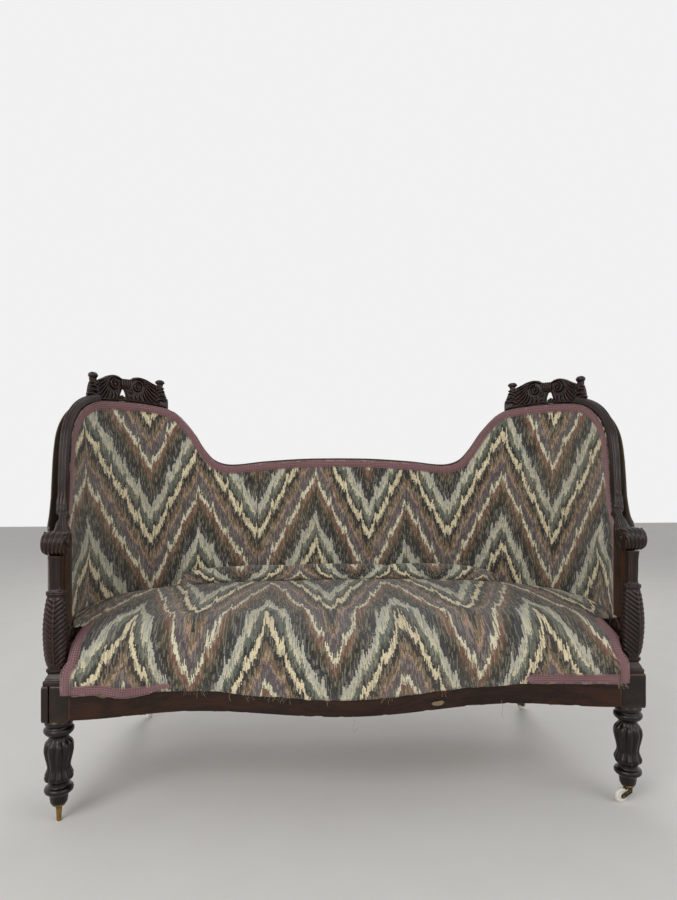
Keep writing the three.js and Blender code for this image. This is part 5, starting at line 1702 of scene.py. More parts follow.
@dataclass
class ArmRail:
    """Reeded sweep down the wing, leaf collar, spoon-shaped leaf and the rolled front scroll."""

    side: Side
    leg_x: float = 0.7385
    scroll_y: float = 0.012
    scroll_z: float = 0.6999
    radius: float = 0.030
    length: float = 0.058
    width: float = 0.027
    depth: float = 0.022

    def rows(self) -> tuple[Array, Array]:
        """The centre line, and at each place its width, depth, reeding and dish.

        Returns:
            The line, and the four values at each place.
        """
        edge = PLAN.edge(0.008)
        start = PLAN.wing - 0.152
        edge = edge[(edge[:, 0] >= start) & (edge[:, 0] <= PLAN.wing + 0.030)]
        tangent = unit(np.gradient(edge, axis=0))
        lift = self.depth / 2 + GAP
        s = edge[:, 0] - tangent[:, 1] * lift
        z = edge[:, 1] + tangent[:, 0] * lift
        upper = PLAN.place(s, 0.01425, z)
        x, arm = self.leg_x, PLAN.arm_top
        lower = np.array([
            [x + .030, .149, arm + .030], [x + .023, .117, arm + .009], [x + .013, .085, arm - .005],
            [x + .004, .055, arm - .012], [x + .001, .034, self.scroll_z + .016],
                          [x, .020, self.scroll_z + .012],
        ])
        lower[:, 1] += FRONT_Y
        facts_upper = np.tile([self.width, self.depth, 1.0, 0.0], (len(upper), 1))
        facts_lower = np.array([
            [.025, .024, .45, 0.0], [.030, .021, 0.0, .0022], [.038, .020, 0.0, .0032],
            [.046, .020, 0.0, .0022], [.050, .022, .35, 0.0], [.050, .020, .35, 0.0],
        ])
        line = catmull_rom(np.vstack([upper[::2], lower]), 7)
        facts = catmull_rom(np.vstack([facts_upper[::2], facts_lower]), 7)
        return line, facts[:len(line)]

    def section(self, width: float, depth: float, reed: float, dish: float) -> Array:
        """The rail's outline: a show face with three reeds, or a hollow leaf.

        Args:
            width: Width across, in metres.
            depth: Depth from front to back, in metres.
            reed: Depth of the reeds.
            dish: Depth of the hollow.

        Returns:
            The outline's points.
        """
        share = np.linspace(1.0, -1.0, 25)
        reeds = 0.0038 * reed * np.abs(np.cos(1.5 * math.pi * share)) ** 0.6
        rim = 0.35 * depth * np.abs(share) ** 6
        face = -depth / 2 + rim + 0.0038 * reed - reeds + dish * (1 - share**2)
        show = np.column_stack([share * width / 2, face])
        back = rounded_box(width, depth, 0.003, 3)
        back = back[back[:, 1] > 0.2 * depth]
        back = back[np.argsort(back[:, 0])]
        return np.vstack([show, back])

    def build(self) -> bpy.types.Object:
        """Makes the right-hand arm rail; the left one is its mirror.

        Returns:
            The piece.
        """
        line, facts = self.rows()
        tangent = unit(np.gradient(line, axis=0))
        across = unit(np.array([1.0, 0.0, 0.0]) - tangent * tangent[:, :1])
        face = unit(np.cross(across, tangent))
        rings = []
        for p, fact, a, f in zip(line, facts, across, face):
            flat = self.section(*np.maximum(fact, 0.0))
            rings.append(p + flat[:, :1] * a + flat[:, 1:] * f)
        work = Solid()
        work.loft(np.array(rings))
        centre = np.array([self.leg_x, self.scroll_y + FRONT_Y, self.scroll_z])
        half = self.length / 2
        rows = np.linspace(-half, half, 70)
        lobes = 0.0016 * (2 * rows / self.length) ** 2
        rim = 0.0035 * smoothstep(np.abs(rows), half - 0.004, half)
        drum = np.column_stack([self.radius - lobes - rim, rows])
        drum = np.vstack([[[0.0001, -half]], drum, [[0.0001, half]]])
        work.loft(lathe(drum, 96, centre, (1, 0, 0)))
        for end in (-1.0, 1.0):
            curl = spiral((centre[1], centre[2]), self.radius - 0.0035, 0.008, math.pi * 0.5, -1.6, 90)
            path = np.column_stack([np.full(len(curl), centre[0] + end * (half - 0.0006)), curl])
            out = np.array([1.0, 0.0, 0.0])
            work.loft(tube_rings(path, np.linspace(0.0032, 0.0020, len(path)), 10, 0.75, out))
            eye = np.array([[0.0001, -0.004], [0.0072, -0.004], [0.0072, 0.0008], [0.0055, 0.0030],
                            [0.0001, 0.0040]])
            work.loft(lathe(eye, 32, centre + np.array([end * half, 0, 0]), (end, 0, 0)))
        piece = fused(work, "scrolled_arm_right", 0.0013, 1)
        carve(piece, self.leaf)
        return piece

    def leaf(self, places: Array, normals: Array) -> Array:
        """Veins of the spoon leaf and the notched collar where the reeds end.

        Args:
            places: Vertices, one row each, in the object's frame.
            normals: Each vertex's outward direction.

        Returns:
            The depth at each vertex.
        """
        x = places[:, 0] - self.leg_x
        y = places[:, 1] - FRONT_Y
        up = smoothstep(normals[:, 2], 0.1, 0.6)
        on_leaf = smoothstep(y, 0.045, 0.060) * smoothstep(y, 0.150, 0.138)
        middle = 0.028 * smoothstep(y, 0.050, 0.150)
        reach = np.abs(x - middle)
        run = y + 0.7 * reach
        wave = np.abs(((run / 0.0115) % 1.0) - 0.5) * 2
        vein = 0.0014 * smoothstep(wave, 0.78, 1.0) * smoothstep(reach, 0.003, 0.005)
        rib = 0.0015 * (smoothstep(reach, 0.0016, 0.0026) - smoothstep(reach, 0.003, 0.0045))
        depth = up * on_leaf * (vein + rib)
        ring = np.abs(y - 0.158)
        depth -= 0.0022 * smoothstep(ring, 0.006, 0.002) * smoothstep(places[:, 2], 0.70, 0.74)
        from_axis = np.hypot(y - self.scroll_y, places[:, 2] - self.scroll_z)
        on_roll = smoothstep(from_axis, self.radius * 0.6, self.radius * 0.85) * smoothstep(y,
                self.scroll_y + 0.030, self.scroll_y + 0.016)
        turn = np.arctan2(places[:, 2] - self.scroll_z, self.scroll_y - y)
        fan = 5.5 * (x / self.length + 0.5) + 0.95 * turn * (0.5 - x / self.length)
        return depth + on_roll * 0.0040 * (1 - np.abs(np.sin(math.pi * fan)) ** 0.65)


def mirror_copy(piece: bpy.types.Object, name: str) -> bpy.types.Object:
    """The piece's mirror image across the middle of the settee.

    Args:
        piece: The mesh object that is worked on.
        name: The name that the new piece or group gets.

    Returns:
        The piece.
    """
    twin = bpy.data.objects.new(name, piece.data.copy())
    bpy.context.collection.objects.link(twin)
    move_points(twin, points_of(twin) * np.array([-1.0, 1.0, 1.0]))
    tidy_normals(twin, 1e-7)
    return twin


@dataclass
class Crest:
    """Carved and pierced crest of volutes, a ribbed drape, sweeping leaves and two knobs.

    Its places are in millimetres: across from its own middle, outward positive, and up from its base.
    """

    from_wing: float = 0.259
    inner: float = 0.0228
    thickness: float = 0.022

    OUTLINE = [
        (-136, 6), (-129, 24), (-121, 46), (-112, 56), (-98, 56), (-86, 58), (-70, 68), (-54, 76),
               (-40, 77), (-22, 74),
        (-10, 71), (10, 71), (24, 75), (40, 79), (54, 78), (70, 71), (86, 62), (100, 60), (118, 56),
               (124, 36), (129, 6),
    ]
    FLUTES = [
        [(22, 76), (40, 78), (60, 73), (76, 65), (92, 58)],
        [(52, 71), (66, 65), (80, 55), (98, 47), (116, 42)],
        [(59, 64), (69, 54), (83, 41), (101, 30), (122, 22)],
        [(60, 56), (69, 44), (81, 30), (98, 16), (122, 8)],
        [(60, 47), (66, 35), (76, 21), (90, 8), (104, 3)],
        [(58, 39), (62, 28), (68, 16), (77, 5), (84, 2)],
        [(54, 32), (55, 22), (59, 11), (65, 3)],
        [(45, 27), (43, 18), (45, 9), (49, 2)],
        [(33, 26), (31, 16), (33, 5)],
    ]

    def __post_init__(self) -> None:
        """Finds the crest's middle and its base."""
        self.middle = PLAN.wing - self.from_wing
        self.base = float(PLAN.top(PLAN.wing - 0.245)) + 0.0073
        self.depth = self.inner + self.thickness / 2

    def place(self, a: Array, h: Array, proud: Array | float = 0.0) -> Array:
        """A place by its distance along from the middle, its height above the base, and how far it is behind."""
        return PLAN.place(self.middle + np.asarray(a), self.depth + np.asarray(proud),
                          self.base + np.asarray(h))

    def stroke(self, work: Solid, points: Sequence[Sequence[float]], radii: Sequence[float],
               flat: float = 1.0) -> None:
        """Adds a tapered strand through points given in millimetres.

        Args:
            work: The solid that the carving is added to.
            points: The points, one row each.
            radii: Radius at each point.
            flat: Height of the section over its width.
        """
        line = catmull_rom(np.array(points, dtype=float) / 1000, 10)
        size = np.interp(np.linspace(0, 1, len(line)), np.linspace(0, 1, len(radii)), radii) / 1000
        path = self.place(line[:, 0], line[:, 1])
        out = unit(self.place(line[:, 0], line[:, 1], 0.001) - path)
        work.loft(tube_rings(path, size, 12, flat, out))

    def disc(self, work: Solid, a: float, h: float, profile: Sequence[Sequence[float]]) -> None:
        """Adds a form turned about a line from behind to front, its profile in millimetres.

        Args:
            work: The solid that the carving is added to.
            a: Place across.
            h: Height above the base.
            profile: Rows of radius and place along the axis.
        """
        centre = self.place(a / 1000, h / 1000)
        axis = self.place(a / 1000, h / 1000, -0.001) - centre
        work.loft(lathe(np.array(profile) / 1000, 40, centre, axis))

    def base_line(self, a: float) -> float:
        """Height of the rail's top under a place, from the crest's base, in millimetres."""
        return (float(PLAN.top(self.middle + a / 1000)) + 0.0073 - self.base) * 1000

    def slab(self, work: Solid) -> None:
        """The solid ground behind the carving, open only at the bell.

        Args:
            work: The solid that the carving is added to.
        """
        outline = np.array(self.OUTLINE, dtype=float)
        for start, end, low in ((-135, -2, None), (-3, 21, 37.0), (20, 128, None)):
            rings = []
            for a in np.linspace(start, end, max(4, int((end - start) / 4))):
                top = float(np.interp(a, outline[:, 0], outline[:, 1])) - 1.0
                foot = self.base_line(a) - 1.5 if low is None else low
                corners = [(foot, -1.5), (foot, 7.5), (max(top, foot + 2), 7.5), (max(top, foot + 2), -1.5)]
                rings.append([self.place(a / 1000, h / 1000, out / 1000) for h, out in corners])
            work.loft(np.array(rings))

    def volutes(self, work: Solid) -> None:
        """The two great volutes and the small ones below them.

        Args:
            work: The solid that the carving is added to.
        """
        for way, height in ((1, 52), (-1, 49)):
            curl = spiral((way * 37, height), 17.6, 8.2, math.pi * 0.5, -way * 1.15, 46)
            self.stroke(work, curl, [3.2, 3.0, 2.6], 3.3)
            self.disc(work, way * 37, height, [[.1, -8], [16, -8], [18, -2], [17, 2.0], [.1, 2.6]])
            self.disc(work, way * 37, height, [[.1, 0], [4.8, 2], [4.8, 8.5], [3.6, 10.6], [.1, 11.4]])
        for a, height, size in ((10.5, 9, 11), (-14, 8, 10), (-16, 33, 8.5)):
            curl = spiral((a, height), size * 0.74, size * 0.5, math.pi / 2, math.copysign(0.95, -a), 26)
            self.stroke(work, curl, [size * 0.23, size * 0.2], 3.6)
            self.disc(work, a, height, [[.1, -8], [size * .7, -7], [size * .74, 0.6], [.1, 1.2]])
            self.disc(work, a, height, [[.1, 0], [size * .2, 2], [size * .2, 6.0], [.1, 7.4]])

    def drape(self, work: Solid) -> None:
        """Arched tops, and the ribbed drape that falls between the volutes.

        Args:
            work: The solid that the carving is added to.
        """
        for way in SIDES:
            self.stroke(work, [[way * 16, 70], [way * 24, 73], [way * 38, 76], [way * 50, 73],
                               [way * 57, 65], [way * 59, 54]],
                        [3.0, 3.4, 3.6, 3.4, 3.0, 2.4], 2.8)
        for k in range(-3, 3):
            top, foot = k * 6.0 + 3.0, k * 5.6 + 3.8
            self.stroke(work, [[top, 71], [(top + foot) / 2, 62], [foot, 51], [foot * 0.9 + 1, 41]],
                        [2.5, 2.6, 2.6, 1.8], 4.0)

    def bell(self, work: Solid) -> None:
        """The frame of the pierced bell.

        Args:
            work: The solid that the carving is added to.
        """
        for way in SIDES:
            line = [[9 + way * 14.5, 14], [9 + way * 13.0, 20], [9 + way * 10.0, 29], [9 + way * 7.0, 38]]
            self.stroke(work, line, [2.8, 2.7, 2.7, 2.8], 3.2)

    def leaves(self, work: Solid) -> None:
        """Flowing blades that curl round the great volutes and sweep down to both ends.

        Args:
            work: The solid that the carving is added to.
        """
        for way in (1.0, -1.04):
            for flute in self.FLUTES:
                points = [(way * a, max(h, self.base_line(way * a) + 3.0)) for a, h in flute]
                self.stroke(work, points, [2.2, 3.0, 3.2, 3.0, 2.2], 3.0)

    def knobs(self, work: Solid) -> None:
        """The leafy steps at both ends, each with its round knob and its turned-out tip.

        Args:
            work: The solid that the carving is added to.
        """
        for way, reach, size in ((1.0, 109, 10.4), (-1.04, 105, 8.8)):
            a, top = way * reach, 60 + size * 1.05
            line = [[a - 15, top - 1.5], [a - 11, top - 0.5], [a - 5, top], [a + 5, top],
                    [a + 11, top - 0.5], [a + 15, top - 1.5]]
            self.stroke(work, line, [1.5, size * 0.7, size, size, size * 0.7, 1.5], 1.25)
            self.disc(work, a, top - size, [[.1, -9], [9, -8.5], [9, 6.0], [.1, 6.5]])
            for lift, out, thick in ((58, 8, 4.0), (50, 13, 4.2), (40, 14, 4.2), (27, 17, 4.6),
                                     (14, 23, 4.8)):
                points = [[way * (reach - 14), lift - 5], [way * (reach - 4), lift - 1],
                          [way * (reach + out - 7), lift + 1],
                          [way * (reach + out), lift - 1]]
                points = [[x, max(h, self.base_line(x) + 3.4)] for x, h in points]
                self.stroke(work, points, [thick, thick, thick * 0.9, thick * 0.45], 1.9)

    def foot(self, work: Solid) -> None:
        """The moulding that the carving stands on."""
        line = [[a, self.base_line(a) + 3.4] for a in np.linspace(-130, 126, 17)]
        self.stroke(work, line, [3.2] * 17, 3.2)

    def build(self) -> bpy.types.Object:
        """Makes the right-hand crest; the left one is its mirror.

        Returns:
            The piece.
        """
        work = Solid()
        for part in (self.slab, self.foot, self.volutes, self.drape, self.bell, self.leaves, self.knobs):
            part(work)
        piece = fused(work, "carved_crest_right", 0.0011, 1)
        places = points_of(piece)
        low = np.interp(np.abs(places[:, 0]), *self.floor_table())
        places[:, 2] = np.maximum(places[:, 2], low + GAP)
        move_points(piece, places)
        return piece

    def floor_table(self) -> tuple[Array, Array]:
        """Places across and the top rail's height at each, for keeping the carving above the rail.

        Returns:
            The places and the heights.
        """
        along = np.linspace(self.middle - 0.16, self.middle + 0.16, 60)
        across = PLAN.place(along, self.depth, 0.0)[:, 0]
        return across, PLAN.top(along) + 0.007


@dataclass
class CarvedWork:
    """Both arms and both crests."""

    finishes: Finishes

    def build(self) -> None:
        """Makes and dresses the carved pieces."""
        carved = self.finishes.carved
        for side in Side:
            support = ArmSupport(Side.RIGHT, rib_shift=0.010 if side is Side.RIGHT else 0.0).build()
            if side is Side.LEFT:
                whole = support
                support = mirror_copy(whole, "leaf_support_left")
                bpy.data.objects.remove(whole)
            fit(dress(support, carved), "mahogany", f"arm_support_{side.word}")
            stump = node_copy(f"arm_stump_{side.word}", f"sawn_stump_{side.word}", 0.0012)
            fit(dress(stump, carved), "mahogany", f"arm_stump_{side.word}")
        for maker, node in ((ArmRail(Side.RIGHT), "arm_rail"), (Crest(), "crest")):
            right = maker.build()
            left = mirror_copy(right, right.name.replace("right", "left"))
            for piece, word in ((right, "right"), (left, "left")):
                fit(dress(piece, carved), "mahogany", f"{node}_{word}")


# Upholstery


def inflate(piece: bpy.types.Object, pinned: Array, pressure: float, cap: float, frames: int = 20,
            stiffness: float = 12.0) -> None:
    """Lets air pressure settle a stuffed form as cloth, and keeps the result.

    Args:
        piece: the closed or pinned form.
        pinned: for each vertex, how firmly it is held, from 0 to 1.
        pressure: the air pressure.
        cap: how far a point may move, in metres.
        frames: how many frames are run.
        stiffness: the cloth's resistance to stretching.
    """
    before = points_of(piece)
    group = piece.vertex_groups.new(name="held")
    for level in np.unique(np.round(pinned, 1)):
        if level > 0:
            group.add([int(i) for i in np.nonzero(np.round(pinned, 1) == level)[0]], float(level), "REPLACE")
    cloth = piece.modifiers.new("settle", "CLOTH")
    settings = cloth.settings
    settings.use_pressure = True
    settings.uniform_pressure_force = pressure
    settings.effector_weights.gravity = 0.0
    settings.tension_stiffness = stiffness
    settings.compression_stiffness = stiffness
    settings.bending_stiffness = 1.2
    settings.air_damping = 4.0
    settings.quality = 5
    settings.vertex_group_mass = "held"
    settings.shrink_min = -0.012
    cloth.collision_settings.use_self_collision = False
    cloth.point_cache.frame_start = 1
    cloth.point_cache.frame_end = frames
    scene = bpy.context.scene
    for step in range(1, frames + 1):
        scene.frame_set(step)
    graph = bpy.context.evaluated_depsgraph_get()
    settled = bpy.data.meshes.new_from_object(piece.evaluated_get(graph), depsgraph=graph)
    flat = np.empty(len(settled.vertices) * 3)
    settled.vertices.foreach_get("co", flat)
    piece.modifiers.clear()
    piece.vertex_groups.clear()
    bpy.data.meshes.remove(settled)
    moved = flat.reshape(-1, 3) - before
    length = np.linalg.norm(moved, axis=1, keepdims=True)
    move_points(piece, before + moved * np.minimum(1.0, cap / np.maximum(length, 1e-9)) * (1 - pinned[:,
            None]))
    scene.frame_set(1)


def refined(piece: bpy.types.Object, levels: int = 1) -> bpy.types.Object:
    """Subdivides the piece smoothly and bakes the result.

    Args:
        piece: The mesh object that is worked on.
        levels: Rounds of subdivision.

    Returns:
        The piece.
    """
    finer = piece.modifiers.new("finer", "SUBSURF")
    finer.levels = levels
    finer.render_levels = levels
    apply_modifiers(piece)
    for polygon in piece.data.polygons:
        polygon.use_smooth = True
    return piece


def walled(piece: bpy.types.Object, thickness: float, offset: float = -1.0) -> bpy.types.Object:
    """Gives an open sheet its thickness.

    Args:
        piece: The mesh object that is worked on.
        thickness: Thickness, in metres.
        offset: Which side of the sheet the thickness goes to.

    Returns:
        The piece.
    """
    wall = piece.modifiers.new("wall", "SOLIDIFY")
    wall.thickness = thickness
    wall.offset = offset
    wall.use_even_offset = False
    apply_modifiers(piece)
    return piece


def pointed(piece: bpy.types.Object, direction: Sequence[float]) -> None:
    """Turns an open sheet's faces so that they point the given way on the whole.

    Args:
        piece: The mesh object that is worked on.
        direction: The way that the faces point.
    """
    total = np.zeros(3)
    for polygon in piece.data.polygons:
        total += np.array(polygon.normal) * polygon.area
    if float(total @ np.asarray(direction, dtype=float)) < 0:
        piece.data.flip_normals()


@dataclass
class InsideBack:
    """The stuffed inside of the back: flat under the braid, full inside it."""

    finishes: Finishes
    bulge: float = 0.013
    thickness: float = 0.0200
    bottom: float = 0.3463
    rows: int = 44

    def columns(self) -> Array:
        """Distances along, closer together where the edge drops at the wings.

        Returns:
            The distances.
        """
        wing = PLAN.wing
        half = np.concatenate([
            np.arange(0.0, PLAN.valley_at + 0.02, 0.013), np.arange(PLAN.valley_at + 0.03,
                    PLAN.valley_at + 0.20, 0.010),
            np.arange(PLAN.valley_at + 0.21, wing - 0.09, 0.014), np.arange(wing - 0.085, wing - 0.03, 0.007),
            np.arange(wing - 0.028, wing + 0.05, 0.0036), np.arange(wing + 0.055, PLAN.panel_end - 0.004,
                    0.009),
            [PLAN.panel_end],
        ])
        return np.concatenate([-half[:0:-1], half])

    def build(self) -> None:
        """Makes the pad and dresses it."""
        along = self.columns()
        share = np.linspace(0.0, 1.0, self.rows)
        share = 1 - (1 - share) ** 1.25
        s, q = np.meshgrid(along, share, indexing="ij")
        z = self.bottom + (PLAN.top(s) - self.bottom) * q
        edge = PLAN.edge_distance(s, z)
        full = self.bulge * smoothstep(edge, 0.030, 0.110) * smoothstep(z, self.bottom, self.bottom + 0.06)
        front = PLAN.place(s, -full + 0.004 * smoothstep(edge, 0.006, 0.0), z)
        back = PLAN.place(s, self.thickness, np.minimum(z, PLAN.top(s) - 0.0015))
        count = s.size
        rows = s.shape[1]
        faces = []
        for i in range(len(along) - 1):
            for j in range(rows - 1):
                a = i * rows + j
                faces.append([a, a + 1, a + rows + 1, a + rows])
                faces.append([count + a, count + a + rows, count + a + rows + 1, count + a + 1])
        border = ([j for j in range(rows)] + [i * rows + rows - 1 for i in range(1, len(along))]
                  + [(len(along) - 1) * rows + j for j in range(rows - 2, -1, -1)]
                  + [i * rows for i in range(len(along) - 2, 0, -1)])
        for a, b in zip(border, border[1:] + border[:1]):
            faces.append([a, count + a, count + b, b][::-1])
        verts = np.vstack([front.reshape(-1, 3), back.reshape(-1, 3)])
        piece = mesh_object("stuffed_back", verts, faces)
        lay_uv(piece, np.tile(np.column_stack([s.ravel(), z.ravel()]), (2, 1)))
        fair = 1 - smoothstep(edge, 0.026, 0.060) * smoothstep(z, self.bottom + 0.02, self.bottom + 0.09)
        inflate(piece, np.concatenate([fair.ravel(), np.ones(count)]), 1.6, 0.010)
        tidy_normals(piece, 1e-7)
        refined(piece)
        fit(dress(piece, self.finishes.back_flame), "flame_fabric", "inside_back")


@dataclass
class OutsideBack:
    """Plain lining stretched over the outside of the frame."""

    finishes: Finishes
    setback: float = 0.033
    thickness: float = 0.0024

    def build(self) -> None:
        """Makes the cover, with slack between its tacks."""
        end = PLAN.length - self.setback
        along = np.linspace(-end, end, 340)
        share = np.linspace(0.0, 1.0, 70)
        s, q = np.meshgrid(along, share, indexing="ij")
        low, top = 0.2625, PLAN.top(s) + 0.0008
        z = low + (top - low) * q
        near = np.clip((PLAN.length - np.abs(s)) / 0.080, 0.0, 1.0)
        inner = np.where(near < 1, -0.008 + (0.0208 + 0.008) * near, 0.0208)
        base = np.maximum(inner, 0.0208 - 0.026) + 0.026 + GAP
        base = np.maximum(base, 0.0471)
        pull = 0.0018 * np.sin(np.pi * q) * np.sin(2 * np.pi * s / 0.31) + 0.0012 * noise(
            np.column_stack([s.ravel(), z.ravel(), z.ravel() * 0]), 0.09, 5).reshape(s.shape)
        away = base + 0.0014 + np.maximum(pull, -0.0010)
        leg = smoothstep(np.abs(np.abs(s) - 0.598), 0.036, 0.026) * smoothstep(z, 0.3775, 0.3765)
        keep = leg < 0.5
        grid = PLAN.place(s, away, z)
        piece = sheet_object("outside_cover", grid)
        self.open_at_legs(piece, keep.ravel())
        pointed(piece, (0.0, 1.0, 0.0))
        walled(piece, self.thickness)
        fit(dress(piece, self.finishes.lining), "lining", "outside_back")

    def open_at_legs(self, piece: bpy.types.Object, keep: Array) -> None:
        """Cuts the cover back round the legs.

        Args:
            piece: The mesh object that is worked on.
            keep: True for each vertex that stays.
        """
        work = bmesh.new()
        work.from_mesh(piece.data)
        work.verts.ensure_lookup_table()
        gone = [work.verts[int(i)] for i in np.nonzero(~keep)[0]]
        bmesh.ops.delete(work, geom=gone, context="VERTS")
        work.to_mesh(piece.data)
        work.free()


@dataclass
class Seat:
    """The sprung seat: matted stuffing under a flame-stitch cover that has pulled loose along the front."""

    finishes: Finishes
    side_top: float = 0.462
    crown: float = 0.014
    rise: float = 0.030
    nose: float = 0.110
    level_from: float = 0.400
    cover: float = 0.003
    drop_side: float = 0.018
    drop_centre: float = 0.039

    def top(self, x: Array, y: Array) -> Array:
        """Height of the seat, by the place across and the place behind the blocks' front.

        Args:
            x: Place across, in metres.
            y: Place behind the front of the blocks, in metres.

        Returns:
            The heights.
        """
        share = np.clip((y - self.nose) / (self.level_from - self.nose), 0.0, 1.0)
        across = 1 - np.minimum(1.0, np.abs(x) / SEAT_FRAME.inner_face) ** 2
        return self.side_top + self.rise * np.sin(math.pi / 2 * share) + self.crown * across

    def skirt(self, x: Array) -> Array:
        """Height of the cover's lower edge."""
        share = 1 - np.minimum(1.0, np.abs(x) / SEAT_FRAME.inner_face) ** 2
        return SEAT_FRAME.rail_top - (self.drop_side + (self.drop_centre - self.drop_side) * share)

    def corner(self, places: Array) -> Array:
        """Lets the cover's front corners spread a little past the blocks' inner edges.

        Args:
            places: Vertices, one row each, in the object's frame.

        Returns:
            The moved places.
        """
        spread = places.copy()
        x, y, z = places[..., 0], places[..., 1] - FRONT_Y, places[..., 2]
        near = smoothstep(np.abs(x), 0.620, 0.705) * smoothstep(y, 0.0010, -0.0050) * smoothstep(z, 0.440,
                0.370)
        spread[..., 0] = x + np.sign(x) * 0.015 * near
        spread[..., 1] = places[..., 1] - 0.0016 * near
        return spread

    def front_profile(self, x: Array, low: Array) -> tuple[Array, Array]:
        """Rows of place behind and height, up the front and over the nose, for each place across.

        Args:
            x: Place across, in metres.
            low: The lower end.

        Returns:
            The places and the heights.
        """
        front = SEAT_FRAME.front(x) - GAP - self.cover - 0.001
        crest = self.top(x, np.full_like(x, self.nose))
        base = self.top(x, np.zeros_like(x))
        y = np.stack([front, front - .001, front + .004, front + .017, front + .042,
                      np.full_like(x, self.nose - .010), np.full_like(x, self.nose + .020)])
        z = np.stack([low, np.full_like(x, SEAT_FRAME.rail_top + .016),
                      np.full_like(x, SEAT_FRAME.rail_top + .052), base - .042, base - .019, crest - .003,
                      self.top(x, np.full_like(x, self.nose + .020))])
        rows = np.stack([y, z], axis=-1)
        return np.stack([catmull_rom(rows[:, i], 5) for i in range(rows.shape[1])], axis=1)

    def surface(self, across: Array, deep: int, low: Array) -> tuple[Array, Array]:
        """The outside of the cover as a grid, with each point's place in the pattern.

        Args:
            across: shares of the half width, from -1 to 1.
            deep: rows from the nose to the back.
            low: height of the lower edge at each column.

        Returns:
            The places, and the pattern's two coordinates.
        """
        x = across * (SEAT_FRAME.inner_face - 0.0006)
        front = self.front_profile(x, low)
        y, z = front[..., 0], front[..., 1]
        run = np.vstack([np.zeros_like(x), np.cumsum(np.hypot(np.diff(y, axis=0), np.diff(z, axis=0)),
                axis=0)])
        rows = [np.stack([np.broadcast_to(x, y.shape), y + FRONT_Y, z], axis=-1)]
        marks = [np.stack([np.broadcast_to(x, y.shape), run - run[-1]], axis=-1)]
        ends = PLAN.place(across * (PLAN.panel_end - 0.020), -0.0150, 0.0)
        share = (np.linspace(0.0, 1.0, deep + 1)[1:])[:, None]
        px = x[None, :] + (ends[None, :, 0] - x[None, :]) * share
        start = self.nose + 0.020
        py = start + (ends[None, :, 1] - FRONT_Y - start) * share
        py = np.where(ends[None, :, 1] - FRONT_Y < start, ends[None, :,
                1] - FRONT_Y + (start - ends[None, :, 1] + FRONT_Y) * (1 - share), py)
        pz = self.top(px, py)
        rows.append(np.stack([px, py + FRONT_Y, pz], axis=-1))
        marks.append(np.stack([px, py - start], axis=-1))
        return self.corner(np.vstack(rows)), np.vstack(marks)

    def creases(self, places: Array) -> Array:
        """How far the cover sinks at its creases and slack places.

        Args:
            places: Vertices, one row each, in the object's frame.

        Returns:
            The depths.
        """
        x, y, z = places[..., 0], places[..., 1], places[..., 2]
        flat = places.reshape(-1, 3)
        depth = 0.0016 * noise(flat, 0.075, 11).reshape(x.shape) + 0.0008 * noise(flat, 0.030,
                12).reshape(x.shape)
        line = z - (0.372 + 0.30 * (x - 0.42))
        near = smoothstep(x, 0.30, 0.42) * smoothstep(x, 0.695, 0.62) * smoothstep(y, -0.20, -0.27)
        depth += near * (0.0060 * np.exp(-(line / 0.0042) ** 2) - 0.0032
                         * np.exp(-((line - 0.013) / 0.009) ** 2))
        line = z - (0.385 - 0.22 * (x + 0.50))
        near = smoothstep(x, -0.68, -0.60) * smoothstep(x, -0.36, -0.44) * smoothstep(y, -0.20, -0.27)
        depth += near * (0.0035 * np.exp(-(line / 0.005) ** 2) - 0.002
                         * np.exp(-((line - 0.014) / 0.010) ** 2))
        return depth

    def build(self) -> None:
        """Makes the cover and the stuffing."""
        across = np.linspace(-1.0, 1.0, 181)
        x = across * SEAT_FRAME.inner_face
        ragged = 0.0018 * noise(np.column_stack([x, x * 0, x * 0]), 0.012,
                                4) + 0.003 * noise(np.column_stack([x, x * 0, x * 0]), 0.09, 6)
        middle = smoothstep(np.abs(x), 0.50, 0.40)
        grid, marks = self.surface(across, 34, self.skirt(x) + ragged * (0.4 + 0.6 * middle))
        piece = sheet_object("seat_cover_flame", grid, marks)
        pointed(piece, (0.0, -0.3, 1.0))
        rows, columns = grid.shape[:2]
        held = np.zeros((rows, columns))
        held[:3] = 1.0
        held[-2:] = 1.0
        held[:, :3] = 1.0
        held[:, -3:] = 1.0
        before, outward = points_of(piece), normals_of(piece)
        inflate(piece, held.ravel(), 1.2, 0.009)
        moved = points_of(piece) - before
        sunk = np.minimum(0.0, np.sum(moved * outward, axis=1) + 0.001)
        move_points(piece, before + moved - outward * sunk[:, None])
        places, normals = points_of(piece), normals_of(piece)
        edge = np.minimum(1.0, np.minimum(np.arange(columns), np.arange(columns)[::-1]) / 5.0)[None,
                :] * np.ones((rows, 1))
        move_points(piece, places - normals * (self.creases(places) * edge.ravel())[:, None])
        refined(piece)
        walled(piece, 0.0022)
        fit(dress(piece, self.finishes.seat_flame), "flame_fabric", "seat_cover")
        step = np.linalg.norm(np.diff(grid, axis=0), axis=2)
        wide = np.linalg.norm(np.diff(grid, axis=1), axis=2)
        self.stuffing(across)

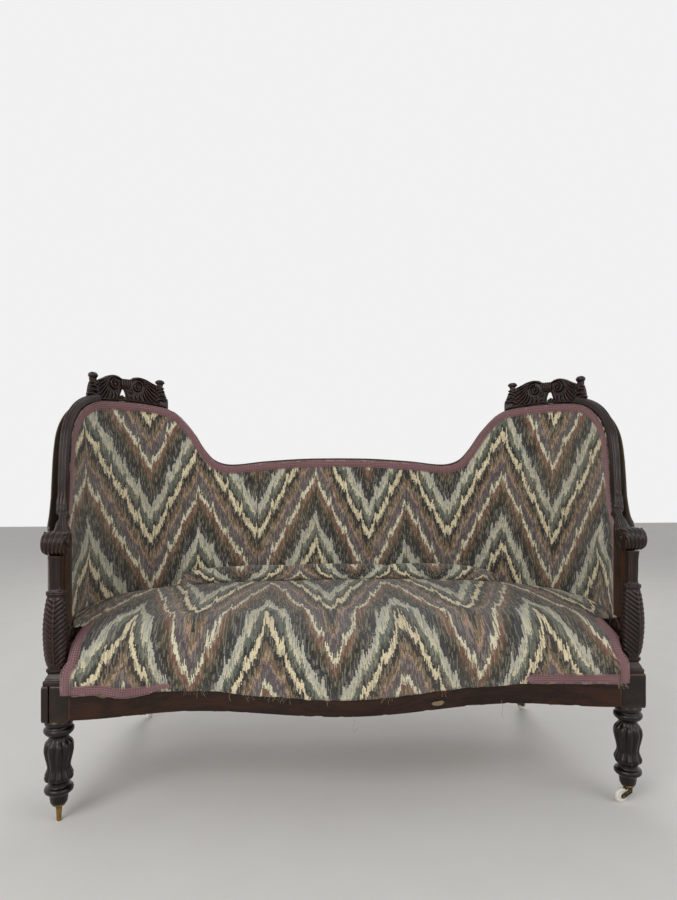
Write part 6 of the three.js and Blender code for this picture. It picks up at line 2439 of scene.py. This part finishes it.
    def stuffing(self, across: Array) -> None:
        """Matted hair and hessian under the cover, closed underneath.

        Args:
            across: Places across.
        """
        few = across[::3]
        x = few * SEAT_FRAME.inner_face
        grid, _ = self.surface(few, 16, np.full_like(x, SEAT_FRAME.rail_top + 0.0008))
        grid = grid[4:]
        grid[0, :, 2] = SEAT_FRAME.rail_top + 0.0008
        shell = sheet_object("probe", grid)
        pointed(shell, (0.0, -0.3, 1.0))
        normals = normals_of(shell).reshape(grid.shape)
        bpy.data.objects.remove(shell)
        lumps = 0.0125 + 0.0015 * (1 + noise(grid.reshape(-1, 3), 0.028, 21).reshape(grid.shape[:2]))
        top = grid - normals * lumps[..., None]
        top[..., 0] *= 0.994
        top[-1, :, 1] -= 0.004
        top[..., 2] = np.maximum(top[..., 2], SEAT_FRAME.rail_top + 0.0006)
        floor = top.copy()
        inner = SEAT_FRAME.front(top[..., 0]) + FRONT_Y + 0.004
        floor[..., 1] = np.maximum(floor[..., 1], inner)
        flat = floor.reshape(-1, 3)
        floor[..., 2] = SEAT_FRAME.rail_top + 0.0004 + 0.0
        well = smoothstep(np.abs(floor[..., 0]), 0.53, 0.49) * smoothstep(floor[..., 1] - FRONT_Y, 0.085,
                0.125) * smoothstep(
            floor[..., 1] - FRONT_Y, 0.49, 0.45)
        floor[..., 2] += well * (0.082 + 0.004 * noise(flat, 0.05, 22).reshape(well.shape))
        rows, columns = top.shape[:2]
        count = rows * columns
        faces = []
        for i in range(rows - 1):
            for j in range(columns - 1):
                a = i * columns + j
                faces.append([a, a + 1, a + columns + 1, a + columns])
                faces.append([count + a, count + a + columns, count + a + columns + 1, count + a + 1])
        border = (list(range(columns)) + [i * columns + columns - 1 for i in range(1, rows)]
                  + [(rows - 1) * columns + j for j in range(columns - 2, -1,
                          -1)] + [i * columns for i in range(rows - 2, 0, -1)])
        for a, b in zip(border, border[1:] + border[:1]):
            faces.append([a, count + a, count + b, b][::-1])
        piece = mesh_object("seat_stuffing_matted", np.vstack([top.reshape(-1, 3), floor.reshape(-1, 3)]),
                            faces)
        tidy_normals(piece, 1e-6)
        refined(piece)
        fit(dress(piece, self.finishes.stuffing), "stuffing", "seat_stuffing")


@dataclass
class BackRoll:
    """The roll of cover tucked along the back of the seat."""

    finishes: Finishes
    seat: Seat
    half_length: float = 0.560
    height: float = 0.060
    depth: float = 0.088
    bulge: float = 0.013

    def build(self) -> None:
        """Makes the roll, lets it settle, and lays its pattern."""
        middle = -self.bulge - 0.002 - self.depth / 2
        shares = np.concatenate([np.linspace(-1.0, -0.9, 8), np.linspace(-0.88, 0.88, 90),
                                 np.linspace(0.9, 1.0, 8)])
        angles = np.linspace(0.0, 2 * math.pi, 24, endpoint=False)
        rings, marks = [], []
        for share in shares:
            s = share * self.half_length
            taper = math.sqrt(max(0.03, 1 - abs(share) ** 14))
            wander = float(noise(np.array([[s, 0.0, 0.0]]), 0.11, 31)[0])
            half_h = self.height / 2 * taper * (0.90 + 0.05 * wander)
            half_d = self.depth / 2 * taper * (0.93 + 0.04 * wander)
            x = float(PLAN.place(s, middle, 0.0)[0])
            rest = float(self.seat.top(np.array(x), np.array(0.5))) + 0.0022
            flatten = np.where(np.sin(angles) < 0, 0.75, 1.0)
            out = middle + half_d * np.cos(angles)
            z = rest + 0.75 * half_h + half_h * np.sin(angles) * flatten
            rings.append(PLAN.place(np.full_like(out, s), out, z))
            marks.append(np.column_stack([np.full_like(angles, s + 0.055),
                                          0.44 + 0.075 * np.sin(angles) - 0.01 * np.cos(angles)]))
        work = Solid()
        work.loft(np.array(rings))
        ends = np.array([marks[0].mean(axis=0), marks[-1].mean(axis=0)])
        piece = mesh_object("seat_roll", np.vstack(work.verts), work.faces)
        lay_uv(piece, np.vstack([np.vstack(marks), ends]))
        below = smoothstep(np.sin(angles), -0.35, -0.75)
        held = np.concatenate([np.tile(below, len(shares)), [0.6, 0.6]])
        inflate(piece, held, 2.2, 0.006)
        places, normals = points_of(piece), normals_of(piece)
        reach = np.abs(places[:, 0])
        folds = smoothstep(reach, 0.36, 0.46) * 0.0024 * np.sin(places[:, 0] * 260 + places[:, 2] * 90)
        sag = 0.0022 * noise(places, 0.055, 33)
        places = places - normals * (folds + sag)[:, None]
        floor = self.seat.top(places[:, 0], places[:, 1] - FRONT_Y) + 0.0008
        places[:, 2] = np.maximum(places[:, 2], floor)
        move_points(piece, places)
        tidy_normals(piece, 1e-7)
        refined(piece)
        fit(dress(piece, self.finishes.back_flame), "flame_fabric", "back_roll")


# Repeated things, laid by Geometry Nodes


class Repeat:
    """Lays a small thing at every point of a path, turned by the path's own directions."""

    def __init__(self, name: str) -> None:
        """Builds the tree for the named thing.

        Args:
            name: The name that the new piece or group gets.
        """
        self.tree = bpy.data.node_groups.new(name, "GeometryNodeTree")
        self.graph = Graph(self.tree)
        self.sockets: dict[str, str] = {}
        self.tree.interface.new_socket("Geometry", in_out="INPUT", socket_type="NodeSocketGeometry")
        self.tree.interface.new_socket("Geometry", in_out="OUTPUT", socket_type="NodeSocketGeometry")
        for socket, kind, value in (
            ("Width", "NodeSocketFloat", 0.004), ("Thickness", "NodeSocketFloat", 0.001),
                                    ("Wobble", "NodeSocketFloat", 0.2),
            ("Seed", "NodeSocketInt", 7), ("Finish", "NodeSocketMaterial", None),
        ):
            made = self.tree.interface.new_socket(socket, in_out="INPUT", socket_type=kind)
            if value is not None:
                made.default_value = value
            self.sockets[socket] = made.identifier
        self.entry = self.graph.add("NodeGroupInput")

    def loop(self) -> bpy.types.NodeSocket:
        """A thread loop: a ring of cord, seen from above.

        Returns:
            The output socket.
        """
        ring = self.graph.add("GeometryNodeCurvePrimitiveCircle",
                              {"Resolution": 8, "Radius": self.entry.outputs["Width"]})
        cord = self.graph.add("GeometryNodeCurvePrimitiveCircle",
                              {"Resolution": 4, "Radius": self.entry.outputs["Thickness"]})
        made = self.graph.add("GeometryNodeCurveToMesh", {0: ring.outputs[0], 1: cord.outputs[0]})
        return made.outputs[0]

    def dome(self) -> bpy.types.NodeSocket:
        """A tack's domed head.

        Returns:
            The output socket.
        """
        ball = self.graph.add("GeometryNodeMeshUVSphere", {"Segments": 8, "Rings": 5,
                "Radius": self.entry.outputs["Width"]})
        flat = self.graph.add("GeometryNodeTransform", {0: ball.outputs[0], "Scale": (1.0, 1.0, 0.45)})
        return flat.outputs[0]

    def strand(self) -> bpy.types.NodeSocket:
        """A short wavy thread that stands off the surface.

        Returns:
            The output socket.
        """
        line = self.graph.add("GeometryNodeCurvePrimitiveBezierSegment", {
            "Resolution": 6, "Start": (0.0, 0.0, 0.0), "Start Handle": (0.002, 0.004, 0.002),
            "End Handle": (-0.003, 0.008, 0.003), "End": (0.001, 0.013, 0.001),
        })
        cord = self.graph.add("GeometryNodeCurvePrimitiveCircle",
                              {"Resolution": 3, "Radius": self.entry.outputs["Thickness"]})
        made = self.graph.add("GeometryNodeCurveToMesh", {0: line.outputs[0], 1: cord.outputs[0],
                "Fill Caps": True})
        return made.outputs[0]

    def finish(self, thing: bpy.types.NodeSocket) -> None:
        """Joins the tree's parts.

        Args:
            thing: The socket with the thing that is repeated.
        """
        graph = self.graph
        out = graph.add("GeometryNodeInputNamedAttribute", {"Name": "out"}, data_type="FLOAT_VECTOR")
        along = graph.add("GeometryNodeInputNamedAttribute", {"Name": "along"}, data_type="FLOAT_VECTOR")
        up = graph.add("FunctionNodeAlignRotationToVector", {"Vector": out.outputs[0]}, axis="Z")
        turned = graph.add("FunctionNodeAlignRotationToVector",
                           {"Rotation": up.outputs[0], "Vector": along.outputs[0]},
                           axis="X", pivot_axis="Z")
        size = graph.add("FunctionNodeRandomValue", data_type="FLOAT")
        graph.feed(size.inputs[2], graph.math("SUBTRACT", 1.0, self.entry.outputs["Wobble"]))
        graph.feed(size.inputs[3], graph.math("ADD", 1.0, self.entry.outputs["Wobble"]))
        graph.feed(size.inputs["Seed"], self.entry.outputs["Seed"])
        placed = graph.add("GeometryNodeInstanceOnPoints", {
            "Points": self.entry.outputs["Geometry"], "Instance": thing, "Rotation": turned.outputs[0],
                    "Scale": size.outputs[1],
        })
        real = graph.add("GeometryNodeRealizeInstances", {0: placed.outputs[0]})
        done = graph.add("GeometryNodeSetMaterial", {0: real.outputs[0],
                "Material": self.entry.outputs["Finish"]})
        leave = graph.add("NodeGroupOutput")
        graph.feed(leave.inputs[0], done.outputs[0])

    def lay(self, name: str, places: Array, along: Array, out: Array, finish: bpy.types.Material,
            **sizes: float) -> bpy.types.Object:
        """Lays the thing along a path.

        Args:
            name: the new piece's name.
            places: where each one goes.
            along: the path's direction at each.
            out: the direction away from the surface at each.
            finish: its material.
            sizes: values for the tree's named inputs.

        Returns:
            The finished piece.
        """
        piece = mesh_object(name, places, [])
        for label, values in (("along", along), ("out", out)):
            layer = piece.data.attributes.new(label, "FLOAT_VECTOR", "POINT")
            layer.data.foreach_set("vector", np.asarray(values, dtype=np.float32).ravel())
        repeat = piece.modifiers.new("repeat", "NODES")
        repeat.node_group = self.tree
        for label, value in sizes.items():
            repeat[self.sockets[label]] = value
        repeat[self.sockets["Finish"]] = finish
        apply_modifiers(piece)
        for polygon in piece.data.polygons:
            polygon.use_smooth = True
        return piece


def join(name: str, *parts: bpy.types.Object) -> bpy.types.Object:
    """Makes one piece of several meshes that share their materials' order.

    Args:
        name: The name that the new piece or group gets.

    Returns:
        The piece.
    """
    verts, faces, slots, materials, cord_vs_shaded_band = [], [], [], [], []
    count = 0
    for number, part in enumerate(parts):
        places = points_of(part)
        verts.append(places)
        cord_vs_shaded_band += [min(1.0, float(number))] * len(places)
        for material in part.data.materials:
            if material not in materials:
                materials.append(material)
        for polygon in part.data.polygons:
            faces.append([v + count for v in polygon.vertices])
            slots.append(materials.index(part.data.materials[polygon.material_index]))
        count += len(places)
    piece = mesh_object(name, np.vstack(verts), faces)
    for material in materials:
        piece.data.materials.append(material)
    piece.data.polygons.foreach_set("material_index", slots)
    # The cord attribute is 1 on the loops and 0 on the first part, the flat band; the braid finish paints shade
    # where it is 0.
    piece.data.attributes.new("cord", "FLOAT", "POINT").data.foreach_set("value", cord_vs_shaded_band)
    for part in parts:
        bpy.data.objects.remove(part)
    return piece


@dataclass
class Gimp:
    """Gimp braid: a flat woven band with a row of looped cord along each side."""

    finishes: Finishes
    seat: Seat
    width: float = 0.020
    thickness: float = 0.0019
    pitch: float = 0.0058
    inset: float = 0.0115

    def __post_init__(self) -> None:
        """Builds the loop tree."""
        self.loops = Repeat("gimp_loops")
        self.loops.finish(self.loops.loop())

    def band(self, name: str, path: Array, out: Array, nodes: Sequence[str], seed: int,
             tail: float = 0.0) -> None:
        """Makes one length of braid.

        Args:
            name: the piece's name.
            path: the middle line on the surface.
            out: the direction away from the surface at each point.
            nodes: the CAD nodes that it stands for.
            seed: the fixed seed of its unevenness.
            tail: the length over which its torn end narrows.
        """
        run = np.concatenate([[0.0], np.cumsum(np.linalg.norm(np.diff(path, axis=0), axis=1))])
        even = np.linspace(0.0, run[-1], max(8, int(run[-1] / self.pitch)))
        line = np.stack([np.interp(even, run, path[:, k]) for k in range(3)], axis=1)
        away = unit(np.stack([np.interp(even, run, out[:, k]) for k in range(3)], axis=1))
        tangent = unit(np.gradient(line, axis=0))
        across = unit(np.cross(tangent, away))
        marks = np.column_stack([even, even * 0, even * 0])
        line = line + across * (0.0009 * noise(marks, 0.05, seed))[:, None]
        halves = (self.width / 2 - 0.0016) * (1 - 0.72 * smoothstep(even, run[-1] - tail,
                run[-1] + 1e-6)) if tail else np.full(
            len(line), self.width / 2 - 0.0016)
        rings = []
        for i, p in enumerate(line):
            cord, half = 0.0005 * (i % 2), halves[i]
            flat = np.array([
                [-half, 0], [half, 0], [half, self.thickness * .55], [half * .62, self.thickness * .62],
                [half * .5, self.thickness + cord], [0, self.thickness * 1.12],
                             [-half * .5, self.thickness + cord],
                [-half * .62, self.thickness * .62], [-half, self.thickness * .55],
            ])
            rings.append(p + flat[:, :1] * across[i] + flat[:, 1:] * away[i])
        work = Solid()
        work.loft(np.array(rings))
        base = dress(work.build(f"{name}_band"), self.finishes.braid)
        parts = [base]
        for k, (place, size) in enumerate(((-1.0, 0.0034), (1.0, 0.0034), (-0.34, 0.0030), (0.34, 0.0030))):
            where = line + across * (halves[:,
                                            None] * place) + away * (self.thickness
                                                    * (0.75 if abs(place) == 1 else 1.15))
            parts.append(self.loops.lay(f"{name}_loops_{k}", where, tangent, away, self.finishes.braid,
                                        Width=size, Thickness=0.00110, Wobble=0.10, Seed=seed + k))
        piece = join(name, *parts)
        fit(piece, "braid", *nodes)

    def back_line(self) -> tuple[Array, Array]:
        """The braid's line round the edge of the back, from the right arm to the left.

        Returns:
            The line's points and their outward directions.
        """
        start = PLAN.panel_end - self.inset
        half = [
            [start, 0.496], [start, (0.462 + PLAN.arm_top) / 2 + 0.020],
                [start, PLAN.arm_top - self.inset - 0.012],
            [start - 0.003, PLAN.arm_top - self.inset + 0.001],
        ]
        edge = PLAN.edge(0.006)
        tangent = unit(np.gradient(edge, axis=0))
        inside = edge + self.inset * np.stack([tangent[:, 1], -tangent[:, 0]], axis=1)
        inside = inside[(edge[:, 0] < start - 0.010) & (inside[:, 0] > 0.002)][::-1]
        line = catmull_rom(np.vstack([half, inside, [[0.0, PLAN.centre_top - self.inset]]]), 3)
        line = np.vstack([line, line[-2::-1] * np.array([-1.0, 1.0])])
        path = PLAN.place(line[:, 0], -0.0004, line[:, 1])
        out = unit(PLAN.place(line[:, 0], -0.0014, line[:, 1]) - path)
        return path, out

    def seat_line(self, side: Side) -> tuple[Array, Array]:
        """The braid's line over the nose of the seat and down its front corner.

        Args:
            side: The end of the settee.

        Returns:
            The line's points and their outward directions.
        """
        edge = SEAT_FRAME.inner_face - GAP
        front = float(SEAT_FRAME.front(edge)) - GAP - 0.004
        top = float(self.seat.top(np.array(edge), np.array(self.seat.nose)))
        rail = SEAT_FRAME.rail_top
        rows = np.array([
            [self.seat.nose + .006, top], [self.seat.nose - .010, top - .003], [front + .042, top - .019],
            [front + .017, top - .042], [front + .004, rail + .052], [front - .001, rail + .016],
                         [front, rail - .015],
        ])
        fine = catmull_rom(rows, 12)
        tangent = unit(np.gradient(fine, axis=0))
        out = np.column_stack([np.zeros(len(fine)), tangent[:, 1], -tangent[:, 0]])
        out = out * np.where(out[:, 1:2] > 0, -1.0, 1.0)
        x = side.value * (edge - self.width / 2 - 0.001)
        path = np.column_stack([np.full(len(fine), x), fine[:, 0] + FRONT_Y, fine[:, 1]]) + out * 0.0012
        edge_path = path + np.array([side.value * self.width / 2, 0.0, 0.0])
        return path + self.seat.corner(edge_path) - edge_path, out

    def front_line(self, side: Side) -> tuple[Array, Array]:
        """The braid's line along the lower edge, as far as it is left.

        Args:
            side: The end of the settee.

        Returns:
            The line's points and their outward directions.
        """
        share = np.linspace(0.0, 1.0, 60)
        reach = SEAT_FRAME.inner_face - GAP - self.width + 0.006 - 0.223 * share
        x = side.value * reach
        z = SEAT_FRAME.rail_top - 0.018 + self.width / 2 - 0.002 - 0.004 * share
        lift = np.full_like(share, 0.0062)
        if side is Side.LEFT:
            z = z - 0.007 * smoothstep(share, 0.30,
                                       0.60) + 0.002 * np.sin(share * 9) + 0.006 * smoothstep(share, 0.75,
                                               1.0)
            lift = lift + 0.0075 * smoothstep(share, 0.25, 0.50) * smoothstep(share, 1.0, 0.8)
        else:
            z = z + 0.002 * np.sin(share * 5 + 0.5)
        path = np.column_stack([x, SEAT_FRAME.front(x) + FRONT_Y - lift, z])
        out = np.tile([0.0, -1.0, 0.0], (len(share), 1))
        return path, out

    def build(self) -> None:
        """Makes every length."""
        self.band("gimp_back", *self.back_line(), ["braid_back"], 41)
        for number, side in enumerate(Side):
            self.band(f"gimp_seat_{side.word}", *self.seat_line(side), [f"braid_seat_{side.word}"],
                      51 + number)
            self.band(f"gimp_front_{side.word}", *self.front_line(side), [f"braid_front_{side.word}"],
                      61 + number,
                      tail=0.085 if side is Side.LEFT else 0.012)


@dataclass
class LooseThings:
    """Tacks, frayed threads, and the scraps of hessian and lining that hang where the cover is torn."""

    finishes: Finishes
    seat: Seat

    def fringe(self, name: str, x: Array, z: Array, lift: float, spread: float, seed: int,
               nodes: Sequence[str] = ()) -> None:
        """Frayed ends along a torn edge at the front of the seat.

        Args:
            name: the piece's name.
            x: places across.
            z: heights.
            lift: how far in front of the rail they start.
            spread: how much they lean to the sides.
            seed: the fixed seed.
            nodes: the CAD nodes that they go with.
        """
        strands = Repeat(f"{name}_strands")
        strands.finish(strands.strand())
        marks = np.column_stack([x, z, np.full_like(x, seed)])
        lean = spread * noise(marks, 0.004, seed)
        along = unit(np.column_stack([np.ones_like(x), 0.2 * lean, lean]))
        down = unit(np.column_stack([0.5 * lean, np.full_like(x, -0.45), np.full_like(x, -1.0)]))
        out = unit(np.cross(along, down))
        places = np.column_stack([x, self.seat_front(x) - lift, z])
        piece = strands.lay(name, places, along, out, self.finishes.thread, Thickness=0.00030, Wobble=0.45,
                            Seed=seed)
        fit(piece, "", *nodes)

    def seat_front(self, x: Array) -> Array:
        """The front face of the rail under the cover."""
        return SEAT_FRAME.front(x) + FRONT_Y

    def tacks(self) -> None:
        """Small tacks along the cover's lower edge, left where the braid has gone."""
        dome = Repeat("tack_heads")
        dome.finish(dome.dome())
        x = np.concatenate([np.linspace(-0.455, 0.455, 27), [-0.60, -0.53, 0.57]])
        z = self.seat.skirt(x) + 0.0055
        places = np.column_stack([x, self.seat_front(x) - 0.0052, z])
        ones = np.ones_like(x)
        along = np.column_stack([ones, 0 * ones, 0 * ones])
        out = np.column_stack([0 * ones, -ones, 0 * ones])
        piece = dome.lay("cover_tacks", places, along, out, self.finishes.tack, Width=0.0019, Wobble=0.15,
                         Seed=5)
        fit(piece, "")

    def hanging(self, name: str, points: Sequence[Sequence[float]], thickness: float) -> bpy.types.Object:
        """One loose thread through points, each a place across, in front of the rail, and a height.

        Args:
            name: The name that the new piece or group gets.
            points: The points, one row each.
            thickness: Thickness, in metres.

        Returns:
            The piece.
        """
        line = catmull_rom(np.array(points, dtype=float), 8)
        path = np.column_stack([line[:, 0], self.seat_front(line[:, 0]) - line[:, 1], line[:, 2]])
        work = Solid()
        work.loft(tube_rings(path, np.full(len(path), thickness), 5))
        return dress(work.build(name), self.finishes.thread)

    def scrap(self, name: str, points: Sequence[Sequence[float]], width: float,
              material: bpy.types.Material, seed: int) -> None:
        """A torn strip that hangs along the rail: its points are as those of a hanging thread.

        Args:
            name: The name that the new piece or group gets.
            points: The points, one row each.
            width: Width across, in metres.
            material: The finish.
            seed: Seed of the random turns.
        """
        line = catmull_rom(np.array(points, dtype=float), 9)
        path = np.column_stack([line[:, 0], self.seat_front(line[:, 0]) - line[:, 1], line[:, 2]])
        share = np.linspace(-0.5, 0.5, 9)
        count = len(path)
        ends = smoothstep(np.minimum(np.arange(count), np.arange(count)[::-1]), -0.5, 4.0)
        ragged = 1 + 0.55 * noise(np.column_stack([path[:, 0], path[:, 2], np.full(count, seed)]), 0.008,
                                  seed)
        tall = width * ends * np.maximum(ragged, 0.25)
        grid = path[None, :, :] + np.array([0.0, 0.0, 1.0]) * (share[:, None] * tall[None, :])[..., None]
        grid[..., 1] -= 0.0014 * np.abs(noise(grid.reshape(-1, 3), 0.006, seed + 1).reshape(grid.shape[:2]))
        piece = sheet_object(name, grid)
        pointed(piece, (0.0, -1.0, 0.0))
        walled(piece, 0.0009)
        fit(dress(piece, material), "")

    def build(self) -> None:
        """Makes them all."""
        rail = SEAT_FRAME.rail_top
        self.tacks()
        torn = np.linspace(-0.45, 0.45, 190)
        keep = noise(np.column_stack([torn, torn * 0, torn * 0]), 0.03, 71) > 0.12
        self.fringe("frayed_edge", torn[keep], self.seat.skirt(torn[keep]) + 0.0018, 0.0042, 1.3, 72)
        tuft = np.linspace(0.688, 0.712, 26)
        self.fringe("frayed_corner", tuft, np.full_like(tuft, rail - 0.0165), 0.0068, 2.2, 73)
        self.scrap("lining_scrap", [(-0.640, .0085, rail - .0215), (-0.600, .0090, rail - .0225),
                                    (-0.560, .0100, rail - .0235),
                                    (-0.520, .0085, rail - .0230)], 0.0115, self.finishes.lining, 81)
        low = 0.2800
        self.scrap("hessian_scrap", [(0.205, .0022, low), (0.222, .0026, low - .001),
                                     (0.240, .0022, low + .001)], 0.0110,
                   self.finishes.hessian, 82)
        threads = [
            self.hanging("thread_curled", [(0.0, .0016, .266), (.003, .0022, .250), (-.001, .0026, .236),
                                           (.004, .0030, .226),
                                           (.009, .0036, .231), (.006, .0036, .236)], 0.00045),
            self.hanging("thread_long", [(.398, .0016, .272), (.402, .0022, .252), (.399, .0030, .238),
                                         (.403, .0034, .225)], 0.00045),
            self.hanging("thread_short", [(-.31, .0060, rail - .030), (-.313, .0085, rail - .042),
                                          (-.309, .0080, rail - .053)], 0.0004),
        ]
        fit(join("loose_threads", *threads), "")


# Casters


@dataclass
class Caster:
    """Brass cup, swivelling horn and white wheel of one leg."""

    finishes: Finishes
    corner: str
    at: tuple[float, float]
    heading: float
    wheel_radius: float = 0.019
    wheel_width: float = 0.014
    trail: float = 0.022

    def wheel(self) -> bpy.types.Object:
        """Crowned wheel with a raised hub.

        Returns:
            The piece.
        """
        turn = math.radians(self.heading)
        centre = np.array([self.at[0] + self.trail * math.cos(turn),
                           self.at[1] + self.trail * math.sin(turn), self.wheel_radius])
        axis = np.array([-math.sin(turn), math.cos(turn), 0.0])
        r, w = self.wheel_radius, self.wheel_width / 2
        profile = catmull_rom(np.array([
            [.0030, -w], [.0060, -w], [.0066, -w + .0008], [.0100, -w + .0016], [.0140, -w + .0010],
                                        [r - .0016, -w + .0022],
            [r - .0003, -w + .0045], [r, 0.0], [r - .0003, w - .0045], [r - .0016, w - .0022],
                                        [.0140, w - .0010],
            [.0100, w - .0016], [.0066, w - .0008], [.0060, w], [.0030, w],
        ]), 4)
        work = Solid()
        rings = lathe(profile, 56, centre, axis)
        work.loft(rings, closed=True)
        return work.build(f"wheel_turned_{self.corner}")

    def cup(self) -> bpy.types.Object:
        """Stepped brass cup that the foot stands in.

        Returns:
            The piece.
        """
        profile = catmull_rom(np.array([
            [.0034, .0364], [.0078, .0364], [.0080, .0370], [.0080, .0400], [.0085, .0408], [.0150, .0410],
                                        [.0160, .0416],
            [.0160, .0456], [.0155, .0462], [.0122, .0463],
        ]), 4)
        ground = np.vstack([profile, [[.0119, .0460], [.0119, .0432], [.0034, .0430]]])
        work = Solid()
        work.loft(lathe(ground, 48, (self.at[0], self.at[1], 0.0)), closed=True)
        return work.build(f"cup_turned_{self.corner}")

    def build(self) -> None:
        """Makes and dresses the caster."""
        swivel, wheel = f"swivel_{self.corner}", f"wheel_{self.corner}"
        fit(dress(self.cup(), self.finishes.brass), "brass", f"caster_cup_{self.corner}")
        horn = node_copy(f"caster_horn_{self.corner}", f"horn_cast_{self.corner}", 0.0005)
        fit(dress(horn, self.finishes.horn), "brass", f"caster_horn_{self.corner}", body=swivel)
        axle = node_copy(f"caster_axle_{self.corner}", f"axle_riveted_{self.corner}", 0.0003, 1)
        fit(dress(axle, self.finishes.steel), "caster_steel", f"caster_axle_{self.corner}", body=swivel)
        fit(dress(self.wheel(), self.finishes.ceramic), "ceramic", f"caster_wheel_{self.corner}", body=wheel)


@dataclass
class Underside:
    """Webbing and coil springs under the seat."""

    finishes: Finishes

    def strap(self, number: int) -> None:
        """One webbing strap, with woven edges and a slight sag.

        Args:
            number: Which one it is, counted from the left.
        """
        low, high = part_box(f"web_strap_{number}")
        y = np.linspace(low[1], high[1], 90)
        x = np.linspace(low[0], high[0], 12)
        gy, gx = np.meshgrid(y, x, indexing="ij")
        sag = 0.0012 * np.sin(math.pi * (gy - low[1]) / (high[1] - low[1]))
        wave = 0.00035 * np.sin(gx * 900) + 0.0003 * np.sin(gy * 500)
        piece = sheet_object(f"webbing_{number}", np.stack([gx, gy, high[2] - 0.0004 - sag + wave], axis=-1))
        pointed(piece, (0, 0, 1))
        walled(piece, 0.0012)
        fit(dress(piece, self.finishes.webbing), "webbing", f"web_strap_{number}")

    def spring(self, number: int) -> None:
        """One waisted coil spring of round wire, with closed end turns.

        Args:
            number: Which one it is, counted from the left.
        """
        low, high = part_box(f"seat_spring_{number}")
        middle = np.array([(low[0] + high[0]) / 2, (low[1] + high[1]) / 2])
        wire = 0.0017
        share = np.linspace(0.0, 1.0, 220)
        angle = 2 * math.pi * 5.0 * share
        rise = low[2] + wire + (high[2] - low[2] - 2 * wire) * smoothstep(share, 0.02, 0.98)
        radius = 0.0425 - 0.014 * np.sin(math.pi * share)
        path = np.column_stack([middle[0] + radius * np.cos(angle), middle[1] + radius * np.sin(angle), rise])
        work = Solid()
        work.loft(tube_rings(path, np.full(len(path), wire), 8))
        fit(dress(work.build(f"coil_{number}"), self.finishes.steel), "spring_steel", f"seat_spring_{number}")

    def build(self) -> None:
        """Makes the straps and the springs."""
        for number in range(1, 6):
            self.strap(number)
        for number in range(1, 7):
            self.spring(number)


def write_sizes(before: object) -> None:
    """Turns the CAD box and the visual model's box into JSON text, which is not kept.

    Args:
        before: The CAD model's box.
    """
    def plain(value: object) -> object:
        """Turns vectors into lists of numbers."""
        if isinstance(value, (int, float)):
            return float(value)
        if isinstance(value, dict):
            return {str(k): plain(v) for k, v in value.items()}
        return [plain(v) for v in value]

    json.dumps({"cad": plain(before), "visual": plain(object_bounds())})


def main() -> None:
    """Builds the settee's sub-assemblies in order."""
    logging.basicConfig(level=logging.INFO, format="%(message)s")
    Studio().build()
    finishes = Finishes()
    seat = Seat(finishes)
    for part in (
        SeatWood(finishes), CarvedWork(finishes), InsideBack(finishes), OutsideBack(finishes), seat,
        BackRoll(finishes, seat), Gimp(finishes, seat), LooseThings(finishes, seat), Underside(finishes),
    ):
        part.build()
        LOG.info("built %s", type(part).__name__)
    back = FRONT_Y + 0.655
    for corner, at, heading in (
        ("front_right", (0.7385, FRONT_Y + 0.0325), 193.0), ("back_left", (-0.655, back), 95.0),
                                ("back_right", (0.655, back), 25.0),
    ):
        Caster(finishes, corner, at, heading).build()
    for node, material in (("caster_cup_front_left", finishes.brass),
                           ("broken_pintle_front_left", finishes.brass)):
        piece = node_copy(node, f"{node}_worn", 0.0004, 1)
        fit(dress(piece, material), "brass", node)
    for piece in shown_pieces():
        LOG.info("piece %s", piece.name)
    write_sizes(CAD_BOX)


if __name__ == "__main__":
    main()
